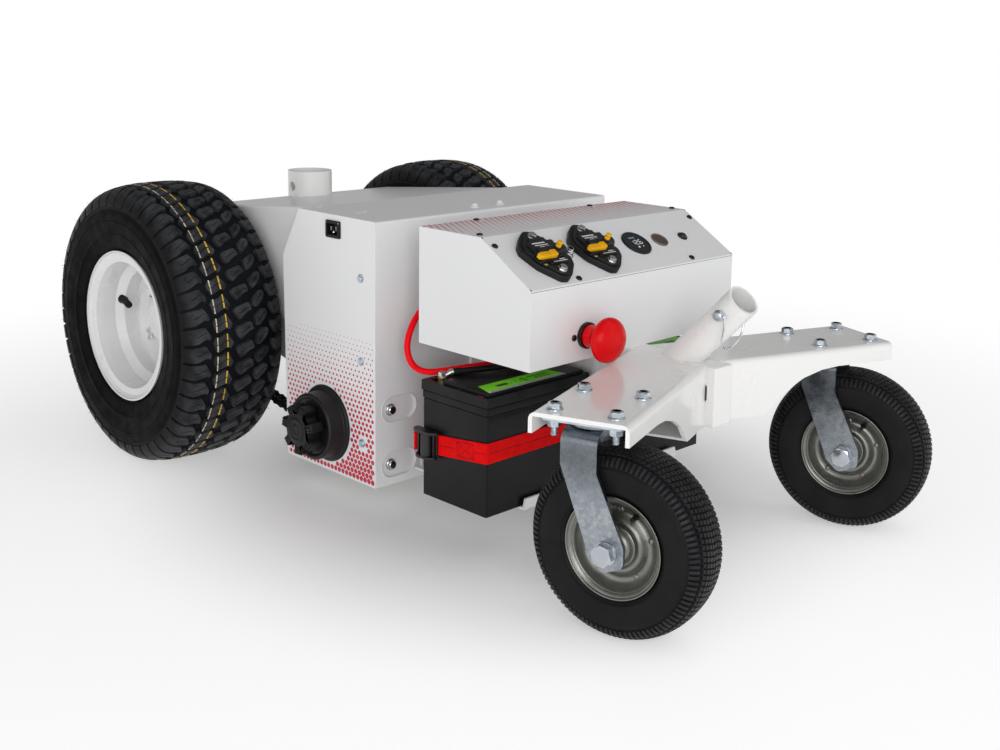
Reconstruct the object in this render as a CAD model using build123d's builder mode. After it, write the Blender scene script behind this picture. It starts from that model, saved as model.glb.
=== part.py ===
from build123d import *
import math
import os

os.makedirs("parts", exist_ok=True)

# ---------------------------------------------------------------- frame
# X across (left is -X), Y to the rear, Z up, floor at Z = 0.
# Design Y is measured from the front face of the main housing; Y0 moves
# the whole object so that the origin is the middle of its footprint.
Y0 = -58.63

# ---------------------------------------------------------------- driving dimensions (mm)
HOUSE_HALF = 237.5          # main housing half width
SHEET = 2.5                 # cover sheet
HOUSE_Z0, HOUSE_Z1 = 49.0, 430.2
BOX_HALF = 211.8            # control box half width
BOX_Z0, BOX_Z1 = 269.3, 429.9
BOX_SHEET = 2.0
SLOPE_O = (-183.1, 429.9)   # crease at the top of the control box slope (y, z)
SLOPE_L = math.hypot(91.7, 56.5)
SLOPE_N = (-56.5 / SLOPE_L, 91.7 / SLOPE_L)
COVER_HALF = 198.0          # rear axle cover half width
WHEEL_X, WHEEL_Y, WHEEL_R, WHEEL_W = 290.0, 468.5, 222.5, 172.0
AXLE_R = 12.5
RIM_FLANGE_R, RIM_FLANGE_O = 120.0, 78.0
BEAD_R = 101.6
LUG_PCR = 50.8
TUBE_R, TUBE_BORE_R, TUBE_Y, TUBE_TOP = 38.0, 34.0, 480.0, 444.5
PIN_HOLE_R, PIN_HOLE_Z = 8.2, 418.0
CHAIN_X, CHAIN_PITCH = -183.0, 15.875
N_DRIVE, N_AXLE = 22, 36
CLUTCH_Y, CLUTCH_Z = 115.0, 119.4
ARM_TOP, ARM_T, ARM_HALF, ARM_END = 269.3, 5.0, 61.0, 327.0
ARM_SWEEP = 20.0
NECK_HALF, NECK_Z0, NECK_FRONT = 19.0, 189.3, -420.0
SWIVEL_U = 262.0            # swivel axis, measured along the arm's middle line
SWIVEL_X = SWIVEL_U * math.cos(math.radians(ARM_SWEEP))
SWIVEL_Y = -333.0 - SWIVEL_U * math.sin(math.radians(ARM_SWEEP))
CASTER_R, CASTER_W, CASTER_TRAIL = 114.0, 76.0, 38.5
YAW_LEFT, YAW_RIGHT = 13.2, 19.0
LEG_OFF, LEG_T, LEG_W = 48.5, 5.0, 47.0
BOLT_U, BOLT_V = 88.0, 75.0
SOCKET_R, SOCKET_BORE_R = 22.25, 19.0
MOUTH_Y, MOUTH_Z = -444.9, 360.5
BATT_X0, BATT_X1 = 32.4, 227.4
BATT_Y0, BATT_Y1 = -215.7, -86.6
BATT_Z0, BATT_Z1 = 64.3, 225.6


# ---------------------------------------------------------------- planes
def top(z, x=0.0, y=0.0):
    """Plane facing up; sketch axes are X and Y."""
    return Plane(origin=(x, Y0 + y, z), x_dir=(1, 0, 0), z_dir=(0, 0, 1))


def side(x, y=0.0, z=0.0):
    """Plane facing +X; sketch axes are Y and Z."""
    return Plane(origin=(x, Y0 + y, z), x_dir=(0, 1, 0), z_dir=(1, 0, 0))


def front(y, x=0.0, z=0.0):
    """Plane facing -Y (the front); sketch axes are X and Z."""
    return Plane(origin=(x, Y0 + y, z), x_dir=(1, 0, 0), z_dir=(0, -1, 0))


def slope(h=0.0, x=0.0, s=0.0):
    """Plane of the control box slope, h above it, s down from the crease."""
    oy = SLOPE_O[0] + h * SLOPE_N[0] - s * SLOPE_N[1]
    oz = SLOPE_O[1] + h * SLOPE_N[1] + s * SLOPE_N[0]
    return Plane(origin=(x, Y0 + oy, oz), x_dir=(1, 0, 0), z_dir=(0, SLOPE_N[0], SLOPE_N[1]))


def axial(x, y, z, toward=-1):
    """Plane across a shaft that runs along X, facing outboard (toward = -1 is -X)."""
    return Plane(origin=(x, Y0 + y, z), x_dir=(0, 1, 0), z_dir=(toward, 0, 0))


def arm_plane(z, u=0.0, v=0.0):
    """Plane on the left arm: sketch axes are along the arm and forward."""
    c, s = math.cos(math.radians(ARM_SWEEP)), math.sin(math.radians(ARM_SWEEP))
    return Plane(origin=(-u * c + v * s, Y0 - 333.0 - u * s - v * c, z),
                 x_dir=(-c, -s, 0), z_dir=(0, 0, 1))


def offset_pts(pts, d):
    """Mitred parallel of an open polyline, d to the right of its direction."""
    out = []
    n = len(pts)
    for i, p in enumerate(pts):
        norms = []
        if i > 0:
            a = pts[i - 1]
            l = math.hypot(p[0] - a[0], p[1] - a[1])
            norms.append(((p[1] - a[1]) / l, -(p[0] - a[0]) / l))
        if i < n - 1:
            b = pts[i + 1]
            l = math.hypot(b[0] - p[0], b[1] - p[1])
            norms.append(((b[1] - p[1]) / l, -(b[0] - p[0]) / l))
        if len(norms) == 1:
            out.append((p[0] + d * norms[0][0], p[1] + d * norms[0][1]))
        else:
            k = 1 + norms[0][0] * norms[1][0] + norms[0][1] * norms[1][1]
            out.append((p[0] + d * (norms[0][0] + norms[1][0]) / k,
                        p[1] + d * (norms[0][1] + norms[1][1]) / k))
    return out


def save(builder, name):
    builder.part.label = name
    export_step(builder.part, f"parts/{name}.step")


# ================================================================ main housing
HOUSE_PROFILE = [(0, 49), (0, 430.2), (177.8, 430.2), (218.8, 356.9), (218.25, 330)]
HOUSE_INNER = offset_pts(HOUSE_PROFILE, SHEET)
SIDE_PROFILE = [(0, 49), (0, 430.2), (177.8, 430.2), (218.8, 356.9), (212.5, 49)]
POCKETS = [(-194.5, 159.5), (-194.5, 78.2), (194.5, 159.5), (194.5, 78.2)]
POCKET_BOLTS = [(-207.0, 158.0), (-206.5, 77.0), (207.0, 158.0), (206.5, 77.0)]

with BuildPart() as main_cover:
    with BuildSketch(side(-HOUSE_HALF + SHEET)):
        with BuildLine():
            FilletPolyline(*HOUSE_PROFILE, radius=3.5)
            FilletPolyline(*HOUSE_INNER, radius=1.0)
            Line(HOUSE_PROFILE[0], HOUSE_INNER[0])
            Line(HOUSE_PROFILE[-1], HOUSE_INNER[-1])
        make_face()
    extrude(amount=2 * (HOUSE_HALF - SHEET))
    # pressed pockets in the front face
    with BuildSketch(front(8.0)):
        with Locations(*POCKETS):
            SlotOverall(67.5, 42.5)
    extrude(amount=5.6)
    with BuildSketch(front(5.5)):
        with Locations(*POCKETS):
            SlotOverall(63.0, 38.0)
    extrude(amount=8.0, mode=Mode.SUBTRACT)
    with BuildSketch(front(9.0)):
        with Locations(*POCKET_BOLTS):
            Circle(4.3)
    extrude(amount=6.0, mode=Mode.SUBTRACT)
    # neck flange bolt holes and the opening behind the neck
    with BuildSketch(front(4.0)):
        with Locations((-45, 190), (45, 190), (-45, 270), (45, 270)):
            Circle(4.3)
    extrude(amount=6.0, mode=Mode.SUBTRACT)
    # top: two slots, the holes of the two dome nuts, the seam between them
    with BuildSketch(top(425.0)):
        with Locations((-192, 87)):
            SlotOverall(26, 12)
        with Locations((-204, 170)):
            Circle(6.5)
        with Locations((-25.5, 28.6), (28.4, 30.4)):
            Circle(3.2)
    extrude(amount=8.0, mode=Mode.SUBTRACT)
    with BuildSketch(top(429.2)):
        with Locations((-2, 57)):
            Rectangle(1.0, 106)
    extrude(amount=3.0, mode=Mode.SUBTRACT)
save(main_cover, "main_cover")


with BuildPart() as side_panel_left:
    with BuildSketch(side(-HOUSE_HALF)):
        with BuildLine():
            FilletPolyline(*SIDE_PROFILE, radius=3.0, close=True)
        make_face()
    extrude(amount=SHEET)
    with BuildSketch(side(-HOUSE_HALF - 1)):
        with Locations((93.7, 409.5)):
            Rectangle(28, 20)
        with Locations((CLUTCH_Y, CLUTCH_Z)):
            Circle(36.0)
        with Locations((31.9, 347.2), (30.0, 108.8), (31.9, 228.0)):
            Circle(3.4)
    extrude(amount=5.0, mode=Mode.SUBTRACT)
save(side_panel_left, "side_panel_left")

with BuildPart() as side_panel_right:
    with BuildSketch(side(HOUSE_HALF - SHEET)):
        with BuildLine():
            FilletPolyline(*SIDE_PROFILE, radius=3.0, close=True)
        make_face()
    extrude(amount=SHEET)
    with BuildSketch(side(HOUSE_HALF - SHEET - 1)):
        with Locations((31.9, 347.2), (30.0, 108.8), (31.9, 228.0)):
            Circle(3.4)
    extrude(amount=5.0, mode=Mode.SUBTRACT)
save(side_panel_right, "side_panel_right")

# ================================================================ rear axle cover
with BuildPart() as axle_cover:
    with BuildSketch(side(-COVER_HALF)):
        with BuildLine():
            Polyline((179.6, 428.2), (508.0, 397.5), (508.0, 243.0), (219.6, 243.0),
                     (219.6, 356.7), close=True)
        make_face()
    extrude(amount=2 * COVER_HALF)
    fillet(axle_cover.edges().filter_by(Axis.Y, tolerance=8).group_by(Axis.Z)[-1], radius=4)
    with BuildSketch(side(-COVER_HALF + SHEET)):
        with BuildLine():
            Polyline((170.0, 426.6), (505.5, 395.2), (505.5, 235.0), (170.0, 235.0), close=True)
        make_face()
    extrude(amount=2 * (COVER_HALF - SHEET), mode=Mode.SUBTRACT)
    # open below the rear sheet, where the driven sprocket stands
    with BuildSketch(front(515.0)):
        with Locations((0, 280)):
            Rectangle(2 * COVER_HALF + 2, 100)
    extrude(amount=12.0, mode=Mode.SUBTRACT)
    with BuildSketch(top(380.0)):
        with Locations((-66, 486), (66, 486)):
            SlotOverall(30, 8)
    extrude(amount=50.0, mode=Mode.SUBTRACT)
    # the tube stands through the top and the rear sheet
    with BuildSketch(top(300.0)):
        with Locations((0, TUBE_Y)):
            Circle(TUBE_R + 0.5)
    extrude(amount=130.0, mode=Mode.SUBTRACT)
save(axle_cover, "axle_cover")

# ================================================================ chassis frame
with BuildPart() as chassis_frame:
    # front web with returns that carry the side panels
    with BuildSketch(top(52.0)):
        with Locations((0, 10.0)):
            Rectangle(2 * (HOUSE_HALF - SHEET), 4.0)
        with Locations((-233.0, 28.0), (233.0, 28.0)):
            Rectangle(4.0, 40.0)
    extrude(amount=328.0)
    # pad behind the neck flange
    with BuildSketch(front(8.5)):
        with Locations((0, 228.0)):
            Rectangle(140, 124)
    extrude(amount=6.0)
    # floor plate
    with BuildSketch(top(49.0)):
        with Locations((0, 110.0)):
            Rectangle(2 * (HOUSE_HALF - SHEET), 204.0)
    extrude(amount=3.0)
    # side rails
    for rx in (-168.0, 162.0):
        with BuildSketch(side(rx)):
            with BuildLine():
                Polyline((11.0, 51.0), (205.0, 51.0), (250.0, 150.0), (395.0, 182.0),
                         (500.0, 182.0), (500.0, 262.0), (11.0, 262.0), close=True)
            make_face()
        extrude(amount=6.0)
    # electronics shelf and rear crossmember
    with BuildSketch(top(259.0)):
        with Locations((0, 110.0)):
            Rectangle(328.0, 200.0)
        with Locations((0, 470.0)):
            Rectangle(328.0, 60.0)
    extrude(amount=3.0)
    with BuildSketch(top(252.0)):
        with Locations((0, TUBE_Y - 5)):
            Rectangle(328.0, 50.0)
    extrude(amount=8.0)
    # neck bolts, shaft and axle openings
    with BuildSketch(front(14.0)):
        with Locations((-45, 190), (45, 190), (-45, 270), (45, 270)):
            Circle(4.3)
    extrude(amount=14.0, mode=Mode.SUBTRACT)
    with BuildSketch(front(14.0)):
        with Locations(*POCKET_BOLTS):
            Circle(4.3)
    extrude(amount=8.0, mode=Mode.SUBTRACT)
    with BuildSketch(side(-240.0)):
        with Locations((31.9, 347.2), (30.0, 108.8), (31.9, 228.0)):
            Circle(3.4)
    extrude(amount=480.0, mode=Mode.SUBTRACT)
    with BuildSketch(side(-170.0)):
        with Locations((CLUTCH_Y, CLUTCH_Z), (WHEEL_Y, WHEEL_R)):
            Circle(31.0)
    extrude(amount=10.0, mode=Mode.SUBTRACT)
    with BuildSketch(side(160.0)):
        with Locations((WHEEL_Y, WHEEL_R)):
            Circle(31.0)
    extrude(amount=10.0, mode=Mode.SUBTRACT)
save(chassis_frame, "chassis_frame")

# ================================================================ receiver tube
with BuildPart() as receiver_tube:
    with BuildSketch(top(262.0)):
        with Locations((0, TUBE_Y)):
            Circle(TUBE_R)
            Circle(TUBE_BORE_R, mode=Mode.SUBTRACT)
    extrude(amount=TUBE_TOP - 262.0)
    with BuildSketch(side(-60.0)):
        with Locations((TUBE_Y, PIN_HOLE_Z)):
            Circle(PIN_HOLE_R)
    extrude(amount=120.0, mode=Mode.SUBTRACT)
save(receiver_tube, "receiver_tube")

# ================================================================ axle, bearings, hubs
with BuildPart() as axle_bearings:
    for bx, sgn in ((-162.0, 1), (162.0, -1)):
        with BuildSketch(axial(bx, WHEEL_Y, WHEEL_R, sgn)):
            RectangleRounded(90, 56, 12)
        extrude(amount=12.0)
        with BuildSketch(axial(bx + 12.0 * sgn, WHEEL_Y, WHEEL_R, sgn)):
            Circle(28.0)
        extrude(amount=12.0)
        with BuildSketch(axial(bx - 1.0 * sgn, WHEEL_Y, WHEEL_R, sgn)):
            Circle(AXLE_R + 0.05)
        extrude(amount=30.0, mode=Mode.SUBTRACT)
save(axle_bearings, "axle_bearings")

with BuildPart() as rear_axle:
    with BuildSketch(side(-302.0, WHEEL_Y, WHEEL_R)):
        Circle(AXLE_R)
    extrude(amount=604.0)
    chamfer(rear_axle.edges().filter_by(GeomType.CIRCLE), length=1.5)
save(rear_axle, "rear_axle")

with BuildPart() as drive_hubs:
    for sgn in (-1, 1):
        with BuildSketch(axial(sgn * 236.0, WHEEL_Y, WHEEL_R, sgn)):
            Circle(26.0)
            Circle(AXLE_R, mode=Mode.SUBTRACT)
        extrude(amount=66.0)
        with BuildSketch(axial(sgn * 278.0, WHEEL_Y, WHEEL_R, sgn)):
            Circle(66.0)
            Circle(AXLE_R, mode=Mode.SUBTRACT)
        extrude(amount=8.0)
        with BuildSketch(side(sgn * 296.0 - 10.0, WHEEL_Y, WHEEL_R)):
            Circle(32.5)
            Circle(AXLE_R, mode=Mode.SUBTRACT)
            for k in range(4):
                a = math.radians(-36.87 + 90 * k)
                with Locations((LUG_PCR * math.cos(a), LUG_PCR * math.sin(a))):
                    Circle(6.0)
        extrude(amount=20.0)
        # dust cap over the axle end
        with BuildSketch(axial(sgn * 306.0, WHEEL_Y, WHEEL_R, sgn)):
            Circle(24.0)
        extrude(amount=5.0)
save(drive_hubs, "drive_hubs")

# ================================================================ drive wheels
# rim section, (offset outboard of the wheel's middle, radius), tyre side
RIM_OUT = [(78.0, 119.0), (73.5, 118.0), (70.0, 112.0), (69.0, 103.0), (60.0, 101.4),
           (38.0, 100.2), (28.0, 88.0), (-30.0, 88.0), (-40.0, 100.2), (-60.0, 101.4),
           (-69.0, 103.0), (-70.0, 112.0), (-73.5, 118.0), (-78.0, 119.0)]
RIM_IN = offset_pts(RIM_OUT, -2.8)


# sections are drawn on a plane through the axle: x = outboard, y = radius (up)
def wheel_section(sgn):
    return Plane(origin=(sgn * WHEEL_X, Y0 + WHEEL_Y, WHEEL_R), x_dir=(sgn, 0, 0), z_dir=(0, -sgn, 0))


WHEEL_AXIS = Axis(origin=(0, Y0 + WHEEL_Y, WHEEL_R), direction=(1, 0, 0))


def drive_rim(sgn):
    with BuildPart() as rim:
        with BuildSketch(wheel_section(sgn)):
            with BuildLine():
                FilletPolyline(*RIM_OUT, radius=3.4)
                FilletPolyline(*RIM_IN, radius=1.2)
                Line(RIM_OUT[0], RIM_IN[0])
                Line(RIM_OUT[-1], RIM_IN[-1])
            make_face()
            # disc
            with BuildLine():
                Polyline((-4.0, 33.0), (0.0, 33.0), (0.0, 62.0), (9.0, 74.0), (9.0, 86.6),
                         (5.0, 86.6), (5.0, 76.0), (-4.0, 64.0), close=True)
            make_face()
        revolve(axis=WHEEL_AXIS)
        with BuildSketch(axial(sgn * WHEEL_X - 15, WHEEL_Y, WHEEL_R, 1)):
            for k in range(4):
                a = math.radians(-36.87 + 90 * k)
                with Locations((LUG_PCR * math.cos(a), LUG_PCR * math.sin(a))):
                    Circle(6.6)
        extrude(amount=30.0, mode=Mode.SUBTRACT)
    return rim


drive_rim_left = drive_rim(-1)
save(drive_rim_left, "drive_rim_left")
drive_rim_right = drive_rim(1)
save(drive_rim_right, "drive_rim_right")

# tyre section: full round shoulder, hollow, open at the bead
TYRE_OUT = [(65.5, 102.9), (68.2, 106.0), (69.2, 112.4), (72.2, 119.2), (76.0, 121.6), (80.5, 132.0), (84.6, 148.0), (86.0, 168.0),
            (84.5, 188.0), (79.0, 205.0), (68.0, 214.5), (50.0, 219.5), (25.0, 222.0), (0.0, 222.5)]
TYRE_IN = [(0.0, 205.0), (45.0, 203.0), (62.0, 196.0), (72.0, 182.0), (76.0, 165.0),
           (74.0, 146.0), (67.0, 128.0), (58.0, 112.0), (55.0, 101.8)]


TYRE_LOOP = (TYRE_OUT + [(-o, r) for o, r in TYRE_OUT[-2::-1]]
             + [(-o, r) for o, r in TYRE_IN[::-1]] + TYRE_IN[1:])


def drive_tyre(sgn):
    with BuildPart() as tyre:
        with BuildSketch(wheel_section(sgn)):
            with BuildLine():
                Polyline(*TYRE_LOOP, close=True)
            make_face()
        revolve(axis=WHEEL_AXIS)
        # snap-in valve through the rim's drop centre
        with BuildSketch(side(sgn * 322.0 - 14.0, WHEEL_Y + 76.0, WHEEL_R + 18.0)):
            Circle(5.0)
        extrude(amount=28.0)
    return tyre


drive_tyre_left = drive_tyre(-1)
save(drive_tyre_left, "drive_tyre_left")
drive_tyre_right = drive_tyre(1)
save(drive_tyre_right, "drive_tyre_right")

with BuildPart() as wheel_nuts:
    for sgn in (-1, 1):
        with BuildSketch(side(sgn * 296.0 - 6.0, WHEEL_Y, WHEEL_R)):
            for k in range(4):
                a = math.radians(-36.87 + 90 * k)
                with Locations((LUG_PCR * math.cos(a), LUG_PCR * math.sin(a))):
                    RegularPolygon(9.5, 6, major_radius=False)
                    Circle(6.05, mode=Mode.SUBTRACT)
        extrude(amount=12.0)
save(wheel_nuts, "wheel_nuts")


# ================================================================ chain drive
def sprocket_points(n):
    """Tooth outline of a roller chain sprocket with n teeth."""
    pr = CHAIN_PITCH / (2 * math.sin(math.pi / n))
    ro = 0.5 * CHAIN_PITCH * (0.6 + 1 / math.tan(math.pi / n)) - 0.6
    rr = 5.2
    pts = []
    for i in range(n):
        a = 2 * math.pi * i / n
        for k in (58, 20, -20, -58):
            b = math.pi + math.radians(k) + a
            pts.append((pr * math.cos(a) + rr * math.cos(b), pr * math.sin(a) + rr * math.sin(b)))
        half = math.pi / n
        pts.append((ro * math.cos(a + half * 0.82), ro * math.sin(a + half * 0.82)))
        pts.append((ro * math.cos(a + half * 1.18), ro * math.sin(a + half * 1.18)))
    return pr, pts


PR_DRIVE, DRIVE_PTS = sprocket_points(N_DRIVE)
PR_AXLE, AXLE_PTS = sprocket_points(N_AXLE)

with BuildPart() as axle_sprocket:
    with BuildSketch(side(CHAIN_X - 4.0, WHEEL_Y, WHEEL_R)):
        with BuildLine():
            Polyline(*AXLE_PTS, close=True)
        make_face()
        with PolarLocations(60, 6):
            Circle(14.0, mode=Mode.SUBTRACT)
    extrude(amount=8.0)
    with BuildSketch(side(CHAIN_X + 4.0, WHEEL_Y, WHEEL_R)):
        Circle(27.0)
    extrude(amount=9.0)
    with BuildSketch(side(CHAIN_X - 10.0, WHEEL_Y, WHEEL_R)):
        Circle(AXLE_R)
    extrude(amount=30.0, mode=Mode.SUBTRACT)
save(axle_sprocket, "axle_sprocket")

with BuildPart() as drive_sprocket:
    with BuildSketch(side(CHAIN_X - 4.0, CLUTCH_Y, CLUTCH_Z)):
        with BuildLine():
            Polyline(*DRIVE_PTS, close=True)
        make_face()
    extrude(amount=8.0)
    with BuildSketch(side(CHAIN_X + 3.0, CLUTCH_Y, CLUTCH_Z)):
        Circle(20.0)
    extrude(amount=11.0)
    with BuildSketch(side(-252.0, CLUTCH_Y, CLUTCH_Z)):
        Circle(10.0)
    extrude(amount=118.0)
save(drive_sprocket, "drive_sprocket")


def belt_outline(r1, r2, grow):
    """Outline of a taut loop round the two sprockets, grown by grow, as two tangent lines and two arcs."""
    dy, dz = WHEEL_Y - CLUTCH_Y, WHEEL_R - CLUTCH_Z
    c = math.hypot(dy, dz)
    base = math.atan2(dz, dy)
    a = math.acos((r1 - r2) / c)          # r1 round the clutch shaft, r2 round the axle
    r1, r2 = r1 + grow, r2 + grow
    up, dn = base + a, base - a
    p1 = (CLUTCH_Y + r1 * math.cos(up), CLUTCH_Z + r1 * math.sin(up))
    p2 = (WHEEL_Y + r2 * math.cos(up), WHEEL_R + r2 * math.sin(up))
    p3 = (WHEEL_Y + r2 * math.cos(dn), WHEEL_R + r2 * math.sin(dn))
    p4 = (CLUTCH_Y + r1 * math.cos(dn), CLUTCH_Z + r1 * math.sin(dn))
    m2 = (WHEEL_Y + r2 * math.cos(base), WHEEL_R + r2 * math.sin(base))
    m1 = (CLUTCH_Y - r1 * math.cos(base), CLUTCH_Z - r1 * math.sin(base))
    return p1, p2, m2, p3, p4, m1


with BuildPart() as drive_chain:
    for x0 in (CHAIN_X - 8.0, CHAIN_X + 5.0):
        with BuildSketch(side(x0)):
            p1, p2, m2, p3, p4, m1 = belt_outline(PR_DRIVE, PR_AXLE, 7.0)
            with BuildLine():
                Line(p1, p2)
                ThreePointArc(p2, m2, p3)
                Line(p3, p4)
                ThreePointArc(p4, m1, p1)
            make_face()
            p1, p2, m2, p3, p4, m1 = belt_outline(PR_DRIVE, PR_AXLE, -7.0)
            with BuildLine():
                Line(p1, p2)
                ThreePointArc(p2, m2, p3)
                Line(p3, p4)
                ThreePointArc(p4, m1, p1)
            make_face(mode=Mode.SUBTRACT)
        extrude(amount=3.0)
    # rollers in the free runs
    p1, p2, m2, p3, p4, m1 = belt_outline(PR_DRIVE, PR_AXLE, 0.0)
    for a, b in ((p1, p2), (p3, p4)):
        l = math.hypot(b[0] - a[0], b[1] - a[1])
        n = int((l - 2 * 40.0) / CHAIN_PITCH)
        start = (l - (n - 1) * CHAIN_PITCH) / 2
        with BuildSketch(side(CHAIN_X - 5.5)):
            for i in range(n):
                t = (start + i * CHAIN_PITCH) / l
                with Locations((a[0] + (b[0] - a[0]) * t, a[1] + (b[1] - a[1]) * t)):
                    Circle(5.0)
        extrude(amount=11.0)
save(drive_chain, "drive_chain")

# ================================================================ motor, gearbox, controller
with BuildPart() as gearbox:
    with BuildSketch(side(-160.0, CLUTCH_Y, CLUTCH_Z)):
        RectangleRounded(100, 104, 12)
    extrude(amount=110.0)
    with BuildSketch(top(52.0)):
        with Locations((-105.0, CLUTCH_Y)):
            Rectangle(100, 120)
    extrude(amount=18.0)
    with BuildSketch(side(-161.0, CLUTCH_Y, CLUTCH_Z)):
        Circle(10.05)
    extrude(amount=41.0, mode=Mode.SUBTRACT)
save(gearbox, "gearbox")

with BuildPart() as drive_motor:
    with BuildSketch(side(-50.0, CLUTCH_Y, CLUTCH_Z)):
        Circle(56.0)
    extrude(amount=10.0)
    with BuildSketch(side(-40.0, CLUTCH_Y, CLUTCH_Z)):
        Circle(50.0)
    extrude(amount=165.0)
    with BuildSketch(side(125.0, CLUTCH_Y, CLUTCH_Z)):
        Circle(46.0)
    extrude(amount=22.0)
    with BuildSketch(top(165.0)):
        with Locations((105.0, CLUTCH_Y - 16), (105.0, CLUTCH_Y + 16)):
            Circle(4.0)
    extrude(amount=20.0)
save(drive_motor, "drive_motor")

with BuildPart() as motor_controller:
    with BuildSketch(top(262.0)):
        with Locations((0, 110.0)):
            Rectangle(170, 120)
    extrude(amount=6.0)
    with BuildSketch(top(268.0)):
        with Locations((0, 110.0)):
            RectangleRounded(140, 110, 6)
    extrude(amount=44.0)
    with BuildSketch(top(312.0)):
        with GridLocations(14, 1, 9, 1):
            with Locations((0, 110.0)):
                Rectangle(4, 100)
    extrude(amount=12.0)
save(motor_controller, "motor_controller")

# ================================================================ clutch housing and knob
DRUM_AXIS = Axis(origin=(0, Y0 + CLUTCH_Y, CLUTCH_Z), direction=(1, 0, 0))
DRUM_SECTION = Plane(origin=(-HOUSE_HALF, Y0 + CLUTCH_Y, CLUTCH_Z), x_dir=(-1, 0, 0), z_dir=(0, 1, 0))

with BuildPart() as motor_drum:
    with BuildSketch(DRUM_SECTION):
        with BuildLine():
            Polyline((0, 36), (0, 56), (2.5, 56), (4, 54.5), (4, 50), (5, 49), (27, 49), (29.5, 46.5),
                     (29.5, 42), (26, 40), (26, 10.2), (20, 10.2), (20, 36), close=True)
        make_face()
    revolve(axis=DRUM_AXIS)
save(motor_drum, "motor_drum")

with BuildPart() as clutch_knob:
    with BuildSketch(axial(-269.0, CLUTCH_Y, CLUTCH_Z, -1)):
        Circle(30.0)
        with PolarLocations(28.0, 7):
            Circle(9.5)
    extrude(amount=21.0)
    fillet(clutch_knob.edges().group_by(Axis.X)[0], radius=2.5)
    with BuildSketch(axial(-290.0, CLUTCH_Y, CLUTCH_Z, -1)):
        Circle(17.0)
    extrude(amount=2.0)
    with BuildSketch(axial(-256.0, CLUTCH_Y, CLUTCH_Z, -1)):
        Circle(9.8)
    extrude(amount=14.0)
save(clutch_knob, "clutch_knob")

# ================================================================ charger inlet
with BuildPart() as charger_inlet:
    with BuildSketch(axial(-HOUSE_HALF, 93.7, 409.5, -1)):
        RectangleRounded(33, 25, 2)
    extrude(amount=3.0)
    with BuildSketch(axial(-215.0, 93.7, 409.5, -1)):
        Rectangle(27.4, 19.4)
    extrude(amount=22.6)
    with BuildSketch(axial(-231.0, 93.7, 409.5, -1)):
        Rectangle(23, 15)
    extrude(amount=12.0, mode=Mode.SUBTRACT)
save(charger_inlet, "charger_inlet")

# ================================================================ neck and arms
with BuildPart() as neck_tube:
    with BuildSketch(front(0.0)):
        with Locations((0, (NECK_Z0 + ARM_TOP) / 2)):
            Rectangle(2 * NECK_HALF, ARM_TOP - NECK_Z0)
    extrude(amount=-NECK_FRONT)
    fillet(neck_tube.edges().filter_by(Axis.Y), radius=3.0)
    fillet(neck_tube.faces().sort_by(Axis.Y)[0].edges(), radius=2.5)
    with BuildSketch(front(0.0)):
        with Locations((0, (NECK_Z0 + ARM_TOP) / 2)):
            Rectangle(2 * NECK_HALF - 6, ARM_TOP - NECK_Z0 - 6)
    extrude(amount=-NECK_FRONT - 3.0, mode=Mode.SUBTRACT)
    with BuildSketch(front(0.0)):
        with Locations((0, 228.0)):
            RectangleRounded(120, 112, 6)
        with Locations((-45, 190), (45, 190), (-45, 270), (45, 270)):
            Circle(4.3, mode=Mode.SUBTRACT)
    extrude(amount=6.0)
    # drain slot in the left wall near the front
    with BuildSketch(side(-NECK_HALF - 1)):
        with Locations((-404.0, 234.0)):
            SlotOverall(22, 7, rotation=90)
    extrude(amount=6.0, mode=Mode.SUBTRACT)
save(neck_tube, "neck_tube")

FLANGE_LOW = [(-60, 150), (-60, NECK_Z0), (112, NECK_Z0), (126, 201.5), (139, 215.0), (160, 226.6),
              (176, 234.0), (205, 242.0), (232, 244.5), (345, 244.5), (345, 150)]


def arm_side(v):
    """Upright plane along the left arm, v forward of its middle; sketch axes along and up."""
    c, s = math.cos(math.radians(ARM_SWEEP)), math.sin(math.radians(ARM_SWEEP))
    return Plane(origin=(v * s, Y0 - 333.0 - v * c, 0), x_dir=(-c, -s, 0), z_dir=(-s, c, 0))


with BuildPart() as arm_left:
    with BuildSketch(arm_plane(NECK_Z0)):
        with Locations((ARM_END / 2 - 30, 0)):
            Rectangle(ARM_END + 60, 2 * ARM_HALF)
    extrude(amount=ARM_TOP - NECK_Z0)
    fillet(arm_left.faces().sort_by(Axis.Z)[-1].edges().sort_by(SortBy.LENGTH)[-2:], radius=9)
    # hollow between the flanges, over the closing plate
    with BuildSketch(arm_plane(NECK_Z0 + 5.0)):
        with Locations((ARM_END / 2 - 30, 0)):
            Rectangle(ARM_END + 80, 2 * (ARM_HALF - ARM_T))
    extrude(amount=ARM_TOP - ARM_T - NECK_Z0 - 5.0, mode=Mode.SUBTRACT)
    # flange outline
    with BuildSketch(arm_side(ARM_HALF + 5)):
        with BuildLine():
            Polyline(*FLANGE_LOW, close=True)
        make_face()
    extrude(amount=2 * ARM_HALF + 10, mode=Mode.SUBTRACT)
    # meet the neck
    with BuildSketch(top(150.0)):
        with Locations((100 - NECK_HALF, -330)):
            Rectangle(200, 400)
    extrude(amount=160.0, mode=Mode.SUBTRACT)
    with BuildSketch(arm_plane(ARM_TOP - ARM_T - 1)):
        with Locations((SWIVEL_U, 0)):
            with GridLocations(BOLT_U, BOLT_V, 2, 2):
                Circle(4.5)
    extrude(amount=8.0, mode=Mode.SUBTRACT)
save(arm_left, "arm_left")

with BuildPart() as arm_right:
    add(arm_left.part)
    mirror(about=Plane.YZ)
    with BuildSketch(top(100.0)):
        with Locations((-250, -350)):
            Rectangle(500, 500)
    extrude(amount=300.0, mode=Mode.SUBTRACT)
save(arm_right, "arm_right")

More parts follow.
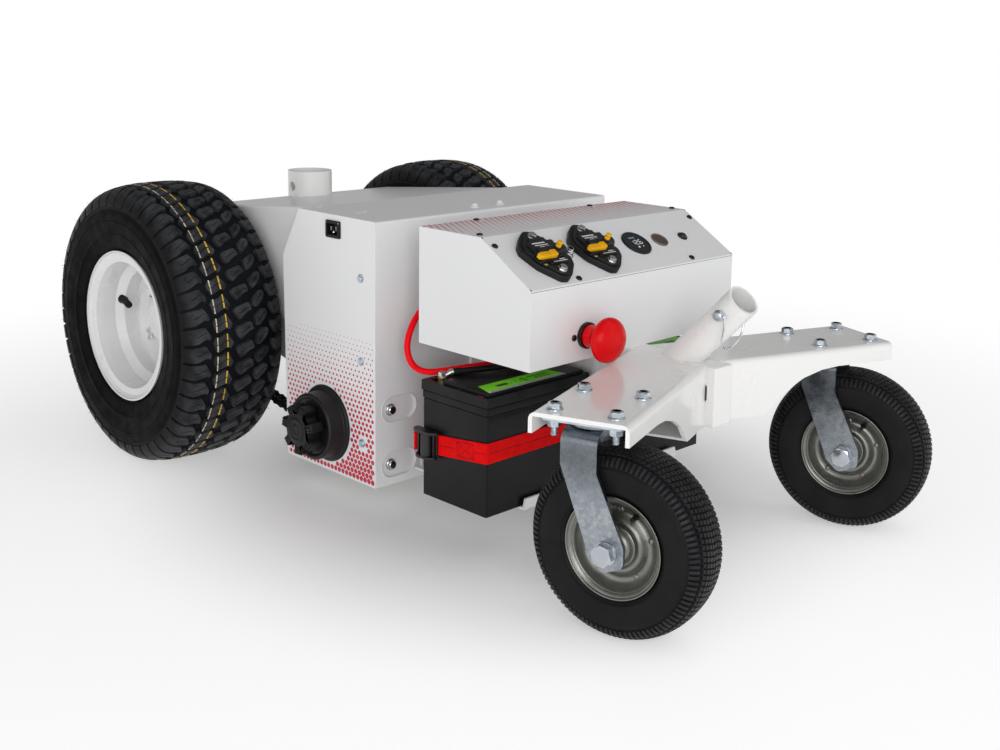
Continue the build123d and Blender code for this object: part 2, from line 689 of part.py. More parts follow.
# ================================================================ handle socket, lock pin, bail
R2 = math.sqrt(0.5)
PIN_Y, PIN_Z = MOUTH_Y + 27.5 * R2, MOUTH_Z - 27.5 * R2

with BuildPart() as handle_socket:
    mouth_plane = Plane(origin=(0, Y0 + MOUTH_Y, MOUTH_Z), x_dir=(1, 0, 0), z_dir=(0, -R2, R2))
    with BuildSketch(mouth_plane):
        Circle(SOCKET_R)
        Circle(SOCKET_BORE_R, mode=Mode.SUBTRACT)
    extrude(amount=-170.0)
    with BuildSketch(top(ARM_TOP - 80.0)):
        with Locations((0, -340)):
            Rectangle(200, 200)
    extrude(amount=80.0, mode=Mode.SUBTRACT)
    with BuildSketch(side(-40.0, PIN_Y, PIN_Z)):
        Circle(4.1)
    extrude(amount=80.0, mode=Mode.SUBTRACT)
save(handle_socket, "handle_socket")

with BuildPart() as lock_pin:
    with BuildSketch(side(-24.0, PIN_Y, PIN_Z)):
        Circle(4.0)
    extrude(amount=56.0)
    with BuildSketch(side(-31.0, PIN_Y, PIN_Z)):
        Circle(7.5)
    extrude(amount=7.0)
    fillet(lock_pin.edges().group_by(Axis.X)[0], radius=1.2)
    # cross hole in the head for the bail
    with BuildSketch(front(PIN_Y + 12, -27.5, PIN_Z)):
        Circle(1.6)
    extrude(amount=24.0, mode=Mode.SUBTRACT)
save(lock_pin, "lock_pin")

BAIL_R = 1.25
with BuildPart() as pin_bail:
    # the wire leaves the head forwards, runs round under the socket and ends in a rest under the pin's tip
    yf = Y0 + PIN_Y
    with BuildLine():
        FilletPolyline((-27.5, yf + 8.6, PIN_Z), (-27.5, yf - 11.0, PIN_Z), (-27.5, yf - 11.0, PIN_Z - 17),
                       (-21.0, yf - 3.0, PIN_Z - 40), (1.0, yf, PIN_Z - 47), (23.0, yf, PIN_Z - 38),
                       (31.0, yf, PIN_Z - 20), (31.0, yf, PIN_Z - 5.6),
                       radius=[2.6, 5.0, 9.0, 15.0, 15.0, 9.0])
    with BuildSketch(Plane(origin=(-27.5, yf + 8.6, PIN_Z), z_dir=(0, -1, 0))):
        Circle(BAIL_R)
    sweep(transition=Transition.ROUND)
save(pin_bail, "pin_bail")

# ================================================================ casters
with BuildPart() as caster_plates:
    with BuildSketch(arm_plane(ARM_TOP - ARM_T - 5.0)):
        with Locations((SWIVEL_U, 0)):
            RectangleRounded(115, 100, 6)
            with GridLocations(BOLT_U, BOLT_V, 2, 2):
                Circle(4.5, mode=Mode.SUBTRACT)
    extrude(amount=5.0)
    with BuildSketch(arm_plane(254.6)):
        with Locations((SWIVEL_U, 0)):
            Circle(39.0)
    extrude(amount=4.7)
    with BuildSketch(arm_plane(238.0)):
        with Locations((SWIVEL_U, 0)):
            Circle(8.0)
    extrude(amount=17.0)
    with BuildSketch(arm_plane(236.0)):
        with Locations((SWIVEL_U, 0)):
            RegularPolygon(11.0, 6, major_radius=False)
    extrude(amount=8.6)
    mirror(about=Plane.YZ)
save(caster_plates, "caster_plates")

with BuildPart() as caster_bolts:
    with BuildSketch(arm_plane(239.0)):
        with Locations((SWIVEL_U, 0)):
            with GridLocations(BOLT_U, BOLT_V, 2, 2):
                Circle(4.0)
    extrude(amount=32.0)
    with BuildSketch(arm_plane(ARM_TOP)):
        with Locations((SWIVEL_U, 0)):
            with GridLocations(BOLT_U, BOLT_V, 2, 2):
                Circle(10.2)
    extrude(amount=1.6)
    with BuildSketch(arm_plane(ARM_TOP + 1.6)):
        with Locations((SWIVEL_U, 0)):
            with GridLocations(BOLT_U, BOLT_V, 2, 2):
                RegularPolygon(7.6, 6, major_radius=False)
    extrude(amount=7.4)
    with BuildSketch(arm_plane(248.6)):
        with Locations((SWIVEL_U, 0)):
            with GridLocations(BOLT_U, BOLT_V, 2, 2):
                RegularPolygon(7.5, 6, major_radius=False)
    extrude(amount=259.3 - 248.6)
    mirror(about=Plane.YZ)
save(caster_bolts, "caster_bolts")


def caster_axes(sgn, yaw):
    """Axle direction, rolling direction and swivel point of a caster."""
    t = math.radians(yaw)
    axle = (math.cos(t), math.sin(t), 0)
    roll = (math.sin(t), -math.cos(t), 0)
    swivel = (sgn * SWIVEL_X, Y0 + SWIVEL_Y)
    centre = (swivel[0] + CASTER_TRAIL * roll[0], swivel[1] + CASTER_TRAIL * roll[1])
    return axle, roll, swivel, centre


def across(sgn, yaw, off, at_swivel=True):
    """Upright plane facing along the axle, off from the middle; sketch axes backwards and up."""
    axle, roll, swivel, centre = caster_axes(sgn, yaw)
    p = swivel if at_swivel else centre
    return Plane(origin=(p[0] + off * axle[0], p[1] + off * axle[1], 0),
                 x_dir=(-roll[0], -roll[1], 0), z_dir=axle)


def fork_body(sgn, yaw):
    with BuildPart() as piece:
        axle, roll, swivel, centre = caster_axes(sgn, yaw)
        # bent strip seen along the rolling direction, then trimmed to the leg outline
        yoke = Plane(origin=(swivel[0] - 40 * roll[0], swivel[1] - 40 * roll[1], 0),
                     x_dir=axle, z_dir=(roll[0], roll[1], 0))
        strip = [(-LEG_OFF, 80.0), (-LEG_OFF, 250.0), (LEG_OFF, 250.0), (LEG_OFF, 80.0)]
        inner = offset_pts(strip, LEG_T)
        with BuildSketch(yoke):
            with BuildLine():
                FilletPolyline(*strip, radius=18.0)
                FilletPolyline(*inner, radius=13.0)
                Line(strip[0], inner[0])
                Line(strip[-1], inner[-1])
            make_face()
        extrude(amount=120.0)
        # leg outline, drawn on the swivel axis: x backwards, y up; the axle is at (-trail, R)
        tx, tz = -CASTER_TRAIL, CASTER_R
        w = LEG_W / 2
        lean = math.atan2(CASTER_TRAIL, 205.0 - CASTER_R)
        nx, nz = math.cos(lean), -math.sin(lean)
        with BuildSketch(across(sgn, yaw, -60)):
            with BuildLine():
                FilletPolyline((w, 260), (w, 207), (tx + w * nx, tz + w * nz),
                               (tx + 0.62 * w * nx - 0.92 * w * math.sin(lean), tz + 0.62 * w * nz - 0.92 * w * math.cos(lean)),
                               (tx - 0.62 * w * nx - 0.92 * w * math.sin(lean), tz - 0.62 * w * nz - 0.92 * w * math.cos(lean)),
                               (tx - w * nx, tz - w * nz), (-w, 203), (-w, 260), close=True,
                               radius=[0.5, 12, 9, 9, 9, 9, 12, 0.5])
            make_face()
        extrude(amount=120.0, mode=Mode.INTERSECT)
        # lower race and kingpin bore
        with BuildSketch(Plane(origin=(swivel[0], swivel[1], 250.0))):
            Circle(39.0)
        extrude(amount=4.3)
        with BuildSketch(Plane(origin=(swivel[0], swivel[1], 240.0))):
            Circle(8.05)
        extrude(amount=20.0, mode=Mode.SUBTRACT)
        # axle holes
        with BuildSketch(across(sgn, yaw, -60, at_swivel=False)):
            with Locations((0, CASTER_R)):
                Circle(8.0)
        extrude(amount=120.0, mode=Mode.SUBTRACT)
    return piece


def caster_axle_body(sgn, yaw):
    with BuildPart() as piece:
        # through bolt with head on the left, nut and washers
        with BuildSketch(across(sgn, yaw, -LEG_OFF, at_swivel=False)):
            with Locations((0, CASTER_R)):
                Circle(8.0)
        extrude(amount=2 * LEG_OFF + 17.0)
        with BuildSketch(across(sgn, yaw, -LEG_OFF - 13.5, at_swivel=False)):
            with Locations((0, CASTER_R)):
                RegularPolygon(12.2, 6, major_radius=False)
        extrude(amount=13.5)
        with BuildSketch(across(sgn, yaw, LEG_OFF, at_swivel=False)):
            with Locations((0, CASTER_R)):
                RegularPolygon(12.2, 6, major_radius=False)
        extrude(amount=14.0)
        # spacers between legs and wheel hub
        for off, t in ((-LEG_OFF + LEG_T, 4.0), (LEG_OFF - LEG_T - 4.0, 4.0)):
            with BuildSketch(across(sgn, yaw, off, at_swivel=False)):
                with Locations((0, CASTER_R)):
                    Circle(11.5)
            extrude(amount=t)
    return piece


# caster rim section, (offset, radius): pressed halves with a rolled lip, dish and hub tube
CR_OUT = [(34.5, 61.0), (31.5, 60.0), (29.5, 54.5), (20.0, 51.5), (8.0, 49.0), (-8.0, 49.0),
          (-20.0, 51.5), (-29.5, 54.5), (-31.5, 60.0), (-34.5, 61.0)]
CR_IN = offset_pts(CR_OUT, -2.0)


def caster_section(sgn, yaw):
    axle, roll, swivel, centre = caster_axes(sgn, yaw)
    return Plane(origin=(centre[0], centre[1], CASTER_R), x_dir=axle, z_dir=(roll[0], roll[1], 0))


def caster_axis(sgn, yaw):
    axle, roll, swivel, centre = caster_axes(sgn, yaw)
    return Axis(origin=(centre[0], centre[1], CASTER_R), direction=axle)


def caster_rim_body(sgn, yaw):
    with BuildPart() as piece:
        with BuildSketch(caster_section(sgn, yaw)):
            with BuildLine():
                FilletPolyline(*CR_OUT, radius=2.4)
                FilletPolyline(*CR_IN, radius=1.0)
                Line(CR_OUT[0], CR_IN[0])
                Line(CR_OUT[-1], CR_IN[-1])
            make_face()
            for s in (1, -1):
                with BuildLine():
                    Polyline(*[(s * o, r) for o, r in [
                        (28.0, 52.6), (24.0, 50.5), (17.5, 45.0), (16.5, 39.0), (21.5, 34.0), (24.5, 29.0),
                        (22.5, 24.5), (25.0, 22.0), (30.0, 18.0), (33.0, 12.5), (39.0, 12.0), (39.0, 8.06),
                        (30.0, 8.06), (29.0, 11.0), (27.0, 15.0), (22.0, 19.5), (19.0, 23.5), (19.0, 25.5),
                        (21.5, 29.0), (19.0, 32.5), (13.5, 38.5), (14.5, 46.5), (21.0, 51.6)]], close=True)
                make_face()
            with BuildLine():
                Polyline((-30.5, 8.06), (30.5, 8.06), (30.5, 10.6), (-30.5, 10.6), close=True)
            make_face()
        revolve(axis=caster_axis(sgn, yaw))
    return piece


CT_OUT = [(26.3, 54.4), (28.4, 56.2), (30.2, 60.8), (32.4, 63.0), (36.0, 68.0), (38.0, 80.0), (37.8, 92.0), (35.0, 101.0),
          (29.0, 108.0), (18.0, 112.5), (0.0, 114.0)]
CT_IN = [(0.0, 102.0), (18.0, 100.5), (28.0, 94.0), (31.0, 82.0), (29.0, 68.0), (24.0, 60.0), (23.0, 53.0)]


def caster_tyre_body(sgn, yaw):
    with BuildPart() as piece:
        with BuildSketch(caster_section(sgn, yaw)):
            with BuildLine():
                out = CT_OUT + [(-o, r) for o, r in CT_OUT[-2::-1]]
                inn = [(-o, r) for o, r in CT_IN[::-1]] + CT_IN[1:]
                Polyline(*(out + inn), close=True)
            make_face()
        revolve(axis=caster_axis(sgn, yaw))
    return piece


caster_left_fork = fork_body(-1, YAW_LEFT)
save(caster_left_fork, "caster_left_fork")
caster_left_axle = caster_axle_body(-1, YAW_LEFT)
save(caster_left_axle, "caster_left_axle")
caster_left_rim = caster_rim_body(-1, YAW_LEFT)
save(caster_left_rim, "caster_left_rim")
caster_left_tyre = caster_tyre_body(-1, YAW_LEFT)
save(caster_left_tyre, "caster_left_tyre")
caster_right_fork = fork_body(1, YAW_RIGHT)
save(caster_right_fork, "caster_right_fork")
caster_right_axle = caster_axle_body(1, YAW_RIGHT)
save(caster_right_axle, "caster_right_axle")
caster_right_rim = caster_rim_body(1, YAW_RIGHT)
save(caster_right_rim, "caster_right_rim")
caster_right_tyre = caster_tyre_body(1, YAW_RIGHT)
save(caster_right_tyre, "caster_right_tyre")

# ================================================================ batteries
TERM = [(18.0, 22.0), (177.0, 22.0)]        # from the battery's outer rear corner: inward, forward


def battery(sgn):
    with BuildPart() as piece:
        xc = sgn * (BATT_X0 + BATT_X1) / 2
        yc = (BATT_Y0 + BATT_Y1) / 2
        w, d = BATT_X1 - BATT_X0, BATT_Y1 - BATT_Y0
        with BuildSketch(top(BATT_Z0)):
            with Locations((xc, yc)):
                RectangleRounded(w, d, 2.5)
        extrude(amount=BATT_Z1 - BATT_Z0)
        # two joint lines of the lid
        for z in (200.6, 211.4):
            with BuildSketch(top(z)):
                with Locations((xc, yc)):
                    Rectangle(w + 4, d + 4)
                    RectangleRounded(w - 2.0, d - 2.0, 2.0, mode=Mode.SUBTRACT)
            extrude(amount=1.2, mode=Mode.SUBTRACT)
        # raised middle of the lid
        with BuildSketch(top(BATT_Z1)):
            with Locations((xc, yc - 2.0)):
                RectangleRounded(w - 13, d - 14, 3)
        extrude(amount=4.7)
        # terminal pockets
        with BuildSketch(top(214.0)):
            for inward, forward in TERM:
                with Locations((sgn * (BATT_X1 - inward), BATT_Y1 - forward)):
                    Rectangle(20, 26)
        extrude(amount=30.0, mode=Mode.SUBTRACT)
    return piece


battery_left = battery(-1)
save(battery_left, "battery_left")
battery_right = battery(1)
save(battery_right, "battery_right")


def terminal_xy(sgn, k):
    inward, forward = TERM[k]
    return sgn * (BATT_X1 - inward), BATT_Y1 - forward


with BuildPart() as battery_terminals:
    for sgn in (-1, 1):
        for k in (0, 1):
            tx, ty = terminal_xy(sgn, k)
            with BuildSketch(top(214.0)):
                with Locations((tx, ty)):
                    Rectangle(12, 12)
            extrude(amount=9.0)
            with BuildSketch(top(223.0)):
                with Locations((tx, ty)):
                    Circle(3.0)
            extrude(amount=9.5)
            with BuildSketch(top(223.0)):
                with Locations((tx, ty)):
                    RegularPolygon(6.2, 6, major_radius=False)
            extrude(amount=5.0)
            with BuildSketch(top(232.5)):
                with Locations((tx, ty)):
                    RegularPolygon(5.0, 6, major_radius=False)
            extrude(amount=4.5)
            # cable eye under the bolt head
            with BuildSketch(top(228.0)):
                with Locations((tx, ty)):
                    Circle(6.5)
            extrude(amount=2.2)
save(battery_terminals, "battery_terminals")

with BuildPart() as battery_trays:
    for sgn in (-1, 1):
        with BuildSketch(top(61.3)):
            with Locations((sgn * 97.0, -111.0)):
                Rectangle(134, 222)
        extrude(amount=3.0)
        with BuildSketch(front(-218.9)):
            with BuildLine():
                Polyline((sgn * 30, 61.3), (sgn * 164, 61.3), (sgn * 160, 76), (sgn * 30, 76), close=True)
            make_face()
        extrude(amount=3.1)
        with BuildSketch(front(0.0)):
            with Locations((sgn * 92.0, 86.0)):
                Rectangle(124, 50)
        extrude(amount=3.0)
save(battery_trays, "battery_trays")

STRAP_T = 1.5
with BuildPart() as battery_straps:
    for sgn in (-1, 1):
        xo, xi = sgn * BATT_X1, sgn * BATT_X0
        for x0, d in ((xo, sgn), (xi, -sgn)):
            with BuildSketch(axial(x0, 0, 0, d)):
                m = 1 if d > 0 else -1
                with BuildLine():
                    Polyline((BATT_Y0 - STRAP_T, 0), (BATT_Y1 + STRAP_T, 0), (BATT_Y1 + STRAP_T, 1),
                             (BATT_Y0 - STRAP_T, 1), close=True)
                make_face(mode=Mode.PRIVATE)
                zf0, zf1, zr0, zr1 = 138.0, 166.0, 123.5, 151.5
                with BuildLine():
                    Polyline((BATT_Y0 - STRAP_T, m * zf0), (BATT_Y1 + STRAP_T, m * zr0),
                             (BATT_Y1 + STRAP_T, m * zr1), (BATT_Y0 - STRAP_T, m * zf1), close=True)
                make_face()
            extrude(amount=STRAP_T)
        xm = (xo + xi) / 2
        w = BATT_X1 - BATT_X0 + 2 * STRAP_T
        with BuildSketch(front(BATT_Y0)):
            with Locations((xm, 152.0)):
                Rectangle(w, 28.0)
        extrude(amount=STRAP_T)
        with BuildSketch(front(BATT_Y1 + STRAP_T)):
            with Locations((xm, 137.5)):
                Rectangle(w, 28.0)
        extrude(amount=STRAP_T)
save(battery_straps, "battery_straps")

with BuildPart() as strap_buckles:
    for sgn in (-1, 1):
        x0 = sgn * (BATT_X1 + STRAP_T)
        m = 1 if sgn > 0 else -1
        with BuildSketch(axial(x0, -105.0, 0, sgn)):
            with Locations((0, m * 141.0)):
                RectangleRounded(36, 38, 3)
        extrude(amount=2.5)
        with BuildSketch(axial(x0 + sgn * 2.5, -105.0, 0, sgn)):
            with Locations((0, m * 158.5)):
                RectangleRounded(44, 4, 1.5)
            with Locations((0, m * 123.5)):
                RectangleRounded(36, 4, 1.5)
        extrude(amount=12.0)
        with BuildSketch(axial(x0 + sgn * 5.0, -105.0, 0, sgn)):
            with Locations((2, m * 141.0)):
                Rectangle(22, 31)
        extrude(amount=9.0)
save(strap_buckles, "strap_buckles")

# ================================================================ control box
BOX_REAR, BOX_FRONT = -62.5, -274.8
SLOPE_K = 56.5 / 91.7                      # drop per mm forward
lid_in_front = 373.4 - BOX_SHEET * math.sqrt(1 + SLOPE_K ** 2)
lid_in_crease = BOX_FRONT + (BOX_Z1 - BOX_SHEET - lid_in_front) / SLOPE_K
GLANDS = [(-150.0, 330.0), (150.0, 330.0)]
FLOOR_GLANDS = [(-66.0, -150.0), (119.0, -150.0)]

with BuildPart() as control_box_body:
    with BuildSketch(side(-BOX_HALF)):
        with BuildLine():
            Polyline((BOX_REAR, BOX_Z0), (BOX_REAR, BOX_Z1 - BOX_SHEET), (lid_in_crease, BOX_Z1 - BOX_SHEET),
                     (BOX_FRONT, lid_in_front), (BOX_FRONT, BOX_Z0), close=True)
        make_face()
    extrude(amount=2 * BOX_HALF)
    with BuildSketch(side(-BOX_HALF + BOX_SHEET)):
        with Locations(((BOX_REAR + BOX_FRONT) / 2, BOX_Z0 + BOX_SHEET + 100)):
            Rectangle(BOX_REAR - BOX_FRONT - 2 * BOX_SHEET, 200)
    extrude(amount=2 * (BOX_HALF - BOX_SHEET), mode=Mode.SUBTRACT)
    # stop switch hole
    with BuildSketch(front(BOX_FRONT + 4)):
        with Locations((-107.0, 301.5)):
            Circle(14.6)
    extrude(amount=6.0, mode=Mode.SUBTRACT)
    # cable outlets in the rear wall
    with BuildSketch(front(BOX_REAR + 1)):
        with Locations(*GLANDS):
            Circle(9.0)
    extrude(amount=6.0, mode=Mode.SUBTRACT)
    with BuildSketch(top(BOX_Z0 - 1)):
        with Locations(*FLOOR_GLANDS):
            Circle(9.0)
    extrude(amount=6.0, mode=Mode.SUBTRACT)
save(control_box_body, "control_box_body")

BREAKERS = [(-144.0, 56.0), (-48.5, 56.0)]
GAUGE, SOUNDER, LAMP, AERIAL = (43.0, 55.5), (94.2, 56.0), (147.2, 56.0), (-98.5, 55.0)
SCREWS_TOP = [(-112.1, -68.0), (122.8, -70.0), (203.0, -165.9), (-199.0, -167.4)]
SCREWS_SLOPE = [(-202.8, 19.9), (-117.1, 100.6), (203.5, 19.0), (121.7, 100.4)]

with BuildPart() as control_box_lid:
    with BuildSketch(side(-BOX_HALF)):
        with BuildLine():
            Polyline((BOX_REAR, BOX_Z1), (SLOPE_O[0], BOX_Z1), (BOX_FRONT, 373.4), (BOX_FRONT, lid_in_front),
                     (lid_in_crease, BOX_Z1 - BOX_SHEET), (BOX_REAR, BOX_Z1 - BOX_SHEET), close=True)
        make_face()
    extrude(amount=2 * BOX_HALF)
    fillet(control_box_lid.edges().filter_by(Axis.X).filter_by(
        lambda e: abs(e.center().Z - BOX_Z1) < 0.1 and abs(e.center().Y - (Y0 + SLOPE_O[0])) < 1), radius=3)
    with BuildSketch(slope(-6.0)):
        for bx, bs in BREAKERS:
            with Locations((bx, -bs)):
                Rectangle(34, 44)
        for (px, ps), r in ((GAUGE, 21.0), (SOUNDER, 11.5), (LAMP, 6.0), (AERIAL, 3.3)):
            with Locations((px, -ps)):
                Circle(r)
        for px, ps in SCREWS_SLOPE:
            with Locations((px, -ps)):
                Circle(2.6)
    extrude(amount=10.0, mode=Mode.SUBTRACT)
    with BuildSketch(top(BOX_Z1 - 5)):
        with Locations(*SCREWS_TOP):
            Circle(2.6)
    extrude(amount=8.0, mode=Mode.SUBTRACT)
save(control_box_lid, "control_box_lid")

# circuit breakers
OUTLINE = [(3, 48), (13, 42), (31, 25), (37, 12), (29, -18), (8, -46), (-3, -48), (-13, -42),
           (-31, -25), (-37, -12), (-29, 18), (-8, 46)]
LEVER = (-22.0, 14.0)
PEG = (13.0, 2.0)

with BuildPart() as breaker_bodies:
    for bx, bs in BREAKERS:
        with BuildSketch(slope(0.0, bx, bs)):
            with BuildLine():
                FilletPolyline(*[(dx, -ds) for dx, ds in OUTLINE], radius=3.0, close=True)
            make_face()
        extrude(amount=8.5)
        with BuildSketch(slope(8.5, bx, bs)):
            with BuildLine():
                FilletPolyline(*[(dx * 0.86, -ds * 0.9) for dx, ds in OUTLINE], radius=2.0, close=True)
            make_face()
        extrude(amount=2.5)
        with BuildSketch(slope(11.0, bx, bs)):
            with Locations((0, 3)):
                RectangleRounded(46, 34, 3)
        extrude(amount=4.0)
        # barrel across the body, cut away where the lever lies
        barrel = Plane(origin=slope(13.0, bx - 4, bs + 1).origin, x_dir=(0, -SLOPE_N[0], -SLOPE_N[1]), z_dir=(1, 0, 0))
        with BuildSketch(barrel):
            Circle(8.0)
        extrude(amount=32.0)
        # lever bed
        with BuildSketch(slope(15.4, bx + LEVER[0] + 8, bs + LEVER[1] - 2)):
            Rectangle(38, 13)
        extrude(amount=12.0, mode=Mode.SUBTRACT)
        # peg bore
        with BuildSketch(slope(10.0, bx + PEG[0], bs + PEG[1])):
            Circle(4.3)
        extrude(amount=20.0, mode=Mode.SUBTRACT)
        # rear terminals inside the box
        with BuildSketch(slope(-22.0, bx, bs)):
            Rectangle(32, 42)
        extrude(amount=23.0)
save(breaker_bodies, "breaker_bodies")


def lever_body(bx, bs):
    with BuildPart() as piece:
        with BuildSketch(slope(15.9, bx + LEVER[0] + 7, bs + LEVER[1] - 2)):
            RectangleRounded(32, 9, 3)
        extrude(amount=6.0)
        with BuildSketch(slope(15.9, bx + LEVER[0] + 18, bs + LEVER[1] - 2)):
            RectangleRounded(9, 11, 2)
        extrude(amount=7.5)
    return piece


def peg_body(bx, bs):
    with BuildPart() as piece:
        with BuildSketch(slope(13.6, bx + PEG[0], bs + PEG[1])):
            Circle(3.9)
        extrude(amount=16.5)
    return piece


breaker_left_lever = lever_body(*BREAKERS[0])
save(breaker_left_lever, "breaker_left_lever")
breaker_right_lever = lever_body(*BREAKERS[1])
save(breaker_right_lever, "breaker_right_lever")
breaker_left_button = peg_body(*BREAKERS[0])
save(breaker_left_button, "breaker_left_button")
breaker_right_button = peg_body(*BREAKERS[1])
save(breaker_right_button, "breaker_right_button")

with BuildPart() as volt_gauge:
    with BuildSketch(slope(0.0, GAUGE[0], GAUGE[1])):
        Circle(23.5)
    extrude(amount=3.0)
    with BuildSketch(slope(-24.0, GAUGE[0], GAUGE[1])):
        Circle(20.8)
    extrude(amount=24.5)
    with BuildSketch(slope(2.2, GAUGE[0], GAUGE[1])):
        Circle(20.0)
    extrude(amount=3.0, mode=Mode.SUBTRACT)
save(volt_gauge, "volt_gauge")

with BuildPart() as panel_indicators:
    with BuildSketch(slope(0.0, SOUNDER[0], SOUNDER[1])):
        Circle(13.5)
        with PolarLocations(6.5, 6):
            SlotOverall(6.5, 2.0, mode=Mode.SUBTRACT)
    extrude(amount=2.2)
    with BuildSketch(slope(-14.0, SOUNDER[0], SOUNDER[1])):
        Circle(11.3)
    extrude(amount=14.2)
    with BuildSketch(slope(0.0, LAMP[0], LAMP[1])):
        Circle(8.0)
    extrude(amount=2.0)
    with BuildSketch(slope(-12.0, LAMP[0], LAMP[1])):
        Circle(5.8)
    extrude(amount=17.0)
    with BuildSketch(slope(0.0, AERIAL[0], AERIAL[1])):
        RegularPolygon(5.6, 6, major_radius=False)
    extrude(amount=3.0)
    with BuildSketch(slope(-9.0, AERIAL[0], AERIAL[1])):
        Circle(3.1)
    extrude(amount=21.0)
save(panel_indicators, "panel_indicators")

# ================================================================ stop button
ESTOP_X, ESTOP_Z = -107.0, 301.5
with BuildPart() as estop_switch:
    with BuildSketch(front(BOX_FRONT, ESTOP_X, ESTOP_Z)):
        Circle(17.6)
    extrude(amount=5.5)
    chamfer(estop_switch.edges().filter_by(GeomType.CIRCLE).group_by(Axis.Y)[0], length=0.8)
    with BuildSketch(front(BOX_FRONT + 2.0, ESTOP_X, ESTOP_Z)):
        Circle(14.4)
    extrude(amount=2.5)
    with BuildSketch(front(-228.0, ESTOP_X, ESTOP_Z)):
        RectangleRounded(42, 42, 3)
    extrude(amount=44.8)
    with BuildSketch(front(-249.0, ESTOP_X, ESTOP_Z)):
        Circle(11.4)
    extrude(amount=40.0, mode=Mode.SUBTRACT)
    # pocket that the button's neck runs into
    with BuildSketch(front(BOX_FRONT - 0.7, ESTOP_X, ESTOP_Z)):
        Circle(15.8)
    extrude(amount=8.0, mode=Mode.SUBTRACT)
save(estop_switch, "estop_switch")

with BuildPart() as estop_button:
    est = Plane(origin=(ESTOP_X, Y0 + BOX_FRONT, ESTOP_Z), x_dir=(0, -1, 0), z_dir=(1, 0, 0))
    with BuildSketch(est):
        with BuildLine():
            Polyline((-15, 0), (-15, 11.0), (6.0, 11.0), (6.0, 15.3), (16.5, 15.4), (21.0, 16.6), (25.5, 19.6),
                     (29.5, 24.0), (32.5, 27.8), (35.5, 29.6), (39.5, 29.7), (43.5, 28.0), (47.5, 24.6),
                     (51.0, 19.6), (53.5, 12.5), (54.6, 0), close=True)
        make_face()
    revolve(axis=Axis(origin=(ESTOP_X, Y0, ESTOP_Z), direction=(0, 1, 0)))
save(estop_button, "estop_button")

# ================================================================ screws
with BuildPart() as cover_screws:
    # pocket bolts with washers
    with BuildSketch(front(5.5)):
        with Locations(*POCKET_BOLTS):
            Circle(8.5)
    extrude(amount=1.5)
    with BuildSketch(front(4.0)):
        with Locations(*POCKET_BOLTS):
            RegularPolygon(6.5, 6, major_radius=False)
    extrude(amount=6.5)
    with BuildSketch(front(24.0)):
        with Locations(*POCKET_BOLTS):
            Circle(4.0)
    extrude(amount=20.0)
    # side panel bolts
    for s in (-1, 1):
        with BuildSketch(axial(s * HOUSE_HALF, 0, 0, s)):
            m = 1 if s > 0 else -1
            with Locations((31.9, m * 347.2), (30.0, m * 108.8), (31.9, m * 228.0)):
                Circle(5.6)
        extrude(amount=3.2)
        with BuildSketch(axial(s * (HOUSE_HALF - 12), 0, 0, s)):
            with Locations((31.9, m * 347.2), (30.0, m * 108.8), (31.9, m * 228.0)):
                Circle(3.0)
        extrude(amount=12.5)
    # dome nuts on the top
    with BuildSketch(top(HOUSE_Z1)):
        with Locations((-25.5, 28.6), (28.4, 30.4)):
            Circle(8.0)
    extrude(amount=1.2)
    with BuildSketch(top(HOUSE_Z1 + 1.2)):
        with Locations((-25.5, 28.6), (28.4, 30.4)):
            Circle(5.4)
    extrude(amount=5.0)
    with BuildSketch(top(HOUSE_Z1 - 12)):
        with Locations((-25.5, 28.6), (28.4, 30.4)):
            Circle(3.0)
    extrude(amount=12.5)
    # neck flange bolts
    with BuildSketch(front(22.0)):
        with Locations((-45, 190), (45, 190), (-45, 270), (45, 270)):
            Circle(4.0)
    extrude(amount=30.0)
    with BuildSketch(front(-6.0)):
        with Locations((-45, 190), (45, 190), (-45, 270), (45, 270)):
            RegularPolygon(6.5, 6, major_radius=False)
    extrude(amount=5.5)
    # control box screws
    with BuildSketch(top(BOX_Z1)):
        with Locations(*SCREWS_TOP):
            Circle(4.5)
    extrude(amount=2.4)
    with BuildSketch(top(BOX_Z1 - 8)):
        with Locations(*SCREWS_TOP):
            Circle(2.5)
    extrude(amount=9.0)
    with BuildSketch(slope(0.0)):
        with Locations(*[(px, -ps) for px, ps in SCREWS_SLOPE]):
            Circle(4.5)
    extrude(amount=2.4)
    with BuildSketch(slope(-3.5)):
        with Locations(*[(px, -ps) for px, ps in SCREWS_SLOPE]):
            Circle(2.5)
    extrude(amount=5.0)
    # breaker bolts
    for bx, bs in BREAKERS:
        with BuildSketch(slope(11.0, bx, bs)):
            with Locations((0, 33), (0, -33)):
                RegularPolygon(5.4, 6, major_radius=False)
        extrude(amount=5.0)
save(cover_screws, "cover_screws")

# ================================================================ cables
CABLE_R = 4.5
with BuildPart() as cable_grommets:
    for gx, gz in GLANDS:
        with BuildSketch(front(BOX_REAR + 2.5)):
            with Locations((gx, gz)):
                Circle(12.0)
        extrude(amount=2.5)
        with BuildSketch(front(BOX_REAR)):
            with Locations((gx, gz)):
                Circle(8.9)
        extrude(amount=4.0)
        with BuildSketch(front(BOX_REAR + 4)):
            with Locations((gx, gz)):
                Circle(CABLE_R)
        extrude(amount=10.0, mode=Mode.SUBTRACT)
    for gx, gy in FLOOR_GLANDS:
        with BuildSketch(top(BOX_Z0 - 2.5)):
            with Locations((gx, gy)):
                Circle(12.0)
        extrude(amount=2.5)
        with BuildSketch(top(BOX_Z0)):
            with Locations((gx, gy)):
                Circle(8.9)
        extrude(amount=4.0)
        with BuildSketch(top(BOX_Z0 - 5)):
            with Locations((gx, gy)):
                Circle(CABLE_R)
        extrude(amount=12.0, mode=Mode.SUBTRACT)
save(cable_grommets, "cable_grommets")


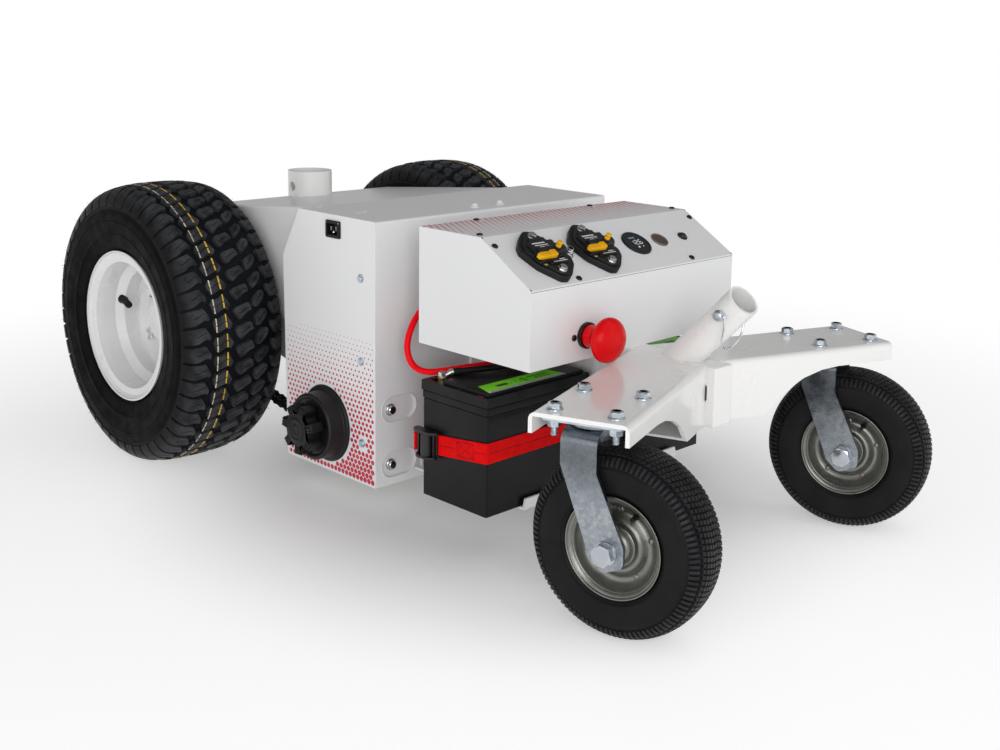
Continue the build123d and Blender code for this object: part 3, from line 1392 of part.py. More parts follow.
def corner_radii(pts, cap=None):
    """Largest tangent arc at each corner: 0.45 of the shorter run over the tangent of half the turn."""
    out = []
    for i in range(1, len(pts) - 1):
        a, b, c = Vector(*pts[i - 1]), Vector(*pts[i]), Vector(*pts[i + 1])
        u, v = b - a, c - b
        half = math.radians(u.get_angle(v)) / 2
        out.append(round(0.45 * min(u.length, v.length) / math.tan(half), 2))
    return out


def route(pts):
    return [(x, Y0 + y, z) for x, y, z in pts]


def cable_body(pts):
    with BuildPart() as piece:
        pts = route(pts)
        radii = corner_radii(pts)
        print("cable radii", [round(r, 1) for r in radii])
        d = Vector(*pts[1]) - Vector(*pts[0])
        with BuildLine() as path:
            FilletPolyline(*pts, radius=radii)
        print("cable length", round(path.wire().length, 1))
        with BuildSketch(Plane(origin=pts[0], z_dir=d)):
            Circle(CABLE_R)
        sweep()
    return piece


TIL = terminal_xy(-1, 1)                    # inner terminal of the left battery
TOL = terminal_xy(-1, 0)
TIR = terminal_xy(1, 1)
TOR = terminal_xy(1, 0)
RED = [(-150.0, -62.5, 330.0), (-150.0, -42.0, 330.0), (-165.0, -32.0, 318.5), (-188.0, -31.0, 299.0),
       (-205.0, -33.0, 276.0), (-212.5, -37.0, 252.0), (-209.5, -47.0, 231.5), (-202.0, -66.0, 225.5),
       (-189.0, -90.0, 231.0), (-164.0, -113.0, 236.5), (-128.0, -126.0, 237.5), (-92.0, -125.0, 236.5),
       (-64.0, -114.5, 235.2)]
RED_UP = [(64.0, -114.5, 235.2), (84.0, -120.0, 236.0), (104.0, -130.0, 238.0), (116.0, -143.0, 245.0),
          (119.0, -150.0, 257.0), (119.0, -150.0, 271.3)]
BLACK_UP = [(-197.0, -112.5, 235.2), (-178.0, -121.0, 235.6), (-150.0, -134.0, 236.0), (-121.0, -143.0, 236.6),
            (-93.0, -149.0, 239.5), (-74.0, -150.5, 247.0), (-66.0, -150.0, 258.5), (-66.0, -150.0, 271.3)]
BLACK_BACK = [(150.0, -62.5, 330.0), (150.0, -42.0, 330.0), (165.0, -32.0, 318.5), (188.0, -31.0, 299.0),
              (205.0, -33.0, 276.0), (213.0, -38.0, 252.0), (214.0, -54.0, 233.0), (211.5, -76.0, 229.8),
              (209.5, -94.5, 230.6)]

loop_cable = cable_body(RED)
riser_cable = cable_body(RED_UP)
with BuildPart() as cable_red:
    add(loop_cable.part)
    add(riser_cable.part)
save(cable_red, "cable_red")

left_cable = cable_body(BLACK_UP)
return_cable = cable_body(BLACK_BACK)
with BuildPart() as cable_black:
    add(left_cable.part)
    add(return_cable.part)
save(cable_black, "cable_black")
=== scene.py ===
import math
import random
import bmesh
import bpy
from mathutils import Matrix, Vector
from mathutils.geometry import delaunay_2d_cdt


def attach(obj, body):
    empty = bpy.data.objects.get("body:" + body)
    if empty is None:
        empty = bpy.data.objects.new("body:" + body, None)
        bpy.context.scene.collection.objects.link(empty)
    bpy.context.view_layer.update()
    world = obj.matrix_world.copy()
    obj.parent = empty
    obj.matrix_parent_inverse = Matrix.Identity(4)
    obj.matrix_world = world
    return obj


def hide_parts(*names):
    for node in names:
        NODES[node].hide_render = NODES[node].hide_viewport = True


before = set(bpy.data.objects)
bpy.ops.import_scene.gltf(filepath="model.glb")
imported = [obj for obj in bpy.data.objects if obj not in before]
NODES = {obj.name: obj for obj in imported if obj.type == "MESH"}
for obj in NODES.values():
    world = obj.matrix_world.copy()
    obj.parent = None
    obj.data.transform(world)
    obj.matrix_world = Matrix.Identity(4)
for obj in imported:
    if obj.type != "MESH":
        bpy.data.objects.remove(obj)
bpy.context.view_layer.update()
Y0 = -58.63                      # design Y to row Y, mm
RND = random.Random(7)


def D(x, y, z):
    """Design millimetres to the row frame in metres."""
    return Vector((x / 1000.0, (y + Y0) / 1000.0, z / 1000.0))


# ---------------------------------------------------------------- camera
def make_camera():
    yaw, pitch, roll = math.radians(45.9184), math.radians(9.2340), math.radians(1.0937)
    fw = Vector((math.sin(yaw) * math.cos(pitch), math.cos(yaw) * math.cos(pitch), -math.sin(pitch)))
    rt = fw.cross(Vector((0, 0, 1))).normalized()
    up = rt.cross(fw)
    r2 = rt * math.cos(roll) + up * math.sin(roll)
    u2 = -rt * math.sin(roll) + up * math.cos(roll)
    cam = bpy.data.cameras.new("view")
    cam.lens, cam.sensor_width, cam.sensor_fit = 45.74, 36.0, "HORIZONTAL"
    cam.shift_x, cam.shift_y = -0.0373, -0.1366
    cam.clip_start, cam.clip_end = 0.05, 200.0
    ob = bpy.data.objects.new("view", cam)
    m = Matrix.Identity(4)
    for i, c in enumerate((r2, u2, -fw)):
        for k in range(3):
            m[k][i] = c[k]
    m.translation = Vector((-1.3157, -1.41173, 0.6913))
    ob.matrix_world = m
    bpy.context.scene.collection.objects.link(ob)
    bpy.context.scene.camera = ob


make_camera()


# ---------------------------------------------------------------- materials
def nd(nt, kind, x=0, y=0, **kw):
    n = nt.nodes.new(kind)
    n.location = (x, y)
    for k, v in kw.items():
        setattr(n, k, v)
    return n


def material(name, colour, rough, metallic=0.0, vary=0.04, vary_scale=9.0, second=None,
             grain=(260.0, 0.02), wave=None, rough_vary=0.06, rough_scale=14.0, coat=0.0,
             coat_rough=0.08, sheen=0.0, spec=0.5, speckle=None, edge=None, emit=None, voronoi=None, height=None, painted_axis_shade=None):
    """Principled surface with its own colour variation, roughness variation and bump, all from nodes; optional ramps by
    height and by distance from an axis paint reflection and shade into the colour.

    grain  (scale per metre, strength) of the fine bump
    wave   (scale, strength, axis) of a woven or brushed bump
    edge   colour of worn or lighter edges, from the bevel-like pointiness of the mesh
    """
    m = bpy.data.materials.new(name)
    m.use_nodes = True
    nt = m.node_tree
    nt.nodes.clear()
    out = nd(nt, "ShaderNodeOutputMaterial", 900, 0)
    b = nd(nt, "ShaderNodeBsdfPrincipled", 600, 0)
    nt.links.new(b.outputs["BSDF"], out.inputs["Surface"])
    b.inputs["Metallic"].default_value = metallic
    b.inputs["Specular IOR Level"].default_value = spec
    if coat:
        b.inputs["Coat Weight"].default_value = coat
        b.inputs["Coat Roughness"].default_value = coat_rough
    if sheen:
        b.inputs["Sheen Weight"].default_value = sheen
        b.inputs["Sheen Roughness"].default_value = 0.5
    tc = nd(nt, "ShaderNodeTexCoord", -1000, 0)
    co = tc.outputs["Object"]
    # colour
    n1 = nd(nt, "ShaderNodeTexNoise", -700, 250)
    n1.inputs["Scale"].default_value = vary_scale
    n1.inputs["Detail"].default_value = 6.0
    nt.links.new(co, n1.inputs["Vector"])
    ramp = nd(nt, "ShaderNodeValToRGB", -450, 250)
    c2 = second if second else tuple(max(0.0, c * (1 - 2 * vary)) for c in colour)
    ramp.color_ramp.elements[0].position = 0.35
    ramp.color_ramp.elements[1].position = 0.65
    ramp.color_ramp.elements[0].color = (*c2, 1)
    ramp.color_ramp.elements[1].color = (*colour, 1)
    nt.links.new(n1.outputs["Fac"], ramp.inputs["Fac"])
    col = ramp.outputs["Color"]
    if voronoi:
        scale, dark, amount = voronoi
        v = nd(nt, "ShaderNodeTexVoronoi", -700, 480)
        v.inputs["Scale"].default_value = scale
        nt.links.new(co, v.inputs["Vector"])
        bw = nd(nt, "ShaderNodeSeparateColor", -520, 480)
        nt.links.new(v.outputs["Color"], bw.inputs["Color"])
        mp = nd(nt, "ShaderNodeMapRange", -350, 480)
        mp.inputs["To Min"].default_value = 0.0
        mp.inputs["To Max"].default_value = amount
        nt.links.new(bw.outputs["Red"], mp.inputs["Value"])
        mx = nd(nt, "ShaderNodeMix", -150, 350, data_type="RGBA")
        mx.inputs["B"].default_value = (*dark, 1)
        nt.links.new(mp.outputs["Result"], mx.inputs["Factor"])
        nt.links.new(col, mx.inputs["A"])
        col = mx.outputs["Result"]
    # painted reflection: the colour is multiplied by bands that follow the object's height
    if height:
        sp_ = nd(nt, "ShaderNodeSeparateXYZ", -700, 1200)
        nt.links.new(co, sp_.inputs["Vector"])
        rr = nd(nt, "ShaderNodeMapRange", -500, 1200)
        rr.inputs["From Min"].default_value = height[0][0]
        rr.inputs["From Max"].default_value = height[-1][0]
        nt.links.new(sp_.outputs["Z"], rr.inputs["Value"])
        hr = nd(nt, "ShaderNodeValToRGB", -300, 1200)
        hr.color_ramp.interpolation = "B_SPLINE"
        es = hr.color_ramp.elements
        span = height[-1][0] - height[0][0]
        es[0].position, es[0].color = 0.0, (*[height[0][1]] * 3, 1)
        es[1].position, es[1].color = 1.0, (*[height[-1][1]] * 3, 1)
        for hz, hv in height[1:-1]:
            es.new((hz - height[0][0]) / span).color = (hv, hv, hv, 1)
        nt.links.new(rr.outputs["Result"], hr.inputs["Fac"])
        mm = nd(nt, "ShaderNodeMix", -50, 900, data_type="RGBA", blend_type="MULTIPLY")
        mm.inputs["Factor"].default_value = 1.0
        nt.links.new(col, mm.inputs["A"])
        nt.links.new(hr.outputs["Color"], mm.inputs["B"])
        col = mm.outputs["Result"]
    if painted_axis_shade:
        # painted shade: darkens the colour by the distance from the wheel's axis, so the tread goes dark towards its
        # shoulders: (y, z, radius and tone inside, radius and tone outside)
        sp_ = nd(nt, "ShaderNodeSeparateXYZ", -900, 1500)
        nt.links.new(co, sp_.inputs["Vector"])
        sq = []
        for axis, centre in (("Y", painted_axis_shade[0]), ("Z", painted_axis_shade[1])):
            s0 = nd(nt, "ShaderNodeMath", -700, 1500, operation="SUBTRACT")
            nt.links.new(sp_.outputs[axis], s0.inputs[0])
            s0.inputs[1].default_value = centre
            s1_ = nd(nt, "ShaderNodeMath", -550, 1500, operation="MULTIPLY")
            nt.links.new(s0.outputs[0], s1_.inputs[0])
            nt.links.new(s0.outputs[0], s1_.inputs[1])
            sq.append(s1_)
        sa = nd(nt, "ShaderNodeMath", -400, 1500, operation="ADD")
        nt.links.new(sq[0].outputs[0], sa.inputs[0])
        nt.links.new(sq[1].outputs[0], sa.inputs[1])
        sr = nd(nt, "ShaderNodeMath", -250, 1500, operation="SQRT")
        nt.links.new(sa.outputs[0], sr.inputs[0])
        rr = nd(nt, "ShaderNodeMapRange", -100, 1500, interpolation_type="SMOOTHSTEP")
        rr.inputs["From Min"].default_value = painted_axis_shade[2][0]
        rr.inputs["From Max"].default_value = painted_axis_shade[3][0]
        rr.inputs["To Min"].default_value = painted_axis_shade[2][1]
        rr.inputs["To Max"].default_value = painted_axis_shade[3][1]
        nt.links.new(sr.outputs[0], rr.inputs["Value"])
        mm = nd(nt, "ShaderNodeMix", 50, 1200, data_type="RGBA", blend_type="MULTIPLY")
        mm.inputs["Factor"].default_value = 1.0
        nt.links.new(col, mm.inputs["A"])
        nt.links.new(rr.outputs["Result"], mm.inputs["B"])
        col = mm.outputs["Result"]
    if speckle:
        scale, scol, cut = speckle
        s = nd(nt, "ShaderNodeTexNoise", -700, 700)
        s.inputs["Scale"].default_value = scale
        s.inputs["Detail"].default_value = 2.0
        nt.links.new(co, s.inputs["Vector"])
        r = nd(nt, "ShaderNodeMapRange", -500, 700)
        r.inputs["From Min"].default_value = cut
        r.inputs["From Max"].default_value = cut + 0.06
        nt.links.new(s.outputs["Fac"], r.inputs["Value"])
        mx = nd(nt, "ShaderNodeMix", 0, 350, data_type="RGBA")
        mx.inputs["B"].default_value = (*scol, 1)
        nt.links.new(r.outputs["Result"], mx.inputs["Factor"])
        nt.links.new(col, mx.inputs["A"])
        col = mx.outputs["Result"]
    if edge:
        g = nd(nt, "ShaderNodeNewGeometry", -700, 950)
        r = nd(nt, "ShaderNodeMapRange", -500, 950)
        r.inputs["From Min"].default_value = 0.56
        r.inputs["From Max"].default_value = 0.68
        r.inputs["To Max"].default_value = 0.75
        nt.links.new(g.outputs["Pointiness"], r.inputs["Value"])
        mx = nd(nt, "ShaderNodeMix", 150, 350, data_type="RGBA")
        mx.inputs["B"].default_value = (*edge, 1)
        nt.links.new(r.outputs["Result"], mx.inputs["Factor"])
        nt.links.new(col, mx.inputs["A"])
        col = mx.outputs["Result"]
    nt.links.new(col, b.inputs["Base Color"])
    if emit:
        b.inputs["Emission Color"].default_value = (*emit[0], 1)
        b.inputs["Emission Strength"].default_value = emit[1]
    # roughness
    n2 = nd(nt, "ShaderNodeTexNoise", -700, -50)
    n2.inputs["Scale"].default_value = rough_scale
    n2.inputs["Detail"].default_value = 5.0
    nt.links.new(co, n2.inputs["Vector"])
    r = nd(nt, "ShaderNodeMapRange", -450, -50)
    r.inputs["From Min"].default_value = 0.3
    r.inputs["From Max"].default_value = 0.7
    r.inputs["To Min"].default_value = max(0.02, rough - rough_vary)
    r.inputs["To Max"].default_value = min(1.0, rough + rough_vary)
    nt.links.new(n2.outputs["Fac"], r.inputs["Value"])
    nt.links.new(r.outputs["Result"], b.inputs["Roughness"])
    # bump
    n3 = nd(nt, "ShaderNodeTexNoise", -700, -350)
    n3.inputs["Scale"].default_value = grain[0]
    n3.inputs["Detail"].default_value = 3.0
    nt.links.new(co, n3.inputs["Vector"])
    bp = nd(nt, "ShaderNodeBump", 300, -350)
    bp.inputs["Strength"].default_value = grain[1]
    bp.inputs["Distance"].default_value = 0.002
    nt.links.new(n3.outputs["Fac"], bp.inputs["Height"])
    if wave:
        w = nd(nt, "ShaderNodeTexWave", -700, -600, wave_type="BANDS", bands_direction=wave[2])
        w.inputs["Scale"].default_value = wave[0]
        w.inputs["Distortion"].default_value = 1.2
        nt.links.new(co, w.inputs["Vector"])
        bp2 = nd(nt, "ShaderNodeBump", 450, -500)
        bp2.inputs["Strength"].default_value = wave[1]
        bp2.inputs["Distance"].default_value = 0.0008
        nt.links.new(w.outputs["Fac"], bp2.inputs["Height"])
        nt.links.new(bp.outputs["Normal"], bp2.inputs["Normal"])
        nt.links.new(bp2.outputs["Normal"], b.inputs["Normal"])
    else:
        nt.links.new(bp.outputs["Normal"], b.inputs["Normal"])
    return m


WHITE = (0.775, 0.778, 0.785)
M = {
    "white": material("powder_white", WHITE, 0.34, vary=0.004, vary_scale=4, grain=(520, 0.030),
                      rough_vary=0.015, coat=0.15, coat_rough=0.16, spec=0.4),
    "frame": material("powder_white_frame", (0.85, 0.845, 0.83), 0.26, vary=0.006, vary_scale=6, grain=(360, 0.025),
                      rough_vary=0.02, coat=0.40, coat_rough=0.05, spec=0.42),
    "rim_white": material("rim_white", (0.72, 0.725, 0.72), 0.28, vary=0.03, vary_scale=12, grain=(300, 0.05),
                          rough_vary=0.08, coat=0.3, coat_rough=0.12),
    "plastic": material("moulded_black", (0.010, 0.010, 0.011), 0.42, second=(0.006, 0.006, 0.007), grain=(900, 0.10),
                        rough_vary=0.08, spec=0.30),
    "knob": material("knob_black", (0.007, 0.007, 0.008), 0.44, second=(0.004, 0.004, 0.005), grain=(1100, 0.16),
                     rough_vary=0.08, spec=0.24),
    "case": material("battery_case", (0.009, 0.009, 0.010), 0.34, second=(0.005, 0.005, 0.006), grain=(1300, 0.10),
                     rough_vary=0.07, rough_scale=30, spec=0.19),
    "rubber": material("rubber_black", (0.008, 0.008, 0.008), 0.55, grain=(700, 0.1), spec=0.2),
    # the tread's colour is darkened towards its shoulders by the distance from the axle, a painted shade
    "tread": material("tyre_tread_shoulder_shade", (0.050, 0.0515, 0.055), 0.44, second=(0.016, 0.0168, 0.019), vary_scale=60,
                      grain=(520, 0.22), rough_vary=0.12, rough_scale=60, spec=0.13,
                      painted_axis_shade=(0.40987, 0.2225, (0.193, 0.05), (0.2195, 1.0))),
    "groove": material("tyre_groove", (0.0045, 0.0055, 0.009), 0.62, second=(0.003, 0.0035, 0.006), vary_scale=60,
                       grain=(600, 0.2), spec=0.14),
    "sidewall": material("tyre_sidewall", (0.0022, 0.0022, 0.0025), 0.60, second=(0.001, 0.001, 0.0013), vary_scale=30,
                         grain=(900, 0.28), rough_vary=0.10, rough_scale=50, spec=0.07,
                         speckle=(1500, (0.035, 0.035, 0.035), 0.74)),
    "caster_side": material("caster_sidewall", (0.0075, 0.0072, 0.0070), 0.52, second=(0.0045, 0.0044, 0.0043), vary_scale=26,
                            grain=(900, 0.24), rough_vary=0.12, rough_scale=40, spec=0.16),
    "caster_tread": material("caster_tread", (0.020, 0.020, 0.0205), 0.44, second=(0.008, 0.0082, 0.0085), vary_scale=60,
                             grain=(600, 0.2), rough_vary=0.1, rough_scale=70, spec=0.2),
    "cream": material("paint_cream", (0.72, 0.62, 0.48), 0.6, second=(0.42, 0.36, 0.29), vary_scale=160, grain=(900, 0.2)),
    "yellow_line": material("paint_yellow", (0.78, 0.50, 0.03), 0.6, second=(0.50, 0.30, 0.02), vary_scale=160,
                            grain=(900, 0.2)),
    "zinc": material("zinc_plate", (0.62, 0.66, 0.71), 0.30, metallic=1.0, second=(0.47, 0.52, 0.58), vary_scale=70,
                     grain=(500, 0.08), rough_vary=0.10, rough_scale=60),
    "bolt_big": material("zinc_axle_bolt", (0.60, 0.62, 0.64), 0.20, metallic=1.0, second=(0.46, 0.49, 0.53), vary_scale=45,
                         grain=(600, 0.05), rough_vary=0.06, rough_scale=90),
    "bolt": material("zinc_bolt", (0.62, 0.66, 0.70), 0.24, metallic=1.0, second=(0.44, 0.49, 0.54), vary_scale=120,
                     grain=(700, 0.12), rough_vary=0.10, rough_scale=160),
    # the fork's colour carries a painted reflection: light low down, a dark band high up, lighter again at the top
    "fork": material("zinc_fork_painted_reflection", (0.40, 0.43, 0.45), 0.27, metallic=1.0, second=(0.30, 0.33, 0.36), vary_scale=18,
                     height=[(0.08, 1.35), (0.13, 1.2), (0.175, 0.95), (0.21, 0.42), (0.235, 0.62), (0.262, 1.0)],
                     grain=(420, 0.05), rough_vary=0.10, rough_scale=40, voronoi=(210, (0.20, 0.23, 0.275), 0.6)),
    "chrome": material("bright_wire", (0.80, 0.81, 0.83), 0.12, metallic=1.0, second=(0.66, 0.68, 0.72), vary_scale=90,
                       grain=(300, 0.03)),
    "steel": material("steel", (0.42, 0.42, 0.43), 0.34, metallic=1.0, second=(0.30, 0.30, 0.31), vary_scale=40,
                      grain=(800, 0.1), wave=(420, 0.05, "X")),
    "dark_steel": material("oiled_steel", (0.065, 0.065, 0.07), 0.36, metallic=1.0, second=(0.035, 0.035, 0.04),
                           vary_scale=70, grain=(700, 0.15), rough_vary=0.12),
    "chain": material("chain_steel", (0.035, 0.034, 0.035), 0.38, metallic=0.85, second=(0.016, 0.016, 0.017),
                      vary_scale=120, grain=(800, 0.15), rough_vary=0.12),
    "rim_steel": material("rim_lacquer", (0.225, 0.225, 0.205), 0.30, metallic=0.85, second=(0.185, 0.185, 0.168),
                          vary_scale=60, grain=(2600, 0.10), rough_vary=0.07, rough_scale=50, coat=0.35, coat_rough=0.12),
    "brass": material("brass", (0.62, 0.44, 0.17), 0.28, metallic=1.0, second=(0.48, 0.33, 0.12), vary_scale=90,
                      grain=(700, 0.08)),
    "tin": material("tinned_terminal", (0.66, 0.66, 0.64), 0.30, metallic=1.0, second=(0.5, 0.5, 0.48), vary_scale=90,
                    grain=(700, 0.08)),
    "alu": material("cast_aluminium", (0.50, 0.51, 0.52), 0.42, metallic=1.0, second=(0.40, 0.41, 0.42), vary_scale=40,
                    grain=(500, 0.2), rough_vary=0.1),
    "red": material("stop_red", (0.72, 0.0015, 0.004), 0.28, second=(0.66, 0.0015, 0.004), vary_scale=20,
                    grain=(500, 0.03), coat=0.05, coat_rough=0.06, rough_vary=0.05, spec=0.12),
    "yellow": material("lever_yellow", (0.80, 0.42, 0.002), 0.40, second=(0.70, 0.35, 0.002), vary_scale=40,
                       grain=(700, 0.08), spec=0.22),
    "red_cable": material("cable_red", (0.90, 0.001, 0.008), 0.30, second=(0.84, 0.001, 0.006), vary_scale=30,
                          grain=(500, 0.06), coat=0.0, coat_rough=0.12, spec=0.10),
    "black_cable": material("cable_black", (0.008, 0.008, 0.009), 0.34, second=(0.005, 0.005, 0.006), vary_scale=30,
                            grain=(500, 0.06), spec=0.3),
    "red_ink": material("print_red", (0.56, 0.012, 0.05), 0.40, second=(0.50, 0.010, 0.042), vary_scale=200,
                        grain=(900, 0.05)),
    "grey_print": material("print_white", (0.70, 0.70, 0.68), 0.45, second=(0.6, 0.6, 0.58), vary_scale=300,
                           grain=(900, 0.05)),
    "bare_steel": material("screw_silver", (0.72, 0.72, 0.73), 0.24, metallic=1.0, second=(0.5, 0.5, 0.52),
                           vary_scale=260, grain=(900, 0.08)),
    "black_bolt": material("bolt_blacked", (0.028, 0.028, 0.031), 0.32, metallic=0.6, second=(0.016, 0.016, 0.018),
                           vary_scale=200, grain=(900, 0.1)),
}


def paint(name, *mats):
    ob = NODES[name]
    me = ob.data
    if len(me.materials) == 0:
        for m in mats:
            me.materials.append(m)
    else:
        for i in range(len(ob.material_slots)):
            ob.material_slots[i].material = mats[min(i, len(mats) - 1)]


PAINT = {
    "white": ["main_cover", "side_panel_left", "side_panel_right", "axle_cover", "control_box_body", "control_box_lid"],
    "frame": ["chassis_frame", "receiver_tube", "neck_tube", "arm_left", "arm_right", "handle_socket", "battery_trays"],
    "rim_white": ["drive_rim_left", "drive_rim_right", "drive_hubs"],
    "dark_steel": ["axle_bearings", "axle_sprocket", "drive_sprocket"],
    "chain": ["drive_chain"],
    "alu": ["gearbox", "motor_controller"],
    "plastic": ["motor_drum", "charger_inlet", "strap_buckles", "breaker_bodies", "volt_gauge", "panel_indicators", "estop_switch",
                "drive_motor"],
    "knob": ["clutch_knob"],
    "case": ["battery_left", "battery_right"],
    "rubber": ["cable_grommets"],
    "tin": ["battery_terminals"],
    "bolt": ["cover_screws", "caster_bolts", "wheel_nuts", "caster_left_axle", "caster_right_axle"],
    "zinc": ["lock_pin", "caster_plates"],
    "fork": ["caster_left_fork", "caster_right_fork"],
    "chrome": ["pin_bail"],
    "steel": ["rear_axle"],
    "rim_steel": ["caster_left_rim", "caster_right_rim"],
    "red": ["estop_button"],
    "yellow": ["breaker_left_lever", "breaker_right_lever", "breaker_left_button", "breaker_right_button"],
    "red_cable": ["cable_red", "battery_straps"],
    "black_cable": ["cable_black"],
    "tread": ["drive_tyre_left", "drive_tyre_right", "caster_left_tyre", "caster_right_tyre"],
}
for key, names in PAINT.items():
    for n in names:
        paint(n, M[key])

# ---------------------------------------------------------------- cables
ROUTES = {
    "battery_cable_red": [(-150.0, -62.5, 330.0), (-150.0, -42.0, 330.0), (-165.0, -32.0, 318.5), (-188.0, -31.0, 299.0),
                          (-205.0, -33.0, 276.0), (-212.5, -37.0, 252.0), (-209.5, -47.0, 231.5), (-202.0, -66.0, 225.5),
                          (-189.0, -90.0, 231.0), (-164.0, -113.0, 236.5), (-128.0, -126.0, 237.5), (-92.0, -125.0, 236.5),
                          (-64.0, -114.5, 235.2)],
    "battery_cable_red_riser": [(64.0, -114.5, 235.2), (84.0, -120.0, 236.0), (104.0, -130.0, 238.0), (116.0, -143.0, 245.0),
                                (119.0, -150.0, 257.0), (119.0, -150.0, 271.3)],
    "battery_cable_black": [(-197.0, -112.5, 235.2), (-178.0, -121.0, 235.6), (-150.0, -134.0, 236.0), (-121.0, -143.0, 236.6),
                            (-93.0, -149.0, 239.5), (-74.0, -150.5, 247.0), (-66.0, -150.0, 258.5), (-66.0, -150.0, 271.3)],
    "battery_cable_black_return": [(150.0, -62.5, 330.0), (150.0, -42.0, 330.0), (165.0, -32.0, 318.5), (188.0, -31.0, 299.0),
                                   (205.0, -33.0, 276.0), (213.0, -38.0, 252.0), (214.0, -54.0, 233.0), (211.5, -76.0, 229.8),
                                   (209.5, -94.5, 230.6)],
}
CABLES = [("battery_cable_red", 0.3312, "red_cable", "cable_red"), ("battery_cable_red_riser", 0.0896, "red_cable", "cable_red"),
          ("battery_cable_black", 0.1572, "black_cable", "cable_black"),
          ("battery_cable_black_return", 0.1883, "black_cable", "cable_black")]


def make_cable(name, length, mat, node):
    cu = bpy.data.curves.new(name, "CURVE")
    cu.dimensions = "3D"
    sp = cu.splines.new("NURBS")
    pts = ROUTES[name]
    sp.points.add(len(pts) - 1)
    for p, q in zip(sp.points, pts):
        p.co = (*D(*q), 1.0)
    sp.order_u = 3
    sp.use_endpoint_u = True
    sp.resolution_u = 10
    cu.bevel_depth = 0.0045
    cu.bevel_resolution = 5
    cu.use_fill_caps = True
    cu.materials.append(M[mat])
    ob = bpy.data.objects.new(name, cu)
    bpy.context.scene.collection.objects.link(ob)
    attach(ob, "chassis")
    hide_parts(node)


for c in CABLES:
    make_cable(*c)


# ---------------------------------------------------------------- mesh tools
class Build:
    """Collects faces in design millimetres and turns them into one piece."""

    def __init__(self):
        self.v, self.f, self.m = [], [], []

    def add(self, verts, faces, mat=0):
        b = len(self.v)
        self.v += [tuple(p) for p in verts]
        self.f += [tuple(i + b for i in f) for f in faces]
        self.m += [mat] * len(faces)
        return b

    def make(self, name, mats, body, replaces=(), angle=38, recalc=True):
        me = bpy.data.meshes.new(name)
        me.from_pydata([tuple(D(*p)) for p in self.v], [], self.f)
        for m in mats:
            me.materials.append(M[m] if isinstance(m, str) else m)
        me.polygons.foreach_set("material_index", self.m)
        me.polygons.foreach_set("use_smooth", [True] * len(self.f))
        if recalc:
            bm = bmesh.new()
            bm.from_mesh(me)
            bmesh.ops.recalc_face_normals(bm, faces=bm.faces)
            bm.to_mesh(me)
            bm.free()
        me.set_sharp_from_angle(angle=math.radians(angle))
        me.update()
        ob = bpy.data.objects.new(name, me)
        bpy.context.scene.collection.objects.link(ob)
        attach(ob, body)
        if replaces:
            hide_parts(*replaces)
        return ob


class Frame:
    """A local frame in design millimetres; calling it maps (a, b, c) to a point."""

    def __init__(self, o, ex, ey, ez):
        self.o, self.ex, self.ey, self.ez = (Vector(v) for v in (o, ex, ey, ez))

    def __call__(self, a, b, c=0.0):
        return self.o + self.ex * a + self.ey * b + self.ez * c

    def at(self, a, b, c=0.0, turn=0.0):
        ca, sa = math.cos(turn), math.sin(turn)
        return Frame(self(a, b, c), self.ex * ca + self.ey * sa, self.ey * ca - self.ex * sa, self.ez)


SLOPE_Y, SLOPE_Z = -183.1, 429.9
SLN = (-56.5 / math.hypot(56.5, 91.7), 91.7 / math.hypot(56.5, 91.7))


def slope_frame(x, s, h=0.0):
    """x right, y up the slope, z out of it; s is measured down from the crease."""
    f = Frame((0, SLOPE_Y, SLOPE_Z), (1, 0, 0), (0, SLN[1], -SLN[0]), (0, SLN[0], SLN[1]))
    return f.at(x, -s, h)


def front_frame(x, z, y):
    """On a surface that faces the front: x right, y up, z out (-Y)."""
    return Frame((x, y, z), (1, 0, 0), (0, 0, 1), (0, -1, 0))


def left_frame(y, z, x):
    """On a surface that faces left: x to the front, y up, z out (-X)."""
    return Frame((x, y, z), (0, -1, 0), (0, 0, 1), (-1, 0, 0))


def top_frame(x, y, z):
    return Frame((x, y, z), (1, 0, 0), (0, 1, 0), (0, 0, 1))


def down_frame(x, y, z):
    return Frame((x, y, z), (1, 0, 0), (0, -1, 0), (0, 0, -1))


def lathe(b, fr, prof, n=32, mat=0, mats=None, phase=0.0):
    """Turns a profile of (radius, height) round the frame's z axis. Radius 0 makes a pole."""
    rings = []
    verts = []
    for r, h in prof:
        if r < 1e-6:
            rings.append([len(verts)])
            verts.append(fr(0, 0, h))
        else:
            rings.append(list(range(len(verts), len(verts) + n)))
            for i in range(n):
                a = phase + 2 * math.pi * i / n
                verts.append(fr(r * math.cos(a), r * math.sin(a), h))
    base = b.add(verts, [], mat)
    for k in range(len(rings) - 1):
        p, q = rings[k], rings[k + 1]
        mm = mats[k] if mats else mat
        for i in range(n):
            j = (i + 1) % n
            if len(p) == 1 and len(q) == 1:
                continue
            if len(p) == 1:
                f = (p[0], q[j], q[i])
            elif len(q) == 1:
                f = (p[i], p[j], q[0])
            else:
                f = (p[i], p[j], q[j], q[i])
            b.f.append(tuple(base + x for x in f))
            b.m.append(mm)


def inset(poly, d):
    """Moves a counter-clockwise outline inwards by d."""
    n = len(poly)
    out = []
    for i in range(n):
        p, a, c = Vector(poly[i]), Vector(poly[i - 1]), Vector(poly[(i + 1) % n])
        e1, e2 = (p - a), (c - p)
        if e1.length < 1e-9 or e2.length < 1e-9:
            out.append(tuple(p))
            continue
        e1.normalize()
        e2.normalize()
        n1, n2 = Vector((-e1.y, e1.x)), Vector((-e2.y, e2.x))
        k = max(0.35, 1 + n1.dot(n2))
        out.append(tuple(p + (n1 + n2) * (d / k)))
    return out


def ccw(poly):
    a = sum(poly[i - 1][0] * poly[i][1] - poly[i][0] * poly[i - 1][1] for i in range(len(poly)))
    return list(poly) if a > 0 else list(reversed(poly))


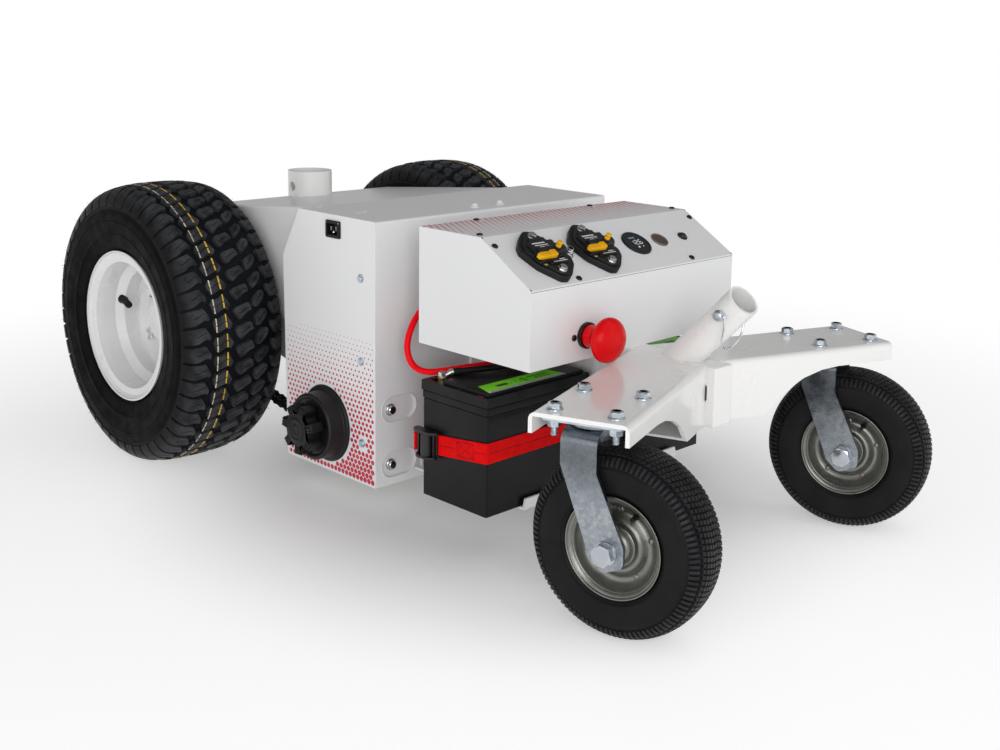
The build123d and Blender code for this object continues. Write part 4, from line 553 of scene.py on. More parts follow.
def rounded(poly, r, seg=3):
    """Rounds the corners of an outline."""
    out = []
    n = len(poly)
    for i in range(n):
        p, a, c = Vector(poly[i]), Vector(poly[i - 1]), Vector(poly[(i + 1) % n])
        da, dc = (a - p), (c - p)
        k = min(r, 0.45 * da.length, 0.45 * dc.length)
        p0, p1 = p + da.normalized() * k, p + dc.normalized() * k
        for j in range(seg + 1):
            t = j / seg
            out.append(tuple(p0 * (1 - t) ** 2 + p * 2 * t * (1 - t) + p1 * t ** 2))
    return out


def prism(b, fr, poly, h0, h1, bevel=0.0, mat=0, top_mat=None, seg=2, bottom=True, dome=0.0):
    """Extrudes an outline from h0 to h1 with rounded upper edges."""
    poly = ccw(poly)
    n = len(poly)
    levels = [(0.0, h0)]
    if bevel > 0:
        for j in range(seg + 1):
            a = math.pi / 2 * j / seg
            levels.append((bevel * (1 - math.cos(a)), h1 - bevel + bevel * math.sin(a)))
    else:
        levels.append((0.0, h1))
    verts = []
    for d, h in levels:
        verts += [fr(x, y, h) for x, y in (inset(poly, d) if d > 0 else poly)]
    faces = []
    for k in range(len(levels) - 1):
        for i in range(n):
            j = (i + 1) % n
            faces.append((k * n + i, k * n + j, (k + 1) * n + j, (k + 1) * n + i))
    base = b.add(verts, faces, mat)
    k = (len(levels) - 1) * n
    b.f.append(tuple(base + k + i for i in range(n)))
    b.m.append(mat if top_mat is None else top_mat)
    if bottom:
        b.f.append(tuple(base + i for i in reversed(range(n))))
        b.m.append(mat)


def ngon(n, r, phase=0.0):
    return [(r * math.cos(phase + 2 * math.pi * i / n), r * math.sin(phase + 2 * math.pi * i / n)) for i in range(n)]


def box2(w, h, x=0.0, y=0.0):
    return [(x - w / 2, y - h / 2), (x + w / 2, y - h / 2), (x + w / 2, y + h / 2), (x - w / 2, y + h / 2)]


def hexagon(b, fr, across, h0, h1, mat=0, turn=0.0, crown=0.9):
    """Hexagon head with the turned chamfer that leaves scallops on its flats."""
    R = across / 2 / math.cos(math.pi / 6)
    n = 36
    h = h1 - h0
    ring0, ring1, ring2 = [], [], []
    for i in range(n):
        a = 2 * math.pi * i / n
        k = (a + math.pi / 6) % (math.pi / 3) - math.pi / 6
        rad = across / 2 / math.cos(k)
        low = crown * (rad - across / 2) / max(1e-6, R - across / 2)
        ring0.append(fr(rad * math.cos(a + turn), rad * math.sin(a + turn), h0))
        ring1.append(fr(rad * math.cos(a + turn), rad * math.sin(a + turn), h1 - 0.25 - low))
        rr = across / 2 * 0.93
        ring2.append(fr(rr * math.cos(a + turn), rr * math.sin(a + turn), h1))
    faces = []
    for i in range(n):
        j = (i + 1) % n
        faces += [(i, j, n + j, n + i), (n + i, n + j, 2 * n + j, 2 * n + i)]
    faces.append(tuple(range(2 * n, 3 * n)))
    faces.append(tuple(reversed(range(n))))
    b.add(ring0 + ring1 + ring2, faces, mat)


def thread(b, fr, r, h0, h1, pitch=1.25, mat=0, n=16):
    prof = [(r, h0)]
    h = h0
    while h + pitch < h1 - 0.6:
        prof += [(r, h + 0.12 * pitch), (r * 0.86, h + 0.5 * pitch), (r, h + 0.88 * pitch)]
        h += pitch
    prof += [(r, h1 - 0.7), (r * 0.84, h1), (0, h1)]
    lathe(b, fr, prof, n, mat)


def sweep(b, pts, r, n=10, mat=0, caps=True, radii=None):
    """Tube along points, in design millimetres."""
    pts = [Vector(p) for p in pts]
    m = len(pts)
    tang = []
    for i in range(m):
        t = pts[min(m - 1, i + 1)] - pts[max(0, i - 1)]
        tang.append(t.normalized())
    up = Vector((0, 0, 1)) if abs(tang[0].z) < 0.9 else Vector((1, 0, 0))
    nrm = tang[0].cross(up).normalized()
    verts = []
    for i in range(m):
        nrm = (nrm - tang[i] * nrm.dot(tang[i])).normalized()
        bi = tang[i].cross(nrm)
        rr = radii[i] if radii else r
        for k in range(n):
            a = 2 * math.pi * k / n
            verts.append(pts[i] + nrm * (rr * math.cos(a)) + bi * (rr * math.sin(a)))
    faces = [(i * n + k, i * n + (k + 1) % n, (i + 1) * n + (k + 1) % n, (i + 1) * n + k)
             for i in range(m - 1) for k in range(n)]
    if caps:
        faces += [tuple(reversed(range(n))), tuple((m - 1) * n + k for k in range(n))]
    b.add(verts, faces, mat)


# ---------------------------------------------------------------- tyre profiles
class Profile:
    """Smooth curve through (offset, radius) points, by distance from the middle of the tread."""

    def __init__(self, pts):
        self.p = [Vector(q) for q in pts]
        self.s = [0.0]
        for a, c in zip(self.p, self.p[1:]):
            self.s.append(self.s[-1] + (c - a).length)
        n = len(self.p)
        self.t = []
        for i in range(n):
            if i == 0:
                self.t.append(Vector((1.0, 0.0)))
            elif i == n - 1:
                self.t.append((self.p[i] - self.p[i - 1]).normalized())
            else:
                self.t.append((self.p[i + 1] - self.p[i - 1]) / (self.s[i + 1] - self.s[i - 1]))

    def at(self, s):
        """Offset, radius and outward normal at signed distance s."""
        g = -1.0 if s < 0 else 1.0
        a = min(abs(s), self.s[-1] - 1e-6)
        i = max(k for k in range(len(self.s) - 1) if self.s[k] <= a)
        h = self.s[i + 1] - self.s[i]
        u = (a - self.s[i]) / h
        p0, p1, m0, m1 = self.p[i], self.p[i + 1], self.t[i] * h, self.t[i + 1] * h
        q = p0 * (2 * u**3 - 3 * u**2 + 1) + m0 * (u**3 - 2 * u**2 + u) + p1 * (-2 * u**3 + 3 * u**2) + m1 * (u**3 - u**2)
        d = p0 * (6 * u**2 - 6 * u) + m0 * (3 * u**2 - 4 * u + 1) + p1 * (-6 * u**2 + 6 * u) + m1 * (3 * u**2 - 2 * u)
        d.normalize()
        return g * q.x, q.y, -d.y * g, d.x


DRIVE_OUT = Profile([(0, 222.5), (25, 222), (50, 219.5), (68, 214.5), (79, 205), (84.5, 188), (86, 168), (84.6, 148),
                     (80.5, 132), (76, 121.6), (72.2, 119.2), (69.2, 112.4), (68.2, 106), (65.5, 102.9)])
DRIVE_IN = [(55.0, 101.8), (58.0, 112.0), (67.0, 128.0), (74.0, 146.0), (76.0, 165.0), (72.0, 182.0), (62.0, 196.0),
            (45.0, 203.0), (0.0, 205.0)]
PITCHES = 48
PITCH = 2 * math.pi * 222.5 / PITCHES


def near(poly, x, y):
    """Distance to a closed outline, and whether the point is inside it."""
    best, inside = 1e9, False
    n = len(poly)
    for i in range(n):
        ax, ay = poly[i - 1]
        bx, by = poly[i]
        dx, dy = bx - ax, by - ay
        L = dx * dx + dy * dy
        t = 0.0 if L == 0 else max(0.0, min(1.0, ((x - ax) * dx + (y - ay) * dy) / L))
        best = min(best, math.hypot(x - ax - t * dx, y - ay - t * dy))
        if (ay > y) != (by > y) and x < (bx - ax) * (y - ay) / (by - ay) + ax:
            inside = not inside
    return best, inside


def blunt(poly, c, step):
    """Cuts the corners of an outline and divides its long runs."""
    pts = []
    n = len(poly)
    for i in range(n):
        p, a, q = Vector(poly[i]), Vector(poly[i - 1]), Vector(poly[(i + 1) % n])
        da, dq = a - p, q - p
        k = min(c, 0.3 * da.length, 0.3 * dq.length)
        pts += [p + da.normalized() * k, p + dq.normalized() * k]
    out = []
    for i in range(len(pts)):
        a, q = pts[i], pts[(i + 1) % len(pts)]
        m = max(1, int((q - a).length / step))
        out += [tuple(a + (q - a) * (j / m)) for j in range(m)]
    return out


LUG = [(-60.5, 35), (-52, 19.4), (-53.2, 11.7), (-59.5, 14.5), (-74, 6.8), (-99, 5.8), (-101, 32), (-73.5, 33)]
BLOCKS = [
    LUG,
    [(-44, 17.6), (-41.5, 14.6), (-26.5, 21.4), (-16, 3.9), (-22.5, -4.9), (-27, -1.2), (-42, -7.6), (-44.5, -6.5), (-50.0, 8.2)],
    [(-8.5, 28.2), (0.5, 30.1), (14.4, 33.6), (17.2, 29.1), (19.6, 19.8), (11, 17.5), (-4.2, 7.4), (-8.5, 12.6), (-12, 23.3)],
    [(23.6, 11.6), (30.5, 15.5), (37.0, 20.6), (45.4, 18.6), (45.6, 11.0), (41.0, 4.0), (33.5, -2.6), (27, -6.8), (21.8, -1.6)],
    [(-x, -y + 41.5) for x, y in LUG],
]
SIPES = [
    [(-78, 19.0), (-72, 19.2), (-59.8, 26.0), (-57.6, 20.6)],
    [(-46.2, 5.4), (-40.5, 2.8), (-29.0, 10.6), (-22.5, 5.0)],
    [(-8.2, 20.0), (-3.0, 17.6), (10.6, 24.6), (14.2, 22.4)],
    [(26.5, 3.0), (29.5, 3.6), (38.5, 13.2), (42.0, 12.6)],
    [(78, 22.5), (72, 22.3), (59.8, 15.5), (57.6, 20.9)],
]


def tread_pitch(blocks, sipes, pitch, edge, depth, ring, step, supports, seed, sipe_depth=2.4, sipe_half=0.5, quarter=4):
    """One pitch of a tread as triangles in (s, t), each vertex with a depth and a kind.

    kinds: 0 floor, 1 wall, 2 top, 3 sipe bottom"""
    rnd = random.Random(seed)
    verts, edges, info = [], [], []

    def loop(pts, ds, kind, closed=True):
        b = len(verts)
        for (x, y), d in zip(pts, ds):
            verts.append(Vector((x, y)))
            info.append((d, kind))
        n = len(pts)
        for i in range(n if closed else n - 1):
            edges.append((b + i, b + (i + 1) % n))
        return b

    outs = [blunt(ccw(p), 1.7, step) for p in blocks]
    span = range(-2, 3)
    for k in span:
        for o in outs:
            sh = [(x, y + k * pitch) for x, y in o]
            r1 = inset(sh, ring[0])
            r2 = inset(sh, ring[1])
            loop(sh, [depth(x) for x, y in sh], 0)
            loop(r1, [0.55 for x, y in r1], 1)
            loop(r2, [0.0 for x, y in r2], 2)
        for sp in sipes:
            sp = [Vector((x, y + k * pitch)) for x, y in sp]
            n = len(sp)
            lft, rgt = [], []
            for i in range(1, n - 1):
                t = (sp[i + 1] - sp[i]).normalized() + (sp[i] - sp[i - 1]).normalized()
                t.normalize()
                nn = Vector((-t.y, t.x)) * sipe_half
                lft.append(tuple(sp[i] + nn))
                rgt.append(tuple(sp[i] - nn))
            a, c = tuple(sp[0]), tuple(sp[-1])
            ring_pts = [a] + lft + [c] + rgt[::-1]
            loop(ring_pts, [0.0] * len(ring_pts), 2)
            mid = [tuple(sp[0] + (sp[1] - sp[0]) * 0.25)] + [tuple(p) for p in sp[1:-1]] + [tuple(sp[-1] + (sp[-2] - sp[-1]) * 0.25)]
            loop(mid, [sipe_depth] * len(mid), 3, closed=False)
        for g in (-edge, edge):
            pts = [(g, (k * quarter + j) * pitch / quarter) for j in range(quarter)]
            loop(pts, [depth(g)] * quarter, 0, closed=False)
    m = int(2 * edge / supports)
    mt = max(2, round(pitch / supports))
    base = []
    for i in range(1, m):
        for j in range(mt):
            x = -edge + 2 * edge * i / m + rnd.uniform(-1.0, 1.0)
            y = pitch * (j + 0.5 * (i % 2)) / mt + rnd.uniform(-1.0, 1.0)
            y %= pitch
            ok, ins = True, False
            for o in outs:
                for k in (-2, -1, 0, 1, 2):
                    d, inn = near([(a, c + k * pitch) for a, c in o], x, y)
                    if d < 1.9:
                        ok = False
                    if inn:
                        ins = True
            for sp in sipes:
                for k in (-2, -1, 0, 1, 2):
                    for (ax, ay), (bx, by) in zip(sp, sp[1:]):
                        d, _ = near([(ax, ay + k * pitch), (bx, by + k * pitch)], x, y)
                        if d < 1.3:
                            ok = False
            if ok:
                base.append((x, y, ins))
    for k in span:
        for x, y, ins in base:
            verts.append(Vector((x, y + k * pitch)))
            info.append((0.0, 2) if ins else (depth(x), 0))
    vo, eo, fo, ov, oe, of = delaunay_2d_cdt(verts, edges, [], 0, 1e-5)
    data = []
    for i, v in enumerate(vo):
        if ov[i]:
            data.append(info[ov[i][0]])
        else:
            data.append((depth(v.x), 0))
    keys, tri = {}, []
    pos = []

    def key(i):
        v = vo[i]
        n = math.floor(v.y / pitch + 1e-4)
        y = v.y - n * pitch
        kk = (round(v.x, 2), round(y, 2))
        if kk not in keys:
            keys[kk] = len(pos)
            pos.append((v.x, y, data[i][0], data[i][1]))
        return keys[kk], n

    seen = set()
    for f in fo:
        c = sum(vo[i].y for i in f) / len(f)
        if not (-1.2 * pitch < c < 1.2 * pitch):
            continue
        if max(abs(vo[i].x) for i in f) > edge + 0.01:
            continue
        ids = [key(i) for i in f]
        low = min(n for _, n in ids)
        ids = tuple((i, n - low) for i, n in ids)
        r = ids.index(min(ids))
        ids = ids[r:] + ids[:r]
        if low == 0 and ids not in seen:
            seen.add(ids)
            kinds = [data[i][1] for i in f]
            tri.append((ids, 1 if all(q == 0 for q in kinds) or 3 in kinds else 0))
    return pos, tri


def groove_depth(s):
    a = abs(s)
    if a < 56:
        return 6.5
    if a > 104:
        return 1.6
    u = (a - 56) / 48
    return 6.5 + (1.6 - 6.5) * u * u * (3 - 2 * u)


def drive_tyre(side, body, node):
    pos, tri = DRIVE_TREAD
    b = Build()
    cx = side * 290.0

    def place(s, t, d):
        o, r, no, nr = DRIVE_OUT.at(s)
        o, r = o - no * d, r - nr * d
        th = t / 222.5
        x, y = o, -r * math.cos(th)
        if side > 0:
            x, y = -x, -y
        return (cx + x, 468.5 + y, 222.5 + r * math.sin(th))

    n = len(pos)
    for k in range(PITCHES):
        b.v += [place(s, t + k * PITCH, d) for s, t, d, _ in pos]
    for k in range(PITCHES):
        for ids, mat in tri:
            b.f.append(tuple(((k + q) % PITCHES) * n + i for i, q in ids))
            b.m.append(mat)
    # sidewalls
    rows = 4 * PITCHES
    outer = [(104.0, 1.6), (106.5, 1.5), (109.0, 0.9), (112.0, 0.5), (116.0, 0.15), (119.5, 0.0), (120.2, 0.5), (121.8, 0.5), (122.5, 0.0),
             (126.0, 0.1), (131.0, 0.5), (137.0, 0.8), (143.0, 0.8), (143.8, 0.3), (146.0, 0.3), (146.8, 0.9), (150.5, 0.9), (156.0, 0.6),
             (160.0, 0.3), (163.0, 0.0), (165.2, 0.0), (167.0, 0.6), (168.5, 0.0), (171.5, 0.0), (176.0, 0.0), (181.0, 0.0)]
    smax = DRIVE_OUT.s[-1]
    outer = [(s, d) for s, d in outer if s < smax - 1.0] + [(smax - 0.01, 0.0)]
    for g in (-1, 1):
        rings = []
        for s, d in outer:
            rings.append([place(g * s, PITCH / 4 * i, d) for i in range(rows)])
        rings += [[place_in(side, cx, g * o, r, PITCH / 4 * i / 222.5) for i in range(rows)] for o, r in DRIVE_IN]
        base = len(b.v)
        for ring in rings:
            b.v += ring
        for k in range(len(rings) - 1):
            for i in range(rows):
                j = (i + 1) % rows
                b.f.append((base + k * rows + i, base + k * rows + j, base + (k + 1) * rows + j, base + (k + 1) * rows + i))
                b.m.append(2)
    # fine moulding whiskers on both shoulders
    rnd = random.Random(40 + side)
    for i in range(230):
        g = rnd.choice((-1, 1))
        s = g * rnd.uniform(60, 101)
        t = rnd.uniform(0, PITCH * PITCHES)
        o, r, no, nr = DRIVE_OUT.at(s)
        L = rnd.uniform(3.0, 7.5)
        L = min(L, (222.3 - r) / max(0.15, nr), (85.8 - abs(o)) / max(0.15, abs(no)))
        if L < 1.6:
            continue
        a, c = Vector(place(s, t, 0.6)), Vector(place(s, t + rnd.uniform(-1.6, 1.6), -L))
        u = (c - a).normalized()
        e = u.orthogonal().normalized() * 0.32
        f = u.cross(e)
        base = b.add([a + e, a - e * 0.5 + f * 0.87, a - e * 0.5 - f * 0.87, c], [], 0)
        for q in ((0, 1, 3), (1, 2, 3), (2, 0, 3), (2, 1, 0)):
            b.f.append(tuple(base + z for z in q))
            b.m.append(2)
    ob = b.make(node + "_turf", ["tread", "groove", "sidewall"], body, (node,), angle=32, recalc=False)
    me = ob.data
    bm = bmesh.new()
    bm.from_mesh(me)
    bmesh.ops.remove_doubles(bm, verts=bm.verts, dist=2e-5)
    bmesh.ops.recalc_face_normals(bm, faces=bm.faces)
    OPEN[node] = sum(1 for e in bm.edges if len(e.link_faces) != 2)
    bm.to_mesh(me)
    bm.free()
    me.set_sharp_from_angle(angle=math.radians(32))
    # painted marking lines, dashed along the rib
    p = Build()
    rnd = random.Random(5)
    for s0, mat, spans in ((-43.6, 0, ((-6.2, 3.6), (4.6, 15.8))), (-27.6, 1, ((-0.2, 8.6), (9.8, 20.4)))):
        for k in range(PITCHES):
            for t0, t1 in spans:
                t0, t1 = t0 + rnd.uniform(-0.4, 0.6), t1 + rnd.uniform(-0.7, 0.3)
                w = rnd.uniform(0.75, 1.05) * (1.0 if mat == 0 else 1.25)
                c = s0 + rnd.uniform(-0.15, 0.15)
                m = 3
                vs = []
                for i in range(m + 1):
                    t = t0 + (t1 - t0) * i / m + k * PITCH
                    vs += [place(c - w, t, 0.15), place(c - w * 0.85, t, -0.22), place(c + w * 0.85, t, -0.22), place(c + w, t, 0.15)]
                fs = []
                for i in range(m):
                    for q in range(4):
                        z = (q + 1) % 4
                        fs.append((i * 4 + q, i * 4 + z, (i + 1) * 4 + z, (i + 1) * 4 + q))
                fs += [(3, 2, 1, 0), (m * 4, m * 4 + 1, m * 4 + 2, m * 4 + 3)]
                p.add(vs, fs, mat)
    p.make(node + "_lines", ["cream", "yellow_line"], body, ())
    # snap-in valve with its cap
    v = Build()
    d = side
    va = math.radians(15.0)
    vz = Vector((d * 0.10, -math.cos(va), -math.sin(va))).normalized()
    vx = Vector((0, -math.sin(va), math.cos(va)))
    fr = Frame((side * 320.5, 468.5 + 90.0 * math.cos(va), 222.5 + 90.0 * math.sin(va)), tuple(vx), tuple(vz.cross(vx)), tuple(vz))
    lathe(v, fr, [(0, -3), (7.0, -3), (8.2, -1.0), (8.3, 1.4), (7.2, 3.4), (6.2, 5.6), (5.6, 9.0), (5.3, 13.0), (4.4, 13.8), (4.3, 14.6),
                  (5.1, 15.0), (5.3, 15.8), (5.3, 25.4), (4.6, 27.0), (0, 27.6)], 28)
    for i in range(18):
        a = 2 * math.pi * i / 18
        f2 = fr.at(5.2 * math.cos(a), 5.2 * math.sin(a), 0, a)
        prism(v, f2, box2(0.7, 0.5), 16.2, 25.0, 0)
    v.make(node + "_valve", ["rubber"], body, ())


def place_in(side, cx, o, r, th):
    x, y = o, -r * math.cos(th)
    if side > 0:
        x, y = -x, -y
    return (cx + x, 468.5 + y, 222.5 + r * math.sin(th))


OPEN = {}
DRIVE_TREAD = tread_pitch(BLOCKS, SIPES, PITCH, 104.0, groove_depth, (0.65, 1.25), 4.2, 6.2, 3)
drive_tyre(-1, "axle_assembly", "drive_tyre_left")
drive_tyre(1, "axle_assembly", "drive_tyre_right")
print("open edges", OPEN, "tris per pitch", len(DRIVE_TREAD[1]))


# ---------------------------------------------------------------- casters
CASTER = {"left": (-1, 13.2), "right": (1, 19.0)}
SWIVEL_X = 262.0 * math.cos(math.radians(20))
SWIVEL_Y = -333.0 - 262.0 * math.sin(math.radians(20))


def caster_frame(which):
    """z along the axle (inboard side of the left one is +), x forwards along the rolling direction, y up."""
    sgn, yaw = CASTER[which]
    t = math.radians(yaw)
    axle, roll = (math.cos(t), math.sin(t), 0), (math.sin(t), -math.cos(t), 0)
    c = (sgn * SWIVEL_X + 38.5 * roll[0], SWIVEL_Y + 38.5 * roll[1], 114.0)
    # x, y, z right handed: roll x up = -axle side, so x is the rear direction
    return Frame(c, (-roll[0], -roll[1], 0), (0, 0, 1), axle)


CASTER_OUT = Profile([(0, 114), (18, 112.5), (29, 108), (35, 101), (37.8, 92), (38, 80), (36, 68), (32.4, 63), (30.2, 60.8),
                      (28.4, 56.2), (26.3, 54.4)])
CASTER_IN = [(23, 53), (24, 60), (29, 68), (31, 82), (28, 94), (18, 100.5), (0, 102)]
C_PITCHES = 100
# rows of half the tread: distance, depth, kind (0 plain, 1 cut into blocks, 2 zigzag edge), shift of the pattern
C_ROWS = [
    (0.0, 0.0, 1, 0.0), (2.6, 0.0, 1, 0.2), (3.0, 2.0, 0, 0.2), (4.0, 2.0, 0, 0.25), (4.4, 0.0, 1, 0.25), (8.6, 0.0, 1, 0.6),
    (9.0, 2.2, 0, 0.6), (10.0, 2.2, 0, 0.65), (10.4, 0.0, 1, 0.65), (14.6, 0.0, 1, 1.0), (15.0, 2.2, 0, 1.0), (16.0, 2.2, 0, 1.05),
    (16.4, 0.0, 1, 1.05), (20.6, 0.0, 1, 1.4), (21.0, 2.0, 0, 1.4), (22.0, 2.0, 0, 1.45), (22.4, 0.1, 1, 1.45), (26.4, 0.3, 1, 1.8),
    (27.0, 2.4, 0, 1.8), (28.6, 2.4, 0, 1.8), (30.4, 2.2, 0, 1.8), (31.2, 0.5, 3, 1.8), (33.5, 0.0, 3, 1.8), (36.0, 0.0, 3, 1.8),
    (39.0, 0.0, 3, 1.8), (42.0, 0.0, 3, 1.8), (43.6, 0.0, 3, 1.8), (44.2, 1.7, 0, 1.8), (46.0, 1.4, 0, 1.8), (47.2, 0.7, 0, 1.8),
    (48.4, 0.5, 0, 1.8), (50.0, 0.6, 0, 1.8), (56.0, 0.7, 0, 1.8), (62.0, 0.6, 0, 1.8), (68.0, 0.4, 0, 1.8), (71.5, 0.2, 0, 1.8),
    (72.6, 0.0, 0, 1.8), (74.0, 0.0, 0, 1.8), (74.8, 0.5, 0, 1.8), (77.0, 0.3, 0, 1.8), (79.0, 0.0, 0, 1.8), (81.0, 0.0, 0, 1.8),
    (82.6, 0.3, 0, 1.8), (86.0, 0.0, 0, 1.8), (89.6, 0.0, 0, 1.8),
]
C_PHASE = (0.0, 0.09, 0.36, 0.63, 0.72, 0.86)


def caster_tyre(which):
    fr = caster_frame(which)
    b = Build()
    cols = len(C_PHASE) * C_PITCHES
    rows = [(-s, d, k, sh) for s, d, k, sh in reversed(C_ROWS[1:])] + C_ROWS
    mats = []
    verts = []
    for s, d, kind, sh in rows:
        zig = 1.5 if abs(s) < 27 and abs(s) > 1 else 0.0
        for p in range(C_PITCHES):
            for q, ph in enumerate(C_PHASE):
                dd = d
                if kind == 1 and q in (4, 5):
                    dd = d + 1.25
                if kind == 3 and q in (0, 4, 5):
                    dd = d + 1.9
                tri = 1 - abs(2 * ((ph * 1.0) % 1.0) - 1)
                ss = s + (zig * (tri - 0.5) if abs(s) > 1 else 0.0) * (1 if s > 0 else -1)
                o, r, no, nr = CASTER_OUT.at(ss)
                o, r = o - no * dd, r - nr * dd
                th = 2 * math.pi * (p + ph + (sh if s >= 0 else -sh + 0.5) * 0.55) / C_PITCHES
                verts.append(fr(r * math.cos(th), r * math.sin(th), o))
        mats.append(s)
    base = b.add(verts, [])
    for i in range(len(rows) - 1):
        deep = rows[i][1] > 1.5 and rows[i + 1][1] > 1.5
        side = abs(rows[i][0]) > 45 or abs(rows[i + 1][0]) > 45
        for j in range(cols):
            k = (j + 1) % cols
            b.f.append((base + i * cols + j, base + i * cols + k, base + (i + 1) * cols + k, base + (i + 1) * cols + j))
            q = j % len(C_PHASE)
            cut = rows[i][2] in (1, 3) and q in (4, 5)
            b.m.append(2 if side else (1 if deep or cut else 0))
    # inner surface, every sixth column
    n = C_PITCHES
    ring = []
    for o, r in CASTER_IN + [(-o, r) for o, r in CASTER_IN[-2::-1]]:
        ring.append([fr(r * math.cos(2 * math.pi * i / n), r * math.sin(2 * math.pi * i / n), o) for i in range(n)])
    base = b.add([p for r in ring for p in r], [])
    for i in range(len(ring) - 1):
        for j in range(n):
            k = (j + 1) % n
            b.f.append((base + i * n + j, base + i * n + k, base + (i + 1) * n + k, base + (i + 1) * n + j))
            b.m.append(2)
    node = "caster_%s_tyre" % which
    b.make(node + "_ribbed", ["caster_tread", "groove", "caster_side"], which + "_caster_wheel", (node,), angle=30)
    # bead to inner surface is closed by the rim's seat, as on a real tyre


def smooth_profile(pts, seg=5):
    out = []
    n = len(pts)
    P = [Vector(p) for p in pts]
    for i in range(n - 1):
        p0, p1 = P[i], P[i + 1]
        a = P[i - 1] if i > 0 else p0 - (p1 - p0)
        c = P[i + 2] if i + 2 < n else p1 + (p1 - p0)
        for j in range(seg):
            u = j / seg
            q = 0.5 * ((2 * p0) + (p1 - a) * u + (2 * a - 5 * p0 + 4 * p1 - c) * u * u + (3 * p0 - a - 3 * p1 + c) * u ** 3)
            out.append((q.x, q.y))
    out.append(tuple(P[-1]))
    return out


def caster_rim(which):
    fr = caster_frame(which)
    b = Build()
    # (radius, height) of one pressed half: rolled lip, stepped dish, raised ring, hub flare
    half = smooth_profile([(58.6, 32.4), (59.6, 34.2), (61.0, 34.4), (61.3, 33.2), (60.4, 31.9), (58.2, 31.2), (56.6, 30.4), (55.6, 28.9),
                           (54.4, 28.3), (53.2, 27.6), (51.8, 25.0), (49.0, 20.8), (45.5, 17.6), (42.0, 16.3), (38.8, 16.9), (35.8, 19.6),
                           (33.0, 22.8), (30.4, 24.6), (27.4, 24.6), (25.2, 23.2), (23.4, 22.9), (21.6, 24.8), (19.4, 28.6), (16.8, 31.0),
                           (13.8, 32.6), (12.7, 34.6), (12.5, 37.6), (11.9, 38.7), (10.2, 39.0), (8.3, 38.9)], 4)
    back = [(8.3, 30.0), (10.2, 29.4), (11.5, 27.0), (15.5, 22.0), (19.0, 20.5), (25.0, 19.8), (32.0, 17.5), (38.5, 13.5), (45.5, 14.5),
            (51.6, 21.0), (52.6, 26.6), (54.4, 29.2), (56.8, 31.8)]
    for g in (1, -1):
        prof = [(r, g * h) for r, h in half + back]
        prof.append(prof[0])
        lathe(b, fr, prof, 72)
    # well between the beads, and the hub sleeve
    lathe(b, fr, smooth_profile([(58.9, -33.0), (57.0, -30.2), (54.4, -29.0), (52.0, -22.0), (49.6, -10.0), (49.2, 0.0), (49.6, 10.0),
                                 (52.0, 22.0), (54.4, 29.0), (57.0, 30.2), (58.9, 33.0)], 3)
          + smooth_profile([(58.9, 33.0), (55.6, 29.6), (53.0, 28.0), (50.6, 22.0), (48.0, 10.0), (47.6, 0.0), (48.0, -10.0), (50.6, -22.0),
                            (53.0, -28.0), (55.6, -29.6), (58.9, -33.0)], 3)[1:], 72)
    lathe(b, fr, [(10.6, -30.5), (10.6, 30.5), (8.06, 30.5), (8.06, -30.5), (10.6, -30.5)], 32)
    # rivets that hold the halves
    for k in range(5):
        a = 2 * math.pi * k / 5 + 0.35
        for g in (1, -1):
            f2 = Frame(fr(42.0 * math.cos(a), 42.0 * math.sin(a), g * 16.2), fr.ex, fr.ey * g, fr.ez * g)
            lathe(b, f2, [(0, -1), (3.6, -1), (3.6, 0.4), (3.2, 1.1), (2.2, 1.6), (0, 1.8)], 18)
    node = "caster_%s_rim" % which
    b.make(node + "_pressed", ["rim_steel"], which + "_caster_wheel", (node,), angle=50)
    # grease nipple beside the hub and tyre valve in the dish
    v = Build()
    for g in (-1,):
        a = math.radians(-58)
        f2 = Frame(fr(20.5 * math.cos(a), 20.5 * math.sin(a), g * 24.0), fr.ex, fr.ey * g, fr.ez * g)
        hexagon(v, f2, 6.4, -1.5, 3.6)
        lathe(v, f2, [(0, 3.4), (2.2, 3.4), (2.2, 5.0), (1.4, 6.2), (1.3, 7.2), (1.9, 8.0), (1.9, 8.8), (1.2, 9.8), (0, 10.0)], 16)
        a = math.radians(120)
        f3 = Frame(fr(43.0 * math.cos(a), 43.0 * math.sin(a), g * 15.0), fr.ex, fr.ey * g, fr.ez * g)
        lathe(v, f3, [(0, 0), (4.4, 0), (4.4, 1.6), (3.1, 2.4), (2.8, 8.0), (2.5, 8.6), (2.5, 14.0), (0, 14.4)], 18, mat=1)
    v.make(node + "_fittings", ["chrome", "rubber"], which + "_caster_wheel", ())


